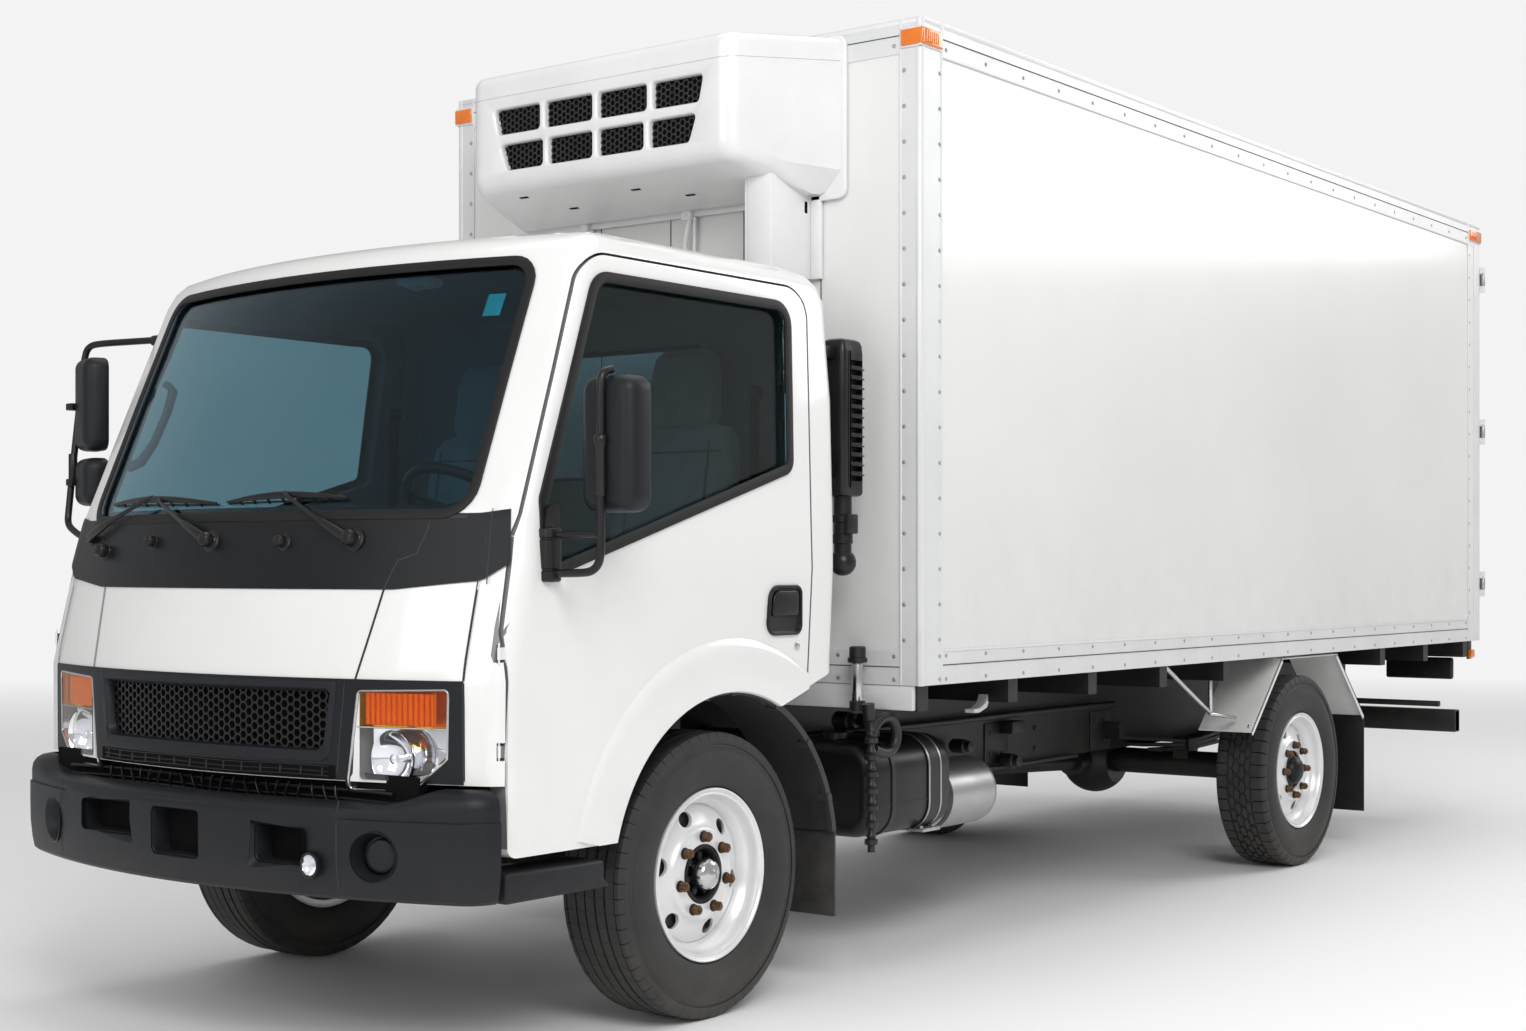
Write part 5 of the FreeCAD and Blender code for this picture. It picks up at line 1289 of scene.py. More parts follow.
def build_headlamps():
    for tag, side in SIDES:
        def on_lamp(a, b, proud):
            return at(side * a, cab_front_y(a, b) - proud, b)

        surround = loft("headlamp_surround_" + tag, [[on_lamp(a, b, proud)
            for a, b in outline(corners, inset_by)] for corners, inset_by, proud in ((LAMP_OUT, 0.0,
            -0.02), (LAMP_OUT, 0.001, 0.001), (LAMP_OUT, 0.003, 0.0025), (LAMP, -0.008, 0.0025),
            (LAMP, -0.0055, 0.001), (LAMP, -0.0055, -0.02))], caps=False)
        keep(surround, "cab", "satin", ("headlamps",), 35)
        rim = loft("headlamp_rim_" + tag, [[on_lamp(a, b, proud)
            for a, b in outline(LAMP, inset_by)] for inset_by, proud in ((-0.005, -0.01),
            (-0.005, 0.003), (-0.0035, 0.005), (-0.0005, 0.005), (0.001, 0.003), (0.001, -0.01))],
            caps=False)
        keep(rim, "cab", "bright", (), 35)
        housing = loft("headlamp_housing_" + tag, [[on_lamp(a, b, proud)
            for a, b in outline(LAMP, inset_by)] for inset_by, proud in ((0.0012, -0.002),
            (0.004, -0.02), (0.01, -0.046), (0.03, -0.056))], caps=False, last_cap=True)
        edit_all(housing, lambda: bpy.ops.mesh.bisect(plane_co=(0, 0, LAMP_SPLIT),
            plane_no=(0, 0, 1)))
        keep(housing, "cab", "chrome", (), 25)
        housing.data.materials.append(FINISHES["amber_back"])
        for face in housing.data.polygons:
            if face.center.z > LAMP_SPLIT:
                face.material_index = 1

        bowl_at = at(side * 0.634, cab_front_y(0.634, 0.775) + 0.008, 0.774)
        bowl = lathe("headlamp_bowl_" + tag, mm((0, 69), (1.5, 72), (-1, 73), (-14, 64), (-30, 48),
            (-40, 30), (-43, 14), (-43, 0.3), (-40, 0.3), (-39.5, 14), (-36.5, 29), (-27, 46),
            (-12, 61)), bowl_at, FRONT, 48)
        cap = lathe("headlamp_cap_" + tag, mm((-42, 0.3), (-42, 9), (-20, 10), (-8, 13), (-4, 12),
            (-1, 7), (0, 0.3)), bowl_at, FRONT, 24)
        keep(bowl, "cab", "chrome", (), 40)
        keep(cap, "cab", "chrome", (), 40)
        divider = strut("headlamp_divider_" + tag, [on_lamp(a, LAMP_SPLIT, -0.004)
            for a in (0.541, 0.62, 0.7, 0.79)], [(0.0055, 0.012)] * 4)
        keep(divider, "cab", "bright")
        flutes = []
        for k in range(13):
            a = 0.56 + 0.015 * k
            flutes.append(bar("flute", on_lamp(a, LAMP_SPLIT + 0.006, -0.018),
                on_lamp(a, 0.938, -0.018), 0.0078, 8))
        flutes.append(bar("flute", on_lamp(0.756, LAMP_SPLIT + 0.004, -0.004),
            on_lamp(0.757, 0.942, -0.004), 0.0022, 8))
        keep(join("turn_lamp_flutes_" + tag, *flutes), "cab", "amber_back", (), 60)

        for part, low, high, key in (("turn_lamp_lens_", LAMP_SPLIT, 1.0, "amber"),
                ("headlamp_lens_", 0.7, LAMP_SPLIT, "lens")):
            lens = flat_grid(part + tag, (side * 0.55, 0.72), (side * 0.81, 0.965), "XZ", (26, 26))
            laid_on(lens, FRONT, -0.0012, 0.003)
            common(lens, front_plate("trim", [(side * a, b) for a, b in rounded(LAMP, 0.0008, 5)],
                -1.3, -0.7))
            common(lens, block("split", at(-1, -1.3, low + 0.001), at(1, -0.7, high - 0.001)))
            keep(lens, "cab", key, (), 30)


# Bumper: how far it stands out from its widest line, then height.
BUMPER_PROFILE = ((-0.062, 0.427), (-0.04, 0.4275), (-0.022, 0.431), (-0.012, 0.44), (-0.006, 0.47),
    (-0.001, 0.52), (0.0, 0.58), (0.0, 0.629), (-0.0015, 0.631), (-0.0055, 0.632), (-0.005, 0.644),
    (-0.005, 0.66), (-0.008, 0.674), (-0.018, 0.686), (-0.032, 0.693), (-0.05, 0.696),
    (-0.07, 0.6965))
BUMPER_FRONT, BUMPER_HALF, BUMPER_CORNER, BULGE = 1.135, 0.938, 0.12, 2.44
RECESSES = ((0.0, 0.095, 0.505, 0.622), (-0.31, 0.118, 0.54, 0.622), (0.375, 0.09, 0.512, 0.602))


def bow_y(x):
    """Y of the bumper's widest line across the front, at X = x."""
    return -BUMPER_FRONT + (BULGE - math.sqrt(BULGE ** 2 - x * x))


def bumper_plan(steps_bow=36, steps_corner=14, rear=-0.884):
    """Points and outward normals along the bumper's outer line, from right to left."""
    reach = BULGE - BUMPER_CORNER
    middle_y = -BUMPER_FRONT + BULGE
    lean = math.asin((BUMPER_HALF - BUMPER_CORNER) / reach)
    corner_y = middle_y - reach * math.cos(lean)
    row = []
    for k in range(steps_bow + 1):
        angle = lean * k / steps_bow
        row.append((BULGE * math.sin(angle), middle_y - BULGE * math.cos(angle), math.sin(angle),
            -math.cos(angle)))
    last = math.acos((corner_y - rear) / BUMPER_CORNER)
    for k in range(1, steps_corner + 1):
        angle = lean + (last - lean) * k / steps_corner
        row.append((BUMPER_HALF - BUMPER_CORNER + BUMPER_CORNER * math.sin(angle),
            corner_y - BUMPER_CORNER * math.cos(angle), math.sin(angle), -math.cos(angle)))
    left = [(-x, y, -nx, ny) for x, y, nx, ny in reversed(row[1:])]
    return left + row


def shoulder_rise(x, z):
    """The top edge climbs towards the corners, and is full height over the headlamps' ends."""
    share = min(max((abs(x) - 0.66) / 0.17, 0), 1)
    share = share * share * (3 - 2 * share)
    return (share * 0.012 - (1 - share) * 0.027) * max(z - 0.63, 0) / 0.0665


def build_bumper():
    plan = bumper_plan()
    sections = []
    for x, y, nx, ny in plan:
        ledge = min(max((abs(x) - 0.55) / 0.03, 0), 1)
        outside = [(x + nx * out, y + ny * out, z + shoulder_rise(x, z))
            for out, z in ((out * (ledge if 0.63 < z < 0.65 else 1), z)
            for out, z in BUMPER_PROFILE)]
        inside = [(x - nx * 0.07, y - ny * 0.07, z + shoulder_rise(x, z))
            for z in (0.69, 0.6, 0.5, 0.434)]
        sections.append([at(*point) for point in outside + inside])
    shell = loft("moulded_bumper", sections)
    tubs = []
    for x, half, low, high in RECESSES:
        y = bow_y(x)
        rings = []
        for grow, back, drop in ((0.012, -0.012, 0.01), (0.003, 0.004, 0.004), (0.0, 0.01, 0.0),
                (0.0, 0.085, 0.0)):
            corners = [(x - half - grow, low - grow - drop, 0.016),
                (x + half + grow, low - grow - drop, 0.016), (x + half + grow, high + grow, 0.014),
                (x - half - grow, high + grow, 0.014)]
            rings.append([at(a, y + back, b) for a, b in rounded(corners, 0, 4)])
        cut(shell, loft("recess", rings))
        tub = loft("tub", [[at(a, y + back, b) for a, b in rounded([(x - half, low, 0.014),
            (x + half, low, 0.014), (x + half, high, 0.014), (x - half, high, 0.014)], -grow, 4)]
            for grow, back in ((0.0015, 0.004), (0.0015, 0.06), (-0.006, 0.062))], caps=False,
            last_cap=True)
        tubs.append(tub)
    for tag, side in SIDES:
        lean = math.asin(0.655 / BULGE)
        axis = Vector((side * math.sin(lean) * 1.5, -math.cos(lean), 0)).normalized()
        place = at(side * 0.655, bow_y(0.655), 0.541)
        hollow = lathe("hollow", mm((20, 0.2), (20, 80), (2, 68), (-4, 61), (-30, 50), (-58, 44),
            (-58, 0.2)), place, axis, 48)
        cut(shell, hollow)
        bowl = lathe("fog_bowl_" + tag, mm((-3, 61.5), (-30, 50.5), (-57, 44.5), (-58, 0.3),
            (-61, 0.3), (-61, 47), (-31, 53), (-4, 64)), place, axis, 48)
        plug = lathe("fog_plug_" + tag, mm((-58, 0.3), (-58, 43), (-40, 43), (-36, 42), (-33, 38),
            (-31.5, 30), (-31, 0.3)), place + Vector((side * 0.012, 0, 0)), axis, 40)
        keep(bowl, "chassis", "black", (), 40)
        keep(plug, "chassis", "bumper", (), 40)
    keep(shell, "chassis", "bumper", ("front_bumper",), 32)
    # The recesses' insides take the near-black finish: painted shade.
    keep(join("bumper_tubs", *tubs), "chassis", "painted_shade", (), 30)

    lines = []
    for x in (-0.6, 0.555):
        lines.append(bumper_line("split", [(x, z) for z in (0.435, 0.5, 0.56, 0.62, 0.66, 0.675)]))
    for z in (0.634, 0.646):
        lines.append(bumper_line("groove", [(-0.14 + 0.014 * k, z) for k in range(21)]))
    keep(join("bumper_lines", *lines), "chassis", "seam", (), 60)

    lamp_at = at(0.487, -BUMPER_FRONT + 0.043, 0.514)
    ring = lathe("small_lamp_ring", mm((0, 33), (9, 32.5), (10, 30), (9, 27), (0, 26)), lamp_at,
        FRONT, 40)
    back = lathe("small_lamp_bowl", mm((8, 26.5), (2, 22), (-2, 12), (-3, 0.3), (-6, 0.3), (-5, 14),
        (-1, 25), (6, 28)), lamp_at, FRONT, 40)
    lens = lathe("small_lamp_lens", mm((8, 26), (11.5, 20), (13, 10), (13.4, 0.3), (11.4, 0.3),
        (11, 10), (9.5, 19), (7, 26)), lamp_at, FRONT, 40)
    keep(ring, "chassis", "black", (), 35)
    keep(back, "chassis", "chrome", (), 35)
    keep(lens, "chassis", "lens", (), 35)
    tow_plate = front_plate("tow_plate", rounded([(0.068, 0.512, 0.008), (0.148, 0.512, 0.008),
        (0.148, 0.6, 0.014), (0.068, 0.6, 0.014)], 0, 4), -1.092, -1.082)
    round_edges(tow_plate, 0.002, 2)
    keep(tow_plate, "chassis", "cast")
    bolt = lathe("tow_bolt", mm((0, 0.3), (9, 0.3), (9.5, 3), (8, 6.5), (5, 8), (5, 12), (0, 12)),
        at(0.118, -1.092, 0.566), FRONT, 6)
    keep(bolt, "chassis", "brass")
    edge = [(-0.862, 0.427), (-0.47, 0.427), (-0.5, 0.452), (-0.5, 0.5), (-0.862, 0.503)]
    steps = [round_edges(side_plate("step", edge, side * 0.8, side * 0.932), 0.01, 3)
        for tag, side in SIDES]
    keep(join("side_steps", *steps), "chassis", "bumper")


def bumper_line(name, path):
    """Thin dark strip on the bumper's face."""
    def surface(x, z):
        out = 0.0
        for (o0, z0), (o1, z1) in zip(BUMPER_PROFILE, BUMPER_PROFILE[1:]):
            if z0 <= z <= z1:
                out = o0 + (o1 - o0) * (z - z0) / (z1 - z0)
        return bow_y(x) - out - 0.0006
    strip = ribbon(name, path, 0.003, lambda a, b: at(a, 0, b))
    for vertex in strip.data.vertices:
        vertex.co.y = surface(vertex.co.x, vertex.co.z) + AXLE_Y
    return strip


# ---- box body
MARKER_LOW, MARKER_HIGH = 2.858, 2.91


def build_box():
    for node_name in ("box_wall_left", "box_wall_right", "box_front_wall", "box_roof"):
        dress(node_name, "panel")
    dress("box_floor", "frame")
    dress("box_edge_rails", "rail")
    dress("box_rear_frame", "rail")
    parts = []
    lips = []
    for side in (-1, 1):
        x = side * (BOX_HALF + 0.0008)
        for z in (BOX_LOW + 0.059, BOX_HIGH - 0.052):
            parts.append(block("line", at(x - 0.001, BOX_FRONT + 0.12, z),
                at(x + 0.001, BOX_REAR - 0.17, z + 0.0028)))
        for z in (BOX_LOW + 0.105, BOX_HIGH - 0.107):
            lips.append(block("lip", at(x - 0.004, BOX_FRONT + 0.118, z - 0.003),
                at(x + 0.0025, BOX_REAR - 0.168, z + 0.003), 0.0015))
        for y in (BOX_FRONT + 0.116, BOX_REAR - 0.167):
            lips.append(block("lip", at(x - 0.004, y - 0.003, BOX_LOW),
                at(x + 0.0025, y + 0.003, BOX_HIGH), 0.0015))
        lips.append(block("lip", at(side * 0.924 - 0.003, BOX_FRONT - 0.003, BOX_LOW),
            at(side * 0.924 + 0.003, BOX_FRONT + 0.002, BOX_HIGH), 0.0012))
        corner = bar("corner", at(side * (BOX_HALF - 0.011), BOX_FRONT + 0.011, BOX_LOW - 0.001),
            at(side * (BOX_HALF - 0.011), BOX_FRONT + 0.011, BOX_HIGH - 0.003), 0.0145, 24, 0.003)
        lips.append(corner)
        edge = bar("edge", at(side * (BOX_HALF - 0.009), BOX_FRONT + 0.008, BOX_HIGH - 0.0117),
            at(side * (BOX_HALF - 0.009), BOX_REAR - 0.003, BOX_HIGH - 0.0117), 0.0115, 24, 0.003)
        lips.append(edge)
    lips.append(bar("edge", at(-BOX_HALF + 0.009, BOX_FRONT + 0.01, BOX_HIGH - 0.0127),
        at(BOX_HALF - 0.009, BOX_FRONT + 0.01, BOX_HIGH - 0.0127), 0.0125, 24, 0.003))
    for x in (-0.62, -0.31, 0.0, 0.31, 0.62):
        parts.append(block("line", at(x - 0.0014, BOX_FRONT + 0.001, BOX_LOW + 0.1),
            at(x + 0.0014, BOX_FRONT + 0.0026, BOX_HIGH - 0.1)))
    for z in (BOX_LOW + 0.055, BOX_HIGH - 0.052):
        parts.append(block("line", at(-0.92, BOX_FRONT - 0.0012, z),
            at(0.92, BOX_FRONT + 0.001, z + 0.0028)))
    keep(join("box_joint_lines", *parts), "chassis", "seam", (), 60)
    keep(join("box_rail_lips", *lips), "chassis", "rail")

    for tag, side in SIDES:
        for end, y0, y1 in (("front", BOX_FRONT - 0.01, BOX_FRONT + 0.109),
                ("rear", BOX_REAR - 0.167, BOX_REAR - 0.005)):
            low, high = MARKER_LOW, MARKER_HIGH
            lens = block("lens", at(side * 0.99, y0 + 0.004, low), at(side * 1.012, y1, high),
                0.005, 3)
            pieces = [lens]
            base = [block("base", at(side * 0.99, y0 + 0.002, low - 0.005),
                at(side * 1.005, y1 + 0.004, high + 0.005), 0.002)]
            if end == "front":
                pieces.append(block("lens", at(side * 0.928, y0, low),
                    at(side * 1.012, y0 + 0.016, high), 0.005, 3))
                base.append(block("base", at(side * 0.924, y0 + 0.004, low - 0.005),
                    at(side * 1.006, y0 + 0.014, high + 0.005), 0.002))
            ribs = [block("rib", at(side * 1.0105, y0 + 0.02 + 0.011 * k, low + 0.008),
                at(side * 1.0135, y0 + 0.026 + 0.011 * k, high - 0.008), 0.001) for k in range(7)]
            name = "marker_%s_%s" % (end, tag)
            keep(join(name, *(pieces + ribs)), "chassis", "marker")
            keep(join(name + "_base", *base), "chassis", "rail")


def rivet(name, place, direction):
    radius = bpy.context.scene.truck_trim.rivet_radius
    return lathe(name, [(-0.001, 0.0002), (0.0032, 0.0002), (0.0027, radius * 0.5),
        (0.0012, radius * 0.9), (-0.001, radius)], place, direction, 8)


def rivet_row(place, direction, run, pitch):
    run = Vector(run)
    count = int(run.length / pitch + 0.5) + 1
    return array(rivet("rivet", place, direction), count, run / (count - 1))


def build_rivets():
    trim = bpy.context.scene.truck_trim
    rail_y0, rail_y1 = BOX_FRONT + 0.142, BOX_REAR - 0.2
    post_z0, post_z1 = BOX_LOW + 0.14, BOX_HIGH - 0.16
    for tag, side in SIDES:
        x = side * BOX_HALF
        out = (side, 0, 0)
        rows = [rivet_row(at(x, rail_y0, z), out, (0, rail_y1 - rail_y0, 0), trim.rivet_pitch)
            for z in (BOX_LOW + 0.017, BOX_LOW + 0.089, BOX_HIGH - 0.08)]
        rows.append(rivet_row(at(x, BOX_FRONT + 0.104, post_z0), out, (0, 0, post_z1 - post_z0),
            trim.post_pitch))
        rows.append(rivet_row(at(x, BOX_REAR - 0.152, post_z0), out, (0, 0, post_z1 - post_z0),
            trim.post_pitch))
        rows.append(rivet_row(at(side * 0.937, BOX_FRONT, post_z0), FRONT,
            (0, 0, post_z1 - post_z0), trim.post_pitch))
        for z in (BOX_LOW + 0.017, BOX_LOW + 0.089, BOX_HIGH - 0.08):
            rows.append(rivet_row(at(side * 0.05, BOX_FRONT, z), FRONT, (side * 0.85, 0, 0),
                trim.rivet_pitch))
            rows.append(rivet("rivet", at(x, BOX_FRONT + 0.104, z), out))
        obj = join("box_rivets_" + tag, *rows)
        keep(obj, "chassis", "rivet", (), 40)


# ---- cooling unit
UNIT_FRONT = 0.5
UNIT_PLAN = [(-0.548, 0.5, 0.075), (0.548, 0.5, 0.075), (0.717, 0.885, 0), (-0.717, 0.885, 0)]
# Bottom and top of a row of air openings, its half length, and the lean of its end cells.
UNIT_ROWS = ((2.569, 2.655, 0.42, 0.031), (2.69, 2.774, 0.447, 0.019))
UNIT_CELL_GAP = 0.024


def unit_ring(inset_by, height, from_top):
    ring = []
    for x, y in rounded(UNIT_PLAN, inset_by, 10):
        back = y - UNIT_FRONT
        z = 2.893 + back * 0.078 - height if from_top else 2.508 - back * 0.236 + height
        ring.append(at(x, y, z))
    return ring


def build_unit():
    rings = []
    for r, from_top in ((0.055, False), (0.034, True)):
        arc = []
        for k in range(9):
            angle = math.radians(90 * k / 8)
            arc.append((r * (1 - math.sin(angle)), r * (1 - math.cos(angle)), from_top))
        if from_top:
            groove = [(0.0, 0.0805, True), (0.0028, 0.08, True), (0.0028, 0.0775, True),
                (0.0, 0.077, True)]
            rings += groove + list(reversed(arc))
        else:
            rings += arc
    shell = loft("unit_housing", [unit_ring(*row) for row in rings])
    for side in (-1, 1):
        corner, rear, under = at(side * 0.56, 0.53, 2.515), at(side * 0.717, 0.885,
            2.5), at(side * 0.64, 0.885, 2.417)
        facet = (rear - corner).cross(under - corner) * -side
        edit_all(shell, lambda: bpy.ops.mesh.bisect(plane_co=corner, plane_no=facet,
            clear_outer=True, use_fill=True), face_out)
    combs, shade_sheets = [], []
    for low, high, end, lean in UNIT_ROWS:
        width = (2 * end - 3 * UNIT_CELL_GAP) / 4
        for k in range(4):
            x0 = -end + k * (width + UNIT_CELL_GAP)
            x1 = x0 + width
            corners = [(x0 + (lean if k == 0 else 0), low, 0.014),
                (x1 - (lean if k == 3 else 0), low, 0.014), (x1, high, 0.014), (x0, high, 0.014)]
            cutter = loft("cell", [[at(a, y, b) for a, b in rounded(corners, inset_by, 5)]
                for y, inset_by in ((0.49, -0.0095), (0.4995, -0.008), (0.5015, -0.004),
                (0.506, -0.001), (0.512, 0.0), (0.53, 0.0))])
            cut(shell, cutter)
            comb = honeycomb("comb", (x0 - 0.004, low - 0.006), (x1 + 0.004, high + 0.004), 0.021,
                lambda a, b: at(a, 0.521, b), 0.8)
            trim_to(comb, (x0 - 0.002, x1 + 0.002), (low - 0.002, high + 0.002))
            combs.append(modify(comb, "SOLIDIFY", thickness=0.002, offset=0))
            # Near-black plate behind each cell: painted shade in the air opening.
            shade_sheets.append(block("back", at(x0 - 0.004, 0.526, low - 0.004),
                at(x1 + 0.004, 0.5295, high + 0.004)))
    flange = front_plate("unit_flange", rounded([(-0.726, 2.412, 0.03), (0.726, 2.412, 0.03),
        (0.726, 2.925, 0.03), (-0.726, 2.925, 0.03)], 0, 6), 0.868, 0.8845)
    round_edges(flange, 0.004, 3)
    keep(shell, "chassis", "unit", ("cooling_unit",), 32)
    keep(flange, "chassis", "unit")
    keep(join("unit_air_mesh", *combs), "chassis", "cast", (), 30)
    keep(join("unit_air_shade_sheet", *shade_sheets), "chassis", "painted_shade", (), 30)
    # Near-black blocks under the housing: painted shade in its drain slots.
    slots = []
    for x, y in ((-0.385, 0.585), (-0.275, 0.712), (0.215, 0.73), (0.06, 0.64)):
        z = 2.508 - (y - UNIT_FRONT) * 0.236
        slots.append(block("slot", at(x - 0.019, y - 0.008, z - 0.0012),
            at(x + 0.019, y + 0.008, z + 0.004), 0.002))
    keep(join("unit_drain_slots", *slots), "chassis", "painted_shade")
    cover = [block("cover", at(0.5, 0.66, 2.165), at(0.592, 0.8845, 2.475), 0.003),
        block("cover", at(0.482, 0.668, 2.165), at(0.503, 0.676, 2.47), 0.002),
        block("cover", at(0.592, 0.868, 2.165), at(0.63, 0.8845, 2.43), 0.003)]
    keep(join("pipe_cover", *cover), "chassis", "unit")
    # Near-black block: painted shade in the cover's slot.
    slot = block("pipe_cover_slot", at(0.588, 0.836, 2.372), at(0.5935, 0.852, 2.41), 0.003)
    keep(slot, "chassis", "painted_shade")
    clips = []
    for x, wide in ((0.095, 0.036), (-0.36, 0.03)):
        clips.append(block("clip", at(x - wide, 0.835, 2.432), at(x + wide, 0.8845, 2.446), 0.004))
        clips.append(block("clip", at(x - wide * 0.6, 0.846, 2.4),
            at(x + wide * 0.6, 0.8845, 2.436), 0.008))
        clips.append(tube("pipe", [at(x + 0.01, 0.862, 2.41), at(x + 0.004, 0.85, 2.36),
            at(x - 0.014, 0.86, 2.3), at(x - 0.02, 0.868, 2.17)], 0.0095))
        clips.append(tube("pipe", [at(x + 0.024, 0.868, 2.41), at(x + 0.022, 0.868, 2.3),
            at(x + 0.016, 0.868, 2.17)], 0.0065))
    keep(join("unit_pipes", *clips), "chassis", "unit")


# ---- wipers and mirrors
def wiper_blade(a0, b0, a1, b1):
    """Rubber edge under a bowed carrier, along the foot of the windscreen."""
    pieces, rows = [], 16
    path = [(a0 + (a1 - a0) * k / rows, b0 + (b1 - b0) * k / rows) for k in range(rows + 1)]
    pieces.append(strut("edge", [on_front(a, b, -0.008) for a, b in path],
        [(0.006, 0.01)] * (rows + 1)))
    bow = []
    sizes = []
    for k, (a, b) in enumerate(path):
        share = math.sin(math.pi * k / rows)
        bow.append(on_front(a, b + 0.004 + 0.012 * share, 0.002 + 0.012 * share))
        sizes.append((0.007 + 0.012 * share, 0.006 + 0.004 * share))
    pieces.append(strut("bow", bow, sizes))
    for k in range(2, rows - 1, 2):
        a, b = path[k]
        pieces.append(strut("claw", [on_front(a, b - 0.004, -0.008), on_front(a, b + 0.012, 0.012)],
            [(0.009, 0.005)] * 2))
    return pieces


def wiper_arm(name, start, end):
    (a0, b0), (a1, b1) = start, end
    path, sizes = [], []
    for share, wide, thick, proud in ((0.0, 0.024, 0.014, 0.022), (0.1, 0.026, 0.016, 0.026),
            (0.36, 0.019, 0.012, 0.026), (0.4, 0.013, 0.008, 0.026), (0.9, 0.01, 0.007, 0.024),
            (1.0, 0.012, 0.01, 0.016)):
        path.append(on_front(a0 + (a1 - a0) * share, b0 + (b1 - b0) * share, proud))
        sizes.append((wide, thick))
    return strut(name, path, sizes)


def knob(name, a, b, radius):
    place = on_front(a, b)
    tilt = (on_front(a, b + 0.02) - on_front(a, b - 0.02)).cross(Vector((-1, 0, 0))).normalized()
    outline_mm = [(0, 1.5), (3, 1.5), (5, 1.3), (6, 1.0), (14, 0.92), (16, 1.05), (24, 1.0),
        (29, 0.8), (31, 0.4)]
    profile = [(along / 1000 * radius / 0.016, out * radius) for along, out in outline_mm]
    profile = [(-0.006, 1.5 * radius)] + profile + [(profile[-1][0], 0.0004)]
    return lathe(name, profile, place, tilt, 32)


def build_wipers():
    pieces = []
    for a0, b0, a1, b1 in ((-0.652, 1.428, -0.076, 1.419), (-0.03, 1.421, 0.401, 1.427)):
        pieces += wiper_blade(a0, b0, a1, b1)
    for start, end in (((-0.735, 1.334), (-0.385, 1.446)), ((-0.062, 1.33), (-0.345, 1.439)),
            ((0.458, 1.326), (0.199, 1.446))):
        pieces.append(wiper_arm("arm", start, end))
    for a, b, radius in ((-0.055, 1.32, 0.02), (0.462, 1.321, 0.021), (-0.735, 1.331, 0.014),
            (-0.61, 1.294, 0.02), (-0.329, 1.32, 0.016), (0.229, 1.316, 0.016)):
        pieces.append(knob("knob", a, b, radius))
    keep(join("wiper_set", *pieces), "cab", "black", ("wipers",), 40)


MIRROR_LEVELS = ((0.0, 0.034), (0.003, 0.022), (0.009, 0.012), (0.018, 0.005), (0.03, 0.001),
    (0.045, 0.0), (0.074, 0.0), (0.08, 0.002), (0.083, 0.005), (0.083, 0.011), (0.078, 0.012))


def mirror_head(name, x0, x1, z0, z1, y0, scale=1.0, corner=0.042):
    """Housing that is domed to the front, with its glass to the rear."""
    corners = [(x0, z0, corner), (x1, z0, corner), (x1, z1, corner), (x0, z1, corner)]
    rows = [[at(a, y0 + height * scale, b) for a, b in outline(corners, inset_by, 6, 4)]
        for height, inset_by in MIRROR_LEVELS]
    housing = loft(name, rows)
    glass_rows = [[at(a, y0 + (0.0785 + rise) * scale, b)
        for a, b in outline(corners, 0.0125 + inset_by, 6, 4)]
        for rise, inset_by in ((-0.003, 0.0), (0.0015, 0.0), (0.002, 0.002))]
    return housing, loft(name + "_glass", glass_rows)


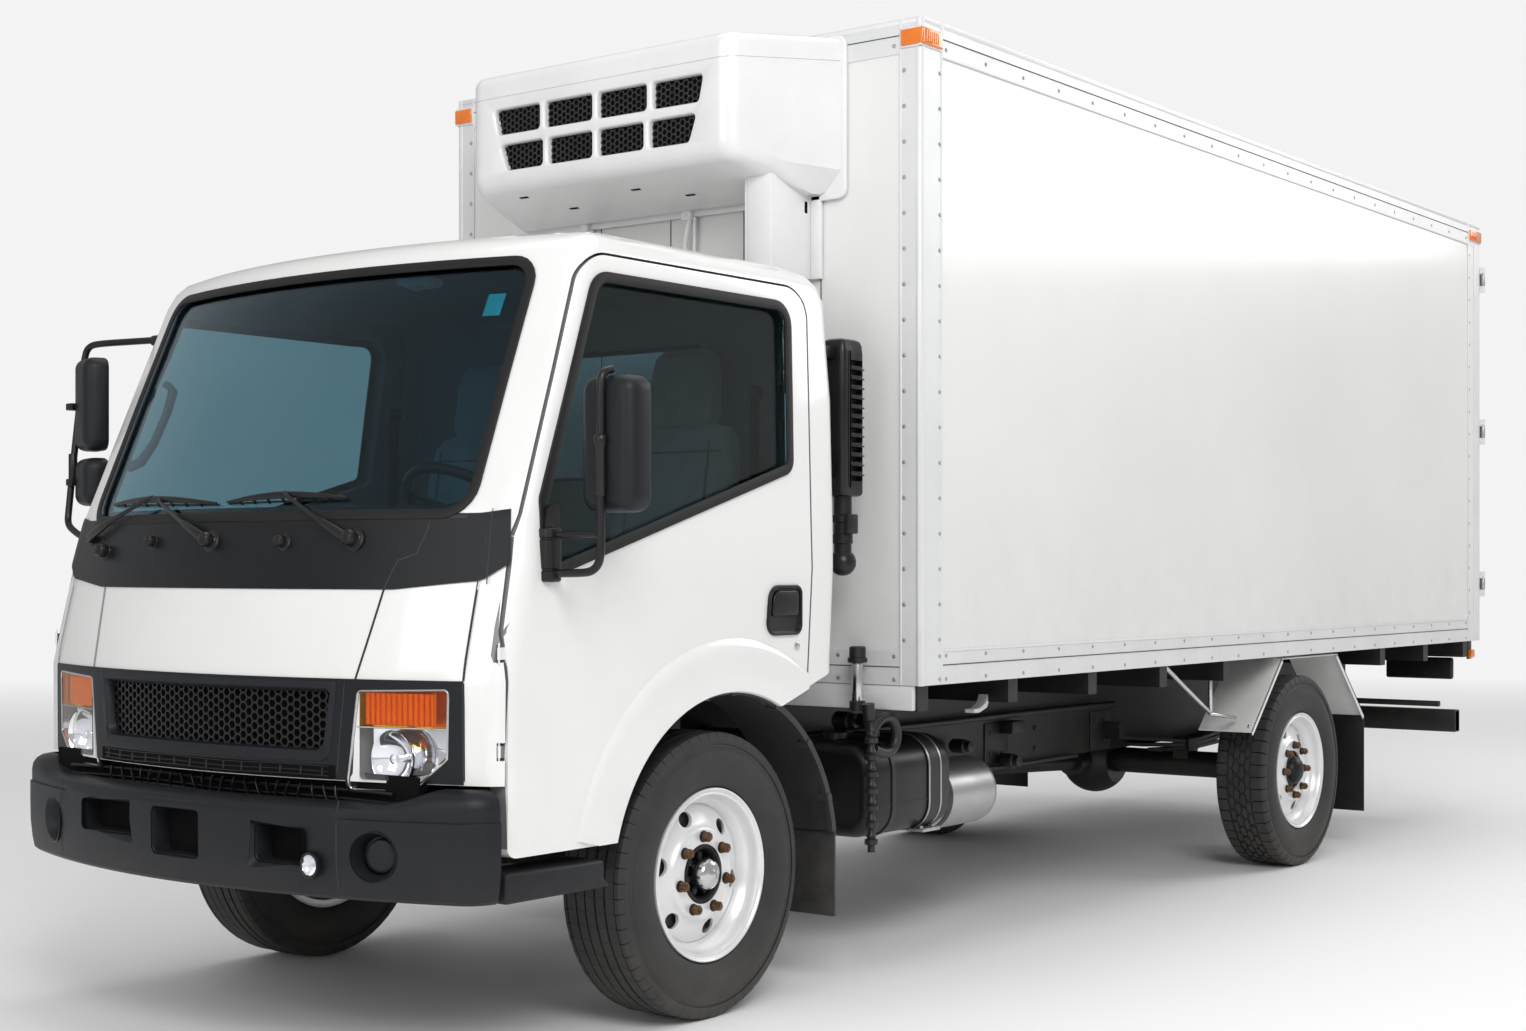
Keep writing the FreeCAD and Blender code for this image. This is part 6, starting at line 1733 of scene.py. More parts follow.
def build_mirrors():
    housing, glass = mirror_head("mirror_housing_left", 1.017, 1.189, 1.386, 1.724, -0.699)
    x = 1.102
    path = [(0.935, 1.236), (1.045, 1.236), (1.078, 1.243), (1.097, 1.262), (x, 1.292), (x, 1.4),
        (x, 1.6), (x, 1.7)]
    bend = [at(a, -0.708, b) for a, b in path] + [at(x, -0.704, 1.722), at(x, -0.69, 1.735),
        at(x, -0.668, 1.738)]
    tube_obj = tube("tube", bend, 0.0105, 5)
    sleeve = lathe("sleeve", mm((0, 12), (2, 13.5), (120, 13.5), (122, 15), (132, 17.5),
        (142, 17.5), (150, 15), (152, 12), (152, 10), (0, 10)), at(x, -0.708, 1.425), UP, 28)
    blk = loft("block", shell_rows([(0.893, -0.737, 0.014), (0.958, -0.737, 0.022),
        (0.958, -0.682, 0.018), (0.893, -0.682, 0.014)], ((1.214, 0.006), (1.218, 0.001),
        (1.24, 0.0), (1.242, 0.003), (1.246, 0.003), (1.248, 0.0), (1.318, 0.0), (1.32, 0.003),
        (1.324, 0.003), (1.326, 0.0), (1.346, 0.001), (1.35, 0.006)), at))
    cap = lathe("cap", mm((0, 15), (8, 15), (11, 12), (11, 0.4)), at(0.926, -0.709, 1.348), UP, 24)
    link = strut("link", [at(0.945, -0.709, 1.332), at(1.02, -0.709, 1.332),
        at(1.094, -0.709, 1.332)], [(0.016, 0.016)] * 3, square=0.8)
    clamp = block("clamp", at(x - 0.017, -0.7, 1.54), at(x + 0.017, -0.688, 1.57), 0.003)
    base = plate("base", rounded([(-0.742, 1.235, 0.03), (-0.676, 1.25, 0.02), (-0.676, 1.41, 0.02),
        (-0.718, 1.41, 0.02)], 0, 5), lambda a, b: at(0.929, a, b), (0.01, 0, 0))
    keep(join("mirror_arm_left", tube_obj, sleeve, blk, cap, link, clamp, base), "cab_door_left",
        "black", (), 40)
    keep(housing, "cab_door_left", "bumper", ("mirror_left",), 40)
    keep(glass, "cab_door_left", "mirror", (), 40)

    centre = at(-1.094, -0.61, 1.6)
    heads, glasses = [], []
    for z0, z1 in ((1.611, 1.899), (1.441, 1.589)):
        head, glass = mirror_head("mirror_housing", -1.168, -1.02, z0, z1, -0.648, 0.88, 0.034)
        heads.append(turned(head, math.radians(-20), "Z", centre))
        glasses.append(turned(glass, math.radians(-20), "Z", centre))
    x = -1.176
    tube_obj = tube("tube", [at(-0.87, -0.518, 1.95), at(-1.0, -0.542, 1.95),
        at(-1.12, -0.563, 1.95), at(-1.16, -0.571, 1.944), at(-1.177, -0.576, 1.915),
        at(x, -0.59, 1.8), at(x, -0.615, 1.6), at(x, -0.634, 1.43), at(x + 0.004, -0.641, 1.392),
        at(x + 0.03, -0.648, 1.37), at(-1.05, -0.665, 1.338), at(-0.915, -0.688, 1.3)], 0.0105, 5)
    sleeves = []
    for z, y in ((1.78, -0.592), (1.56, -0.619)):
        sleeves.append(bar("sleeve", at(x, y, z - 0.045), at(x, y, z + 0.045), 0.0135, 24, 0.003))
    blk = loft("block", shell_rows([(-0.958, -0.719, 0.014), (-0.893, -0.719, 0.014),
        (-0.893, -0.661, 0.014), (-0.958, -0.661, 0.014)],
        ((1.26, 0.006), (1.264, 0.001), (1.3, 0.0), (1.303, 0.003), (1.306, 0.0), (1.336, 0.001),
        (1.34, 0.006)), at))
    links = [block("link", at(x - 0.004, -0.644, z - 0.011), at(x + 0.03, -0.611, z + 0.011), 0.004)
        for z in (1.515, 1.75)]
    top = block("top", at(-0.903, -0.537, 1.932), at(-0.852, -0.493, 1.964), 0.009, 3)
    keep(join("mirror_arm_right", tube_obj, blk, top, *(sleeves + links)), "cab_door_right",
        "black", (), 40)
    keep(join("mirror_housings_right", *heads), "cab_door_right", "bumper",
        ("mirror_right",), 40)
    keep(join("mirror_glasses_right", *glasses), "cab_door_right", "mirror", (),
        40)


# ---- air intake
def build_intake():
    x0, x1, y0, y1 = 0.787, 0.879, 0.641, 0.754
    levels = ((1.466, 0.014), (1.47, 0.004), (1.478, 0.0), (1.9, 0.0), (1.925, 0.003),
        (1.938, 0.01), (1.944, 0.022))
    tower = loft("tower", shell_rows([(x0, y0, 0.016), (x1, y0, 0.016), (x1, y1, 0.016),
        (x0, y1, 0.016)], levels, at))
    slot = block("slot", at(x1 - 0.026, y0 + 0.04, 1.512), at(x1 + 0.02, y1 - 0.006, 1.5285), 0.003)
    array(slot, 13, (0, 0, 0.0292))
    cut(tower, slot)
    blades = block("blade", at(x1 - 0.024, y0 + 0.041, 1.529), at(x1 + 0.0015, y1 - 0.002, 1.5335),
        0.0015)
    array(blades, 12, (0, 0, 0.0292))
    rim = side_plate("rim", rounded([(y0 + 0.028, 1.492, 0.01), (y0 + 0.036, 1.492, 0.004),
        (y0 + 0.036, 1.905, 0.004), (y0 + 0.028, 1.905, 0.01)], 0, 3), x1 - 0.002, x1 + 0.002)
    neck = lathe("neck", mm((0, 24), (0, 27), (30, 27), (34, 31), (60, 31), (62, 28), (95, 28),
        (98, 33), (118, 33), (121, 28), (178, 28), (178, 24)), at(0.835, 0.7, 1.29), UP, 40)
    clip = block("clip", at(0.858, 0.672, 1.352), at(0.874, 0.728, 1.412), 0.004)
    ball = lathe("ball", mm((-41, 0.3), (-39, 14), (-34, 24), (-24, 34), (-10, 41), (6, 41),
        (20, 37), (30, 29)), at(0.835, 0.7, 1.265), UP, 40)
    brackets = [block("bracket", at(0.802, 0.562, z), at(0.848, 0.644, z + 0.036), 0.004)
        for z in (1.522, 1.882)]
    keep(join("intake_tower", tower, blades, rim, neck, clip, ball, *brackets), "cab", "black",
        ("air_intake",), 35)


# ---- inside the cab
WHEEL_HUB = Vector((0.42, -0.485, 1.37))
WHEEL_AXIS = Vector((0, 0.62, 0.785)).normalized()


def build_steering_wheel():
    hub = at(*WHEEL_HUB)
    ring = lathe("ring", [(0.03 + 0.0148 * math.sin(math.tau * k / 12),
        0.195 + 0.0148 * math.cos(math.tau * k / 12)) for k in range(12)], hub, WHEEL_AXIS, 72)
    centre = lathe("centre", mm((0, 30), (0, 52), (6, 54.5), (22, 54.5), (33, 48), (39, 34),
        (40, 0.4), (0, 0.4)), hub, WHEEL_AXIS, 40)
    side = Vector((1, 0, 0))
    down = WHEEL_AXIS.cross(side).normalized()
    pieces = [ring, centre]
    for angle in (90, 210, 330):
        out = side * math.cos(math.radians(angle)) + down * math.sin(math.radians(angle))
        pieces.append(strut("spoke", [hub + WHEEL_AXIS * 0.022 + out * 0.03,
            hub + WHEEL_AXIS * 0.024 + out * 0.09, hub + WHEEL_AXIS * 0.03 + out * 0.19],
            [(0.046, 0.014), (0.03, 0.012), (0.02, 0.012)], WHEEL_AXIS))
    keep(join("wheel_of_steering", *pieces), "steering_wheel", "black",
        ("steering_wheel",), 40)


def build_interior():
    pieces = []
    hood = loft("hood", [[at(x, y, z) for y, z in ((-0.86, 1.365), (-0.64, 1.3), (-0.6, 1.345),
        (-0.63, 1.392 - drop), (-0.74, 1.402 - drop), (-0.86, 1.395))]
        for x, drop in ((0.2, 0.03), (0.26, 0.004), (0.42, 0.0), (0.58, 0.004), (0.64, 0.03))])
    round_edges(hood, 0.01, 3, 30)
    pieces.append(hood)
    for x0, x1, z0, z1 in ((-0.74, -0.6, 1.26, 1.34), (-0.16, 0.12, 1.25, 1.345),
            (0.7, 0.8, 1.26, 1.34)):
        pieces.append(block("vent", at(x0, -0.655, z0), at(x1, -0.618, z1), 0.008, 3))
    for k in range(4):
        pieces.append(block("louvre", at(-0.73, -0.622, 1.272 + 0.017 * k),
            at(-0.61, -0.61, 1.277 + 0.017 * k), 0.002))
    console = block("console", at(-0.13, -0.7, 0.95), at(0.13, -0.1, 1.145), 0.03, 4)
    lever = tube("lever", [at(0, -0.3, 1.14), at(0.01, -0.29, 1.26), at(0.02, -0.25, 1.36)], 0.009,
        4)
    grip = lathe("grip", mm((-26, 0.3), (-24, 12), (-8, 19), (8, 21), (20, 16), (26, 0.3)),
        at(0.02, -0.25, 1.38), UP, 24)
    keep(join("dash_details", *pieces), "cab", "trim")
    keep(join("console_and_lever", console, lever, grip), "cab", "trim")
    handles = []
    for side in (-1, 1):
        x = side * 0.755
        handles.append(strut("handle", [at(x, -0.72, 1.545), at(x - side * 0.035, -0.7, 1.56),
            at(x - side * 0.045, -0.66, 1.62), at(x - side * 0.045, -0.61, 1.72),
            at(x - side * 0.035, -0.585, 1.78), at(x, -0.58, 1.8)],
            [(0.03, 0.022), (0.028, 0.02), (0.024, 0.018), (0.024, 0.018), (0.028, 0.02),
            (0.03, 0.022)], Vector((-side, 0, 0))))
    keep(join("grab_handles", *handles), "cab", "trim")
    lamp = block("roof_lamp", at(-0.06, -0.3, 2.072), at(0.06, -0.22, 2.098), 0.006, 3)
    keep(lamp, "cab", "patch_pale")
    for tag, side in SIDES:
        rest = strut("arm_rest_" + tag, [at(side * 0.815, -0.46, 1.17),
            at(side * 0.805, -0.3, 1.215), at(side * 0.8, -0.02, 1.235),
            at(side * 0.805, 0.16, 1.2)], [(0.05, 0.05), (0.075, 0.06), (0.075, 0.06),
            (0.05, 0.05)], Vector((-side, 0, 0)))
        keep(rest, "cab_door_" + tag, "trim")
        belt = strut("belt_" + tag, [at(side * 0.775, 0.345, 1.2), at(side * 0.765, 0.345, 1.5),
            at(side * 0.765, 0.35, 1.76)], [(0.045, 0.002)] * 3, Vector((-side, 0, 0)))
        guide = block("guide", at(side * 0.778, 0.325, 1.745), at(side * 0.752, 0.375, 1.785),
            0.006, 2)
        keep(edit_all(join("belt_" + tag, belt, guide), face_out), "cab", "black")


# Seat padding: mesh size, inner pressure, frames of swelling and the most it may swell.
PAD_VOXEL, PAD_PRESSURE, PAD_FRAMES, PAD_SWELL = 0.0055, 4.0, 12, 0.007


def seat_pad(name, sections):
    pad = loft(name, sections)
    modify(pad, "REMESH", mode="VOXEL", voxel_size=PAD_VOXEL, use_smooth_shade=True)
    press(pad)
    return pad


def press(pad):
    """Blows the pad up a little under its cover, so that it bulges as padding does."""
    before = [v.co.copy() for v in pad.data.vertices]
    only(pad)
    bpy.ops.object.modifier_add(type="CLOTH")
    cloth = pad.modifiers[-1]
    cloth.settings.use_pressure = True
    cloth.settings.uniform_pressure_force = PAD_PRESSURE
    cloth.settings.effector_weights.gravity = 0.0
    cloth.settings.tension_stiffness = 40
    cloth.settings.bending_stiffness = 8
    cloth.point_cache.frame_start = 1
    cloth.point_cache.frame_end = PAD_FRAMES
    for frame_number in range(1, PAD_FRAMES + 1):
        bpy.context.scene.frame_set(frame_number)
    bpy.ops.object.modifier_apply(modifier=cloth.name)
    for vertex, start in zip(pad.data.vertices, before):
        step = vertex.co - start
        if step.length > PAD_SWELL:
            vertex.co = start + step.normalized() * PAD_SWELL
    bpy.context.scene.frame_set(1)
    return pad


def oval(x, y, z, half_x, half_y, dip=0.0, power=0.42, points=40):
    """Closed level row of a padded shape; its front side dips in the middle."""
    return [at(x + a, y + b + (dip * (1 - (a / half_x) ** 2) if b < 0 else 0), z)
        for a, b in soft_box(half_x, half_y, power, points)]


def lying(x, z, y, half_x, half_z, dip=0.0, power=0.42, points=40):
    """As oval, standing across the truck: its upper side dips in the middle."""
    return [at(x + a, y, z + b - (dip * (1 - (a / half_x) ** 2) if b > 0 else 0))
        for a, b in soft_box(half_x, half_z, power, points)]


def seat_back_y(z):
    """Y of the middle of a seat's back, which leans to the rear with height."""
    return 0.345 + (z - 1.12) * 0.165


def build_seats():
    for tag, side in SIDES:
        x = side * 0.42
        base = loft("seat_base_" + tag, shell_rows([(x - 0.198, -0.058, 0.02),
            (x + 0.198, -0.058, 0.02), (x + 0.198, 0.298, 0.02), (x - 0.198, 0.298, 0.02)],
            ((0.939, 0.01), (0.945, 0.0), (1.03, 0.0), (1.05, 0.01)), at))
        keep(base, "cab", "trim", ("seats",) if side > 0 else ())
        rows = []
        for y, half_x, half_z, lift in ((-0.145, 0.17, 0.03, -0.012),
                (-0.128, 0.215, 0.052, -0.004), (-0.09, 0.232, 0.062, 0.0),
                (0.05, 0.238, 0.06, 0.002), (0.2, 0.236, 0.058, 0.0), (0.265, 0.225, 0.054, 0.0),
                (0.29, 0.18, 0.036, 0.0)):
            rows.append(lying(x, 1.118 + lift, y, half_x, half_z, 0.016))
        cushion = seat_pad("seat_cushion_" + tag, rows)
        rows = []
        for z, half_x, half_y in ((1.15, 0.17, 0.03), (1.168, 0.218, 0.052), (1.22, 0.23, 0.06),
                (1.4, 0.228, 0.058), (1.55, 0.222, 0.052), (1.64, 0.208, 0.046),
                (1.675, 0.178, 0.038), (1.688, 0.12, 0.022)):
            rows.append(oval(x, seat_back_y(z), z, half_x, half_y, 0.022))
        back = seat_pad("seat_back_" + tag, rows)
        rows = []
        for z, half_x, half_y in ((1.672, 0.085, 0.02), (1.684, 0.118, 0.036), (1.72, 0.128, 0.042),
                (1.84, 0.122, 0.04), (1.895, 0.108, 0.036), (1.918, 0.08, 0.022)):
            rows.append(oval(x, 0.44 + (z - 1.7) * 0.09, z, half_x, half_y, 0.012))
        rest = seat_pad("head_rest_" + tag, rows)
        for pad in (cushion, back, rest):
            keep(pad, "cab", "seat", (), 60)
        seams = []
        for edge in (-1, 1):
            run = []
            for z in (1.2, 1.3, 1.42, 1.54, 1.63):
                run.append(at(x + edge * 0.15, seat_back_y(z) - 0.0505, z))
            seams.append(tube("piping", run, 0.0032, 2))
        across = [at(x + a, seat_back_y(1.6) - 0.049 + 0.016 * (1 - (a / 0.2) ** 2), 1.6)
            for a in (-0.19, -0.12, -0.04, 0.04, 0.12, 0.19)]
        seams.append(tube("piping", across, 0.003, 2))
        keep(join("seat_piping_" + tag, *seams), "cab", "trim", (), 60)


# ---- chassis pieces
def bolt_row(places, axis, radius=0.009):
    """Hexagon bolt heads on washers."""
    return [lathe("bolt", [(-0.001, 0.0003), (-0.001, radius * 1.5), (0.002, radius * 1.5),
        (0.002, radius), (0.008, radius), (0.009, radius * 0.8), (0.009, 0.0003)], place, axis, 6)
        for place in places]


def build_tank():
    inner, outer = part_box("fuel_tank")[0].x + 0.038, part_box("fuel_tank")[1].x - 0.006
    inner = max(inner, 0.43)
    low, high = 0.392, 0.7
    corners = [(inner, low, 0.095), (outer, low, 0.095), (outer, high, 0.1), (inner, high, 0.095)]
    rows = []
    for y, inset_by in ((0.9005, 0.046), (0.905, 0.03), (0.914, 0.016), (0.93, 0.005), (0.948, 0.0),
            (1.352, 0.0), (1.37, 0.005), (1.386, 0.016), (1.395, 0.03), (1.3995, 0.046)):
        rows.append([at(a, y, b) for a, b in outline(corners, inset_by, 8, 5)])
    tank = loft("tank", rows)
    seam_ring = []
    for grow, z in ((0.0, 0.003), (0.003, 0.0018), (0.003, -0.0018), (0.0, -0.003)):
        edge = soft_box((outer - inner) / 2 + grow - 0.0006, 0.2485 + grow, 0.24, 44)
        seam_ring.append([at((inner + outer) / 2 + a, 1.15 + b, 0.498 + z) for a, b in edge])
    ring = loft("tank_seam", seam_ring, caps=False)
    cap = lathe("tank_cap", mm((0, 34), (6, 34), (8, 40), (26, 40), (30, 36), (30, 0.4)),
        at((inner + outer) / 2, 0.965, 0.694), (0, 0, 1), 32)
    keep(join("fuel_tank_shell", tank, ring, cap), "chassis", "black",
        ("fuel_tank",), 40)
    straps, edges = [], []
    for y, half, key in ((1.03, 0.011, 0), (1.27, 0.034, 1)):
        rows = []
        for dy, out in ((-half, 0.0), (-half, 0.0045), (half, 0.0045), (half, 0.0)):
            rows.append([at(a, y + dy, b) for a, b in outline(corners, -out, 8, 5)])
        straps.append(loft("strap", rows, caps=False))
        if key:
            for dy in (-half, half):
                rows = [[at(a, y + dy + d, b) for a, b in outline(corners, -out, 8, 5)]
                    for d, out in ((-0.004, 0.003), (-0.004, 0.0058), (0.004, 0.0058),
                    (0.004, 0.003))]
                edges.append(loft("edge", rows, caps=False))
            edges.append(block("bracket", at(outer - 0.06, y - 0.05, low - 0.0055),
                at(outer - 0.01, y + 0.055, low + 0.006), 0.002))
            edges.append(block("foot", at(outer - 0.35, y - 0.028, low - 0.0058),
                at(outer - 0.04, y + 0.028, low - 0.001), 0.001))
        straps.append(block("hook", at(0.402, y - half, 0.54), at(inner + 0.012, y + half, 0.63),
            0.003))
    edges += bolt_row([at(outer - 0.035, 1.315, low + 0.004),
        at(outer - 0.035, 1.245, low + 0.004)], (0, 0, 1), 0.008)
    keep(join("tank_straps", *straps), "chassis", "frame", (), 40)
    keep(join("tank_strap_edges", *edges), "chassis", "aluminium", (), 40)

    x = 0.6
    body = lathe("air_bottle", mm((1435, 0.4), (1434, 60), (1438, 88), (1448, 106), (1462, 116),
        (1478, 118), (1790, 118), (1806, 116), (1820, 106), (1830, 88), (1834, 60), (1833, 0.4)),
        at(x, 0, 0.47), BACK, 56)
    bands = []
    y = 1.5
    bands.append(lathe("band", [(y - 0.016, 0.1175), (y - 0.016, 0.1205), (y + 0.016, 0.1205),
        (y + 0.016, 0.1175)], at(x, 0, 0.47), BACK, 56))
    bands.append(block("hanger", at(0.402, y - 0.02, 0.525), at(x - 0.04, y + 0.02, 0.585), 0.003))
    keep(body, "chassis", "aluminium", ("air_cylinder",), 40)
    keep(join("air_bottle_bands", *bands), "chassis", "frame", (), 40)

    inner = -0.44
    case = block("case", at(inner - 0.36, 0.902, 0.402), at(inner - 0.001, 1.318, 0.642), 0.012, 3)
    lid = block("lid", at(inner - 0.365, 0.896, 0.64), at(inner + 0.005, 1.325, 0.689), 0.014, 3)
    ribs = [block("rib", at(inner - 0.3645, 0.94 + 0.085 * k, 0.42),
        at(inner - 0.356, 0.96 + 0.085 * k, 0.63), 0.002) for k in range(5)]
    stay = block("stay", at(inner - 0.01, 0.962, 0.522), at(-0.402, 1.258, 0.628), 0.004)
    keep(join("battery_case", case, lid, stay, *ribs), "chassis", "black",
        ("battery_box",), 35)


def build_mudguards():
    for tag, side in SIDES:
        rows = []
        steps = 44
        for k in range(steps + 1):
            angle = math.radians(8 + (128 - 8) * k / steps)
            c, s_ = math.cos(angle), math.sin(angle)
            row = []
            for x, r in ((0.692, 0.5065), (0.905, 0.5065), (0.905, 0.499), (0.922, 0.499),
                    (0.9235, 0.5165), (0.9, 0.5165), (0.9, 0.515), (0.692, 0.515)):
                row.append(at(side * x, ARCH_Y + r * c, AXLE_Z + r * s_))
            rows.append(row)
        guard = loft("guard", rows)
        flap = block("flap", at(side * 0.7, ARCH_Y + 0.509, 0.215),
            at(side * 0.918, ARCH_Y + 0.517, AXLE_Z + 0.1), 0.002)
        bead = [block("bead", at(side * 0.74, 0.5375, z), at(side * 0.885, 0.5395, z + 0.006),
            0.001) for z in (0.25, 0.27, 0.29)]
        clips = []
        for degrees in (20, 42, 64, 88):
            angle = math.radians(degrees)
            c, s_ = math.cos(angle), math.sin(angle)
            clips.append(strut("clip", [at(side * 0.89, ARCH_Y + 0.506 * c, AXLE_Z + 0.506 * s_),
                at(side * 0.926, ARCH_Y + 0.506 * c, AXLE_Z + 0.506 * s_)], [(0.026, 0.02)] * 2,
                Vector((0, c, s_))))
        keep(join("mudguard_" + tag, guard, flap, *(bead + clips)), "chassis", "guard",
            ("front_mudguards",) if side > 0 else (), 40)


FENDER_Y0, FENDER_Y1, FENDER_Y2, FENDER_Y3 = -0.5, -0.205, 0.385, 0.69
FENDER_LOW, FENDER_HIGH = 0.59, 0.874


def build_fenders():
    for tag, side in SIDES:
        x0, x1 = 0.742, 0.973
        y = WHEELBASE
        plates = []
        for (ya, za), (yb, zb) in (((FENDER_Y0, FENDER_LOW), (FENDER_Y1, FENDER_HIGH)),
                ((FENDER_Y2, FENDER_HIGH), (FENDER_Y3, FENDER_LOW))):
            run = Vector((0, yb - ya, zb - za))
            up = Vector((0, -run.z, run.y)).normalized() * 0.0035
            sheet = plate("sheet", [(x0, 0), (x1, 0), (x1, 1), (x0, 1)],
                lambda a, b: at(side * a, y + ya, za) + run * b - up * 1.6, up * 1.6)
            edge = plate("edge", [(x1 - 0.003, 0), (x1, 0), (x1, 1), (x1 - 0.003, 1)],
                lambda a, b: at(side * a, y + ya, za) + run * b - up * 6, up * 6)
            plates += [sheet, edge]
        plates.append(block("top", at(side * x0, y + FENDER_Y1, FENDER_HIGH - 0.005),
            at(side * x1, y + FENDER_Y2, FENDER_HIGH), 0.001))
        plates.append(block("pad", at(side * (x0 + 0.04), y - 0.16, FENDER_HIGH - 0.002),
            at(side * (x1 - 0.06), y + 0.16, BOX_LOW - 0.001)))
        heads = [at(side * 0.955, y + FENDER_Y0 + 0.018, FENDER_LOW + 0.02),
            at(side * 0.955, y + FENDER_Y3 - 0.02, FENDER_LOW + 0.022)]
        keep(join("fender_sheets_" + tag, *plates), "chassis", "fender",
            ("rear_fenders",) if side > 0 else (), 30)
        keep(join("fender_screws_" + tag, *bolt_row(heads, (0, -0.7, 0.7), 0.005)), "chassis",
            "bright")
        a, b = sorted((side * x0, side * x1))
        flap = block("flap", at(a, y + FENDER_Y3 - 0.008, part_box("rear_fenders")[0].z),
            at(b, y + FENDER_Y3, FENDER_LOW + 0.002), 0.002)
        hold = block("hold", at(a + 0.01, y + FENDER_Y3 - 0.011, FENDER_LOW - 0.03),
            at(b - 0.01, y + FENDER_Y3 - 0.006, FENDER_LOW), 0.001)
        keep(join("fender_flap_" + tag, flap, hold), "chassis", "rubber")
        stay = [bar("stay", at(side * 0.905, 3.115, 0.675), at(side * 0.905, 2.725, 0.872), 0.0085,
            20, 0.002), bar("stay", at(side * 0.905, 3.115, 0.675), at(side * 0.905, 3.115, 0.87),
            0.0085, 20, 0.002), bar("stay", at(side * 0.905, 3.11, 0.673),
            at(side * 0.905, 3.345, 0.645), 0.0075, 20, 0.002)]
        keep(join("fender_stay_" + tag, *stay), "chassis", "bright", (), 40)


def build_underrun():
    low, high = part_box("underrun_bar")
    top = 0.54
    pieces = [block("beam", Vector((low.x, high.y - 0.06, 0.43)), Vector((high.x, high.y, top)),
        0.007, 3)]
    for side in (-1, 1):
        x = side * 0.38
        pieces.append(block("leg", at(x - 0.02, BOX_REAR - 0.375, 0.44),
            at(x + 0.02, BOX_REAR - 0.295, 0.502), 0.003))
        pieces.append(block("arm", at(x - 0.02, BOX_REAR - 0.335, 0.442),
            at(x + 0.02, BOX_REAR - 0.09, 0.498), 0.003))
        pieces.append(block("end", Vector((side * 0.9185 - 0.0015, high.y - 0.058, 0.432)),
            Vector((side * 0.9185 + 0.0015, high.y - 0.002, top - 0.002))))
    keep(join("underrun_beam", *pieces), "chassis", "frame", ("underrun_bar",), 30)
    thin = block("thin", at(-0.9, BOX_REAR - 0.3, 0.565), at(0.9, BOX_REAR - 0.27, 0.592), 0.004)
    hangers = [block("hanger", at(side * 0.38 - 0.012, BOX_REAR - 0.32, 0.5),
        at(side * 0.38 + 0.012, BOX_REAR - 0.265, 0.6), 0.003) for side in (-1, 1)]
    keep(join("lamp_rail", thin, *hangers), "chassis", "frame")


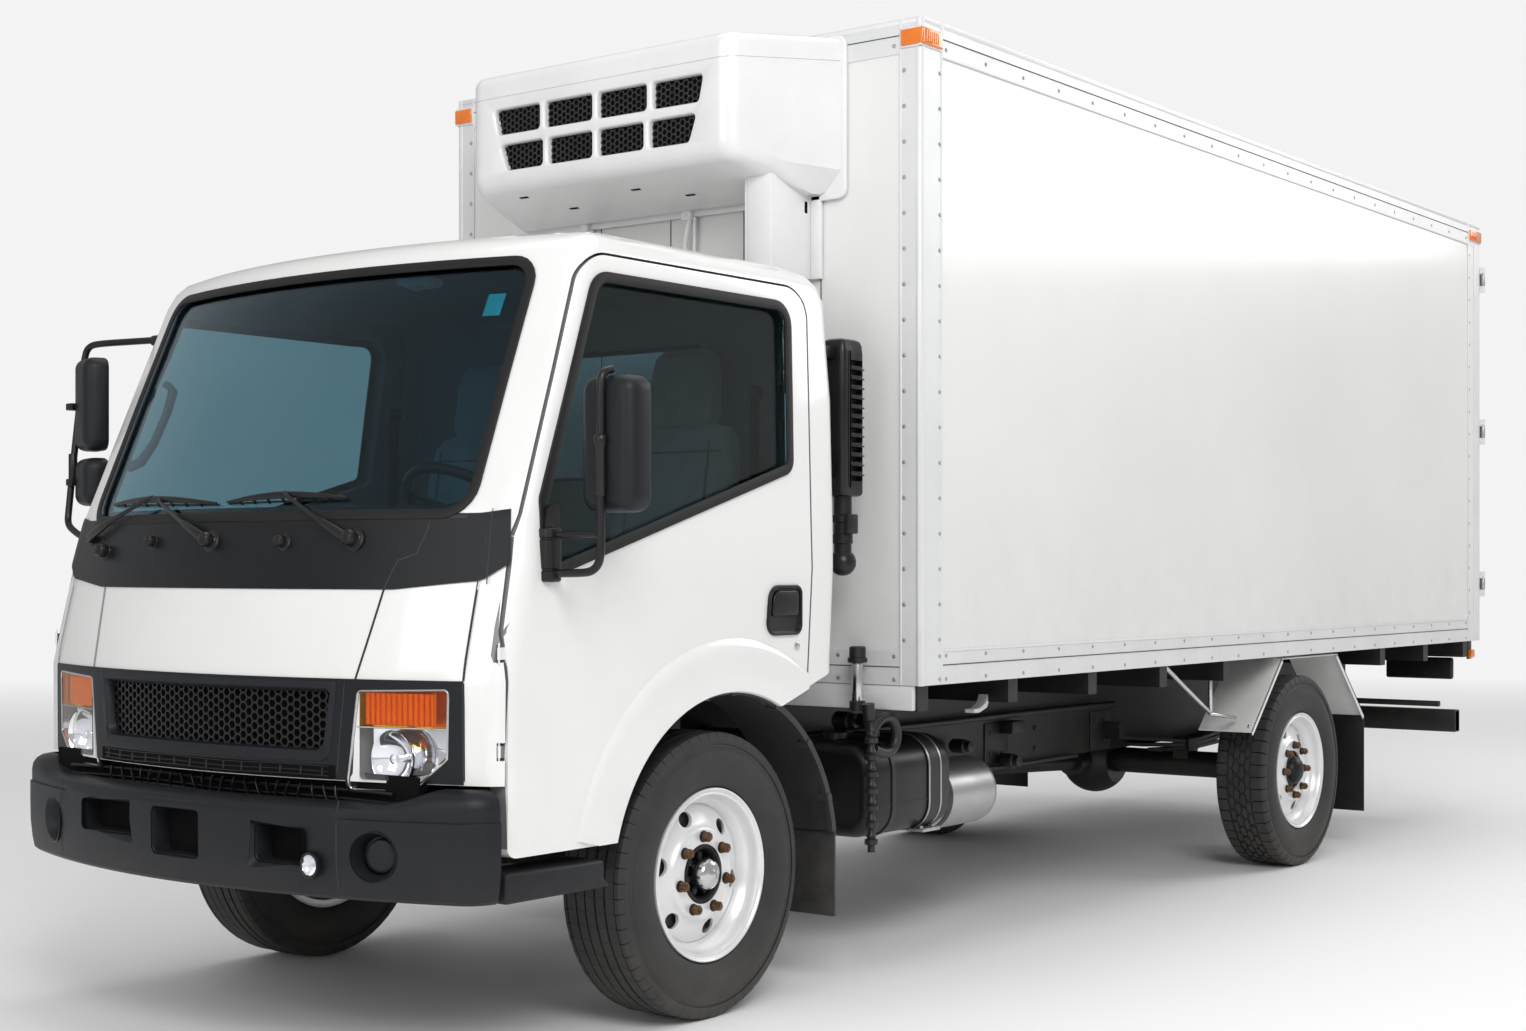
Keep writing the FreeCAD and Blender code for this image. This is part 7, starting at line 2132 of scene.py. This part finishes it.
def build_under_box():
    """White cross member, brackets, loom, valves and side lamps below the box."""
    white, black, metal = [], [], []
    white.append(block("cross", at(-0.965, BOX_FRONT + 0.004, BOX_LOW - 0.078),
        at(0.965, BOX_FRONT + 0.075, BOX_LOW - 0.0008), 0.004))
    for side in (-1, 1):
        white.append(plate("bent", [(0.02, 0), (0.15, 0.0), (0.15, -0.01), (0.1, -0.014),
            (0.045, -0.098), (0.0, -0.112), (-0.035, -0.112), (-0.035, -0.1), (0.0, -0.098),
            (0.035, -0.084), (0.075, -0.012), (0.02, -0.01)],
            lambda a, b: at(side * 0.86, 1.4 + a, BOX_LOW - 0.001 + b), (side * 0.035, 0, 0)))
        for y in (1.35, 2.35):
            black.append(block("angle", at(side * 0.402, y, 0.62), at(side * 0.46, y + 0.09, 0.666),
                0.003))
        places = []
        for y in (1.05, 1.13, 1.62, 1.7, 2.28, 2.36, 2.62, 3.1, 3.18, 4.4, 4.48, 5.2):
            places += [at(side * 0.4005, y, 0.545), at(side * 0.4005, y, 0.625)]
        metal += bolt_row(places, (side, 0, 0), 0.0085)
        for y in (1.0, 2.24, 3.06, 4.36):
            black.append(block("joint", at(side * 0.4, y, 0.508),
                at(side * 0.4055, y + 0.17, 0.662), 0.001))
    black.append(tube("hose", [at(0.86, 0.8, 0.83), at(0.86, 0.81, 0.76), at(0.84, 0.86, 0.735),
        at(0.78, 0.95, 0.735), at(0.7, 1.02, 0.76), at(0.62, 1.1, 0.755)], 0.02, 5))
    black.append(tube("loom", [at(0.43, 0.9, 0.69), at(0.44, 1.3, 0.695), at(0.435, 1.8, 0.688),
        at(0.44, 2.4, 0.694), at(0.435, 3.2, 0.69)], 0.012, 4))
    black.append(tube("loom", [at(0.425, 1.0, 0.5), at(0.428, 1.5, 0.492), at(0.426, 2.2, 0.498),
        at(0.43, 2.9, 0.5)], 0.008, 4))
    for x, y, z, r in ((0.62, 1.02, 0.755, 0.03), (0.46, 1.98, 0.6, 0.026),
            (0.45, 2.34, 0.52, 0.028)):
        black.append(lathe("valve", [(-0.04, 0.0004), (-0.04, r * 0.7), (-0.03, r), (0.02, r),
            (0.025, r * 0.8), (0.045, r * 0.75), (0.05, 0.0004)], at(x, y, z), (1, 0, 0), 24))
    profile = [(0.0, 0.0004), (0.0, 0.012)]
    for k in range(7):
        z = 0.02 + 0.052 * k
        profile += [(z, 0.011), (z + 0.004, 0.021), (z + 0.018, 0.021), (z + 0.022, 0.013),
            (z + 0.03, 0.016), (z + 0.038, 0.011)]
    profile += [(0.4, 0.011), (0.4, 0.0004)]
    black.append(lathe("drop", profile, at(0.872, 0.8, 0.375), UP, 20))
    black.append(tube("loop", [at(0.872, 0.8, 0.74), at(0.875, 0.83, 0.78), at(0.875, 0.9, 0.79),
        at(0.873, 0.945, 0.74), at(0.872, 0.93, 0.685), at(0.87, 0.875, 0.668),
        at(0.868, 0.82, 0.69)], 0.016, 5))
    bulb = lathe("bulb", mm((-20, 0.3), (-18, 9), (-4, 12), (8, 11), (16, 7), (19, 0.3)),
        at(0.88, 1.61, 0.822), UP, 24)
    white.append(bulb)
    pipe = bar("coolant_pipe", at(0.8, 0.83, 0.825), at(0.8, 0.83, 0.96), 0.0185, 28, 0.003)
    cap = lathe("cap", mm((0, 26), (0, 31), (14, 31), (16, 26), (46, 26), (50, 22), (50, 0.4)),
        at(0.8, 0.83, 0.955), UP, 28)
    black.append(cap)
    black.append(lathe("base", mm((-30, 20), (-30, 25), (0, 25), (0, 20)), at(0.8, 0.83, 0.835), UP,
        24))
    keep(join("under_box_white", *white), "chassis", "rail", (), 40)
    keep(join("under_box_black", *black), "chassis", "frame", (), 40)
    keep(join("under_box_bolts", *metal), "chassis", "cast", (), 40)
    keep(pipe, "chassis", "bright", (), 40)
    lamps, bases = [], []
    for side in (-1, 1):
        lamps.append(block("lamp", at(side * 0.95, 5.955, 0.797), at(side * 0.972, 6.001, 0.838),
            0.006, 3))
        bases.append(block("base", at(side * 0.946, 5.949, 0.79),
            at(side * 0.952, 6.007, BOX_LOW - 0.001), 0.002))
    keep(join("side_markers", *lamps), "chassis", "marker", (), 40)
    keep(join("side_marker_brackets", *bases), "chassis", "frame")


def build_rear():
    """Rear doors with their hardware and seals, and the tail lamps."""
    low, high, half = 0.99, 2.855, 0.949
    back = BOX_REAR
    for tag, side in SIDES:
        body = "box_door_" + tag
        door = recast("rear_door_" + tag, "rear_leaf_" + tag, "panel", 0.0012)
        door.data.materials.append(FINISHES["aluminium"])
        for face in door.data.polygons:
            if face.center.y - AXLE_Y > back + 0.0008:
                face.material_index = 1
        corners = [(0.006, low + 0.003, 0.012), (half - 0.003, low + 0.003, 0.012),
            (half - 0.003, high - 0.003, 0.012), (0.006, high - 0.003, 0.012)]
        rings = [[at(side * a, back + y, b) for a, b in outline(corners, inset_by, 4, 10)]
            for inset_by, y in ((0.0, -0.004), (0.0, 0.003), (0.003, 0.0055), (0.012, 0.0055),
            (0.015, 0.003), (0.015, -0.001))]
        keep(loft("rear_door_seal_" + tag, rings, caps=False), body, "rubber", (),
            40)
        metal = []
        for z in (low + 0.175, (low + high) / 2, high - 0.175):
            metal += bolt_row([at(side * a, back + 0.023, z + dz) for a in (0.845, 0.895)
                for dz in (-0.015, 0.015)], BACK, 0.0065)
        for z in (low + 0.055, low + 0.555, (low + high) / 2 + 0.06, high - 0.055):
            metal += bolt_row([at(side * a, back + 0.027, z) for a in (0.187, 0.233)], BACK, 0.0065)
        for z in (low + 0.014, high - 0.014):
            metal.append(strut("cam", [at(side * 0.21, back + 0.024, z - 0.012),
                at(side * 0.21, back + 0.024, z + 0.012)], [(0.044, 0.031)] * 2, BACK, square=0.7))
        metal.append(strut("grip", [at(side * a, back + 0.027, low + 0.341)
            for a in (0.205, 0.25, 0.3, 0.5, 0.54)], [(0.036, 0.025), (0.03, 0.018), (0.028, 0.016),
            (0.028, 0.018), (0.034, 0.02)], BACK))
        keep(join("rear_hardware_" + tag, *metal), body, "bright", (), 40)
        keepers = [block("keeper", at(side * 0.21 - 0.03, back - 0.002, z),
            at(side * 0.21 + 0.03, back + 0.012, z + 0.03), 0.003)
            for z in (low - 0.04, high + 0.012)]
        keep(join("lock_keepers_" + tag, *keepers), "chassis", "aluminium")

        housing = block("housing", at(side * 0.561, back - 0.109, 0.691),
            at(side * 0.899, back - 0.078, 0.799), 0.01, 3)
        hanger = block("hanger", at(side * 0.702, back - 0.094, 0.79),
            at(side * 0.758, back - 0.078, BOX_LOW - 0.001), 0.003)
        keep(join("tail_lamp_housing_" + tag, housing, hanger), "chassis", "black",
            ("tail_lamps",) if side > 0 else (), 35)
        for part, a0, a1, key in (("tail", 0.675, 0.893, "tail_red"),
                ("turn", 0.621, 0.673, "marker"), ("reverse", 0.567, 0.619, "patch_pale")):
            a, b = sorted((side * a0, side * a1))
            lens = block("lens", at(a, back - 0.08, 0.697), at(b, back - 0.0615, 0.793), 0.006, 3)
            ribs = [block("rib", at(a + 0.006, back - 0.063, 0.705 + 0.0135 * k),
                at(b - 0.006, back - 0.0605, 0.711 + 0.0135 * k), 0.001) for k in range(6)]
            keep(join("tail_lamp_%s_%s" % (part, tag), lens, *ribs), "chassis", key, (),
                35)


# ---- stage
# Name, place, size and power of each lamp, and the point they all face.
STUDIO_LAMPS = (("key", (7.0, -7.5, 6.5), 4.0, 490), ("fill", (0.5, -11.5, 4.5), 5.0, 175),
    ("back", (5.0, 8.0, 6.0), 5.0, 260), ("top", (0.0, 0.0, 9.0), 7.0, 260))
LIT_POINT = Vector((0, 0, 1.2))
CAMERA_PLACE, CAMERA_TURN = (4.5557, -7.0467, 1.2542), 37.209
CAMERA_LENS, CAMERA_SHIFT = 50.105, 0.0331
# Distances from the middle between which the floor fades to the backdrop's white.
FADE_START, FADE_END = 6.0, 17.0
BACKDROP, SOFT_LIGHT = 0.9, 0.45


def build_stage():
    clear_selection()
    bpy.ops.mesh.primitive_plane_add(size=60, location=(0, 0, 0))
    floor = named("studio_floor")
    material = bpy.data.materials.new("studio_floor")
    material.use_nodes = True
    tree = material.node_tree
    tree.nodes.clear()
    output = tree.nodes.new("ShaderNodeOutputMaterial")
    shader = node(tree, "BsdfPrincipled", {"Base Color": (0.93, 0.93, 0.93, 1), "Roughness": 0.6})
    far = node(tree, "VectorMath", {0: tree.nodes.new("ShaderNodeTexCoord").outputs["Object"]},
        operation="LENGTH")
    fade = node(tree, "MapRange", {"Value": far.outputs["Value"], "From Min": FADE_START,
        "From Max": FADE_END})
    rays = tree.nodes.new("ShaderNodeLightPath")
    seen = node(tree, "Math", {0: fade.outputs[0], 1: rays.outputs["Is Camera Ray"]},
        operation="MULTIPLY")
    pale = node(tree, "Emission", {"Color": (1, 1, 1, 1), "Strength": BACKDROP})
    mix = tree.nodes.new("ShaderNodeMixShader")
    tree.links.new(seen.outputs[0], mix.inputs[0])
    tree.links.new(shader.outputs[0], mix.inputs[1])
    tree.links.new(pale.outputs[0], mix.inputs[2])
    tree.links.new(mix.outputs[0], output.inputs["Surface"])
    floor.data.materials.append(material)

    world = bpy.data.worlds.new("studio")
    bpy.context.scene.world = world
    world.use_nodes = True
    tree = world.node_tree
    tree.nodes.clear()
    output = tree.nodes.new("ShaderNodeOutputWorld")
    rays = tree.nodes.new("ShaderNodeLightPath")
    soft = node(tree, "Background", {"Color": (1, 1, 1, 1), "Strength": SOFT_LIGHT})
    white = node(tree, "Background", {"Color": (1, 1, 1, 1), "Strength": BACKDROP})
    mix = tree.nodes.new("ShaderNodeMixShader")
    seen = node(tree, "Math", {0: rays.outputs["Is Camera Ray"],
        1: rays.outputs["Is Transmission Ray"]}, operation="MAXIMUM")
    tree.links.new(seen.outputs[0], mix.inputs[0])
    tree.links.new(soft.outputs[0], mix.inputs[1])
    tree.links.new(white.outputs[0], mix.inputs[2])
    tree.links.new(mix.outputs[0], output.inputs["Surface"])

    for name, place, size, power in STUDIO_LAMPS:
        bpy.ops.object.light_add(type="AREA", location=place)
        lamp = bpy.context.object
        lamp.name = "studio_" + name
        lamp.data.size = size
        lamp.data.energy = power
        lamp.rotation_euler = (LIT_POINT - Vector(place)).to_track_quat("-Z", "Y").to_euler()

    bpy.ops.object.camera_add(location=CAMERA_PLACE, rotation=(math.radians(90), 0,
        math.radians(CAMERA_TURN)))
    camera = bpy.context.object
    camera.name = "studio_camera"
    camera.data.lens = CAMERA_LENS
    camera.data.sensor_width = 36
    camera.data.shift_y = CAMERA_SHIFT
    bpy.context.scene.camera = camera
    bpy.context.scene.view_settings.view_transform = "Standard"


def build_chassis():
    plain = {"frame_rails": "frame", "engine_block": "cast", "front_axle": "frame",
        "rear_axle": "frame", "knuckle_left": "cast", "knuckle_right": "cast", "tie_rod": "frame",
        "box_subframe": "frame", "dashboard": "trim"}
    for node_name, key in plain.items():
        dress(node_name, key)


def at_each_wheel(build):
    for end in ("front", "rear"):
        for side_name, side in SIDES:
            build(end, end + "_" + side_name, side)


class TRUCK_OT_finishes(bpy.types.Operator):
    """Makes the paint, plastic, metal, glass and cloth finishes"""
    bl_idname = "truck.finishes"
    bl_label = "Finishes"

    def execute(self, context):
        make_finishes()
        return {"FINISHED"}


class TRUCK_OT_chassis(bpy.types.Operator):
    """Gives the frame, axles, engine, subframe and dashboard their finishes"""
    bl_idname = "truck.chassis"
    bl_label = "Chassis"

    def execute(self, context):
        build_chassis()
        return {"FINISHED"}


class TRUCK_OT_tyres(bpy.types.Operator):
    """Models the four tyres with their treads"""
    bl_idname = "truck.tyres"
    bl_label = "Tyres"

    def execute(self, context):
        at_each_wheel(build_tyre)
        return {"FINISHED"}


class TRUCK_OT_wheels(bpy.types.Operator):
    """Models the wheels, nuts, hubs and drums"""
    bl_idname = "truck.wheels"
    bl_label = "Wheels"

    def execute(self, context):
        at_each_wheel(build_wheel)
        return {"FINISHED"}


class TRUCK_OT_cab_shell(bpy.types.Operator):
    """Paints the cab's panels and adds its band and seams"""
    bl_idname = "truck.cab_shell"
    bl_label = "Cab Shell"

    def execute(self, context):
        build_cab_shell()
        return {"FINISHED"}


class TRUCK_OT_doors(bpy.types.Operator):
    """Paints the doors and adds their handles"""
    bl_idname = "truck.doors"
    bl_label = "Cab Doors"

    def execute(self, context):
        build_doors()
        return {"FINISHED"}


class TRUCK_OT_glass(bpy.types.Operator):
    """Glazes the cab and adds the rubber seals"""
    bl_idname = "truck.glass"
    bl_label = "Glass"

    def execute(self, context):
        build_glass()
        return {"FINISHED"}


class TRUCK_OT_grille(bpy.types.Operator):
    """Models the grille's honeycomb mesh"""
    bl_idname = "truck.grille"
    bl_label = "Grille"

    def execute(self, context):
        build_grille()
        return {"FINISHED"}


class TRUCK_OT_headlamps(bpy.types.Operator):
    """Models the two headlamps"""
    bl_idname = "truck.headlamps"
    bl_label = "Headlamps"

    def execute(self, context):
        build_headlamps()
        return {"FINISHED"}


class TRUCK_OT_bumper(bpy.types.Operator):
    """Models the front bumper"""
    bl_idname = "truck.bumper"
    bl_label = "Bumper"

    def execute(self, context):
        build_bumper()
        return {"FINISHED"}


class TRUCK_OT_box(bpy.types.Operator):
    """Finishes the insulated box"""
    bl_idname = "truck.box"
    bl_label = "Box Body"

    def execute(self, context):
        build_box()
        return {"FINISHED"}


class TRUCK_OT_rivets(bpy.types.Operator):
    """Adds the rivet rows of the box"""
    bl_idname = "truck.rivets"
    bl_label = "Rivets"

    def execute(self, context):
        build_rivets()
        return {"FINISHED"}


class TRUCK_OT_unit(bpy.types.Operator):
    """Models the cooling unit, its air openings and pipes"""
    bl_idname = "truck.unit"
    bl_label = "Cooling Unit"

    def execute(self, context):
        build_unit()
        return {"FINISHED"}


class TRUCK_OT_wipers(bpy.types.Operator):
    """Models the wipers and knobs under the windscreen"""
    bl_idname = "truck.wipers"
    bl_label = "Wipers"

    def execute(self, context):
        build_wipers()
        return {"FINISHED"}


class TRUCK_OT_mirrors(bpy.types.Operator):
    """Models the mirrors and their arms"""
    bl_idname = "truck.mirrors"
    bl_label = "Mirrors"

    def execute(self, context):
        build_mirrors()
        return {"FINISHED"}


class TRUCK_OT_intake(bpy.types.Operator):
    """Models the louvred intake tower"""
    bl_idname = "truck.intake"
    bl_label = "Air Intake"

    def execute(self, context):
        build_intake()
        return {"FINISHED"}


class TRUCK_OT_steering(bpy.types.Operator):
    """Models the steering wheel"""
    bl_idname = "truck.steering"
    bl_label = "Steering Wheel"

    def execute(self, context):
        build_steering_wheel()
        return {"FINISHED"}


class TRUCK_OT_interior(bpy.types.Operator):
    """Adds the trim inside the cab"""
    bl_idname = "truck.interior"
    bl_label = "Interior"

    def execute(self, context):
        build_interior()
        return {"FINISHED"}


class TRUCK_OT_seats(bpy.types.Operator):
    """Models the padded seats"""
    bl_idname = "truck.seats"
    bl_label = "Seats"

    def execute(self, context):
        build_seats()
        return {"FINISHED"}


class TRUCK_OT_tank(bpy.types.Operator):
    """Models the fuel tank, air cylinder and battery box"""
    bl_idname = "truck.tank"
    bl_label = "Tank and Cylinder"

    def execute(self, context):
        build_tank()
        return {"FINISHED"}


class TRUCK_OT_mudguards(bpy.types.Operator):
    """Models the front mudguards"""
    bl_idname = "truck.mudguards"
    bl_label = "Mudguards"

    def execute(self, context):
        build_mudguards()
        return {"FINISHED"}


class TRUCK_OT_fenders(bpy.types.Operator):
    """Models the rear fenders and their stays"""
    bl_idname = "truck.fenders"
    bl_label = "Rear Fenders"

    def execute(self, context):
        build_fenders()
        return {"FINISHED"}


class TRUCK_OT_underrun(bpy.types.Operator):
    """Models the rear underrun bar"""
    bl_idname = "truck.underrun"
    bl_label = "Underrun Bar"

    def execute(self, context):
        build_underrun()
        return {"FINISHED"}


class TRUCK_OT_rear(bpy.types.Operator):
    """Models the rear doors' hardware and the tail lamps"""
    bl_idname = "truck.rear"
    bl_label = "Rear Doors and Lamps"

    def execute(self, context):
        build_rear()
        return {"FINISHED"}


class TRUCK_OT_under_box(bpy.types.Operator):
    """Adds what hangs below the box"""
    bl_idname = "truck.under_box"
    bl_label = "Under the Box"

    def execute(self, context):
        build_under_box()
        return {"FINISHED"}


class TRUCK_OT_stage(bpy.types.Operator):
    """Adds the floor, the lights and the camera"""
    bl_idname = "truck.stage"
    bl_label = "Stage"

    def execute(self, context):
        build_stage()
        return {"FINISHED"}


STEPS = (
    TRUCK_OT_finishes, TRUCK_OT_chassis, TRUCK_OT_tyres, TRUCK_OT_wheels, TRUCK_OT_cab_shell,
    TRUCK_OT_doors, TRUCK_OT_glass, TRUCK_OT_grille, TRUCK_OT_headlamps, TRUCK_OT_bumper,
    TRUCK_OT_box, TRUCK_OT_rivets, TRUCK_OT_unit, TRUCK_OT_wipers, TRUCK_OT_mirrors,
    TRUCK_OT_intake, TRUCK_OT_steering, TRUCK_OT_interior, TRUCK_OT_seats, TRUCK_OT_tank,
    TRUCK_OT_mudguards, TRUCK_OT_fenders, TRUCK_OT_underrun, TRUCK_OT_rear, TRUCK_OT_under_box,
    TRUCK_OT_stage,
)


class TRUCK_PT_build(bpy.types.Panel):
    """Lists the building steps of the truck"""
    bl_label = "Refrigerated Truck"
    bl_idname = "TRUCK_PT_build"
    bl_space_type = "VIEW_3D"
    bl_region_type = "UI"
    bl_category = "Truck"

    def draw(self, context):
        scene = context.scene
        for group in (scene.truck_paint, scene.truck_trim):
            for key in group.__annotations__:
                self.layout.prop(group, key)
        for step in STEPS:
            self.layout.operator(step.bl_idname)


CLASSES = (TruckPaint, TruckTrim, *STEPS, TRUCK_PT_build)


def register():
    for cls in CLASSES:
        bpy.utils.register_class(cls)
    bpy.types.Scene.truck_paint = bpy.props.PointerProperty(type=TruckPaint)
    bpy.types.Scene.truck_trim = bpy.props.PointerProperty(type=TruckTrim)


def unregister():
    del bpy.types.Scene.truck_trim
    del bpy.types.Scene.truck_paint
    for cls in reversed(CLASSES):
        bpy.utils.unregister_class(cls)


def main():
    register()
    for step in STEPS:
        getattr(bpy.ops.truck, step.bl_idname.split(".")[1])()
    form = bpy.data.objects.get("cab_form")
    if form:
        bpy.data.objects.remove(form)


if __name__ == "__main__":
    main()
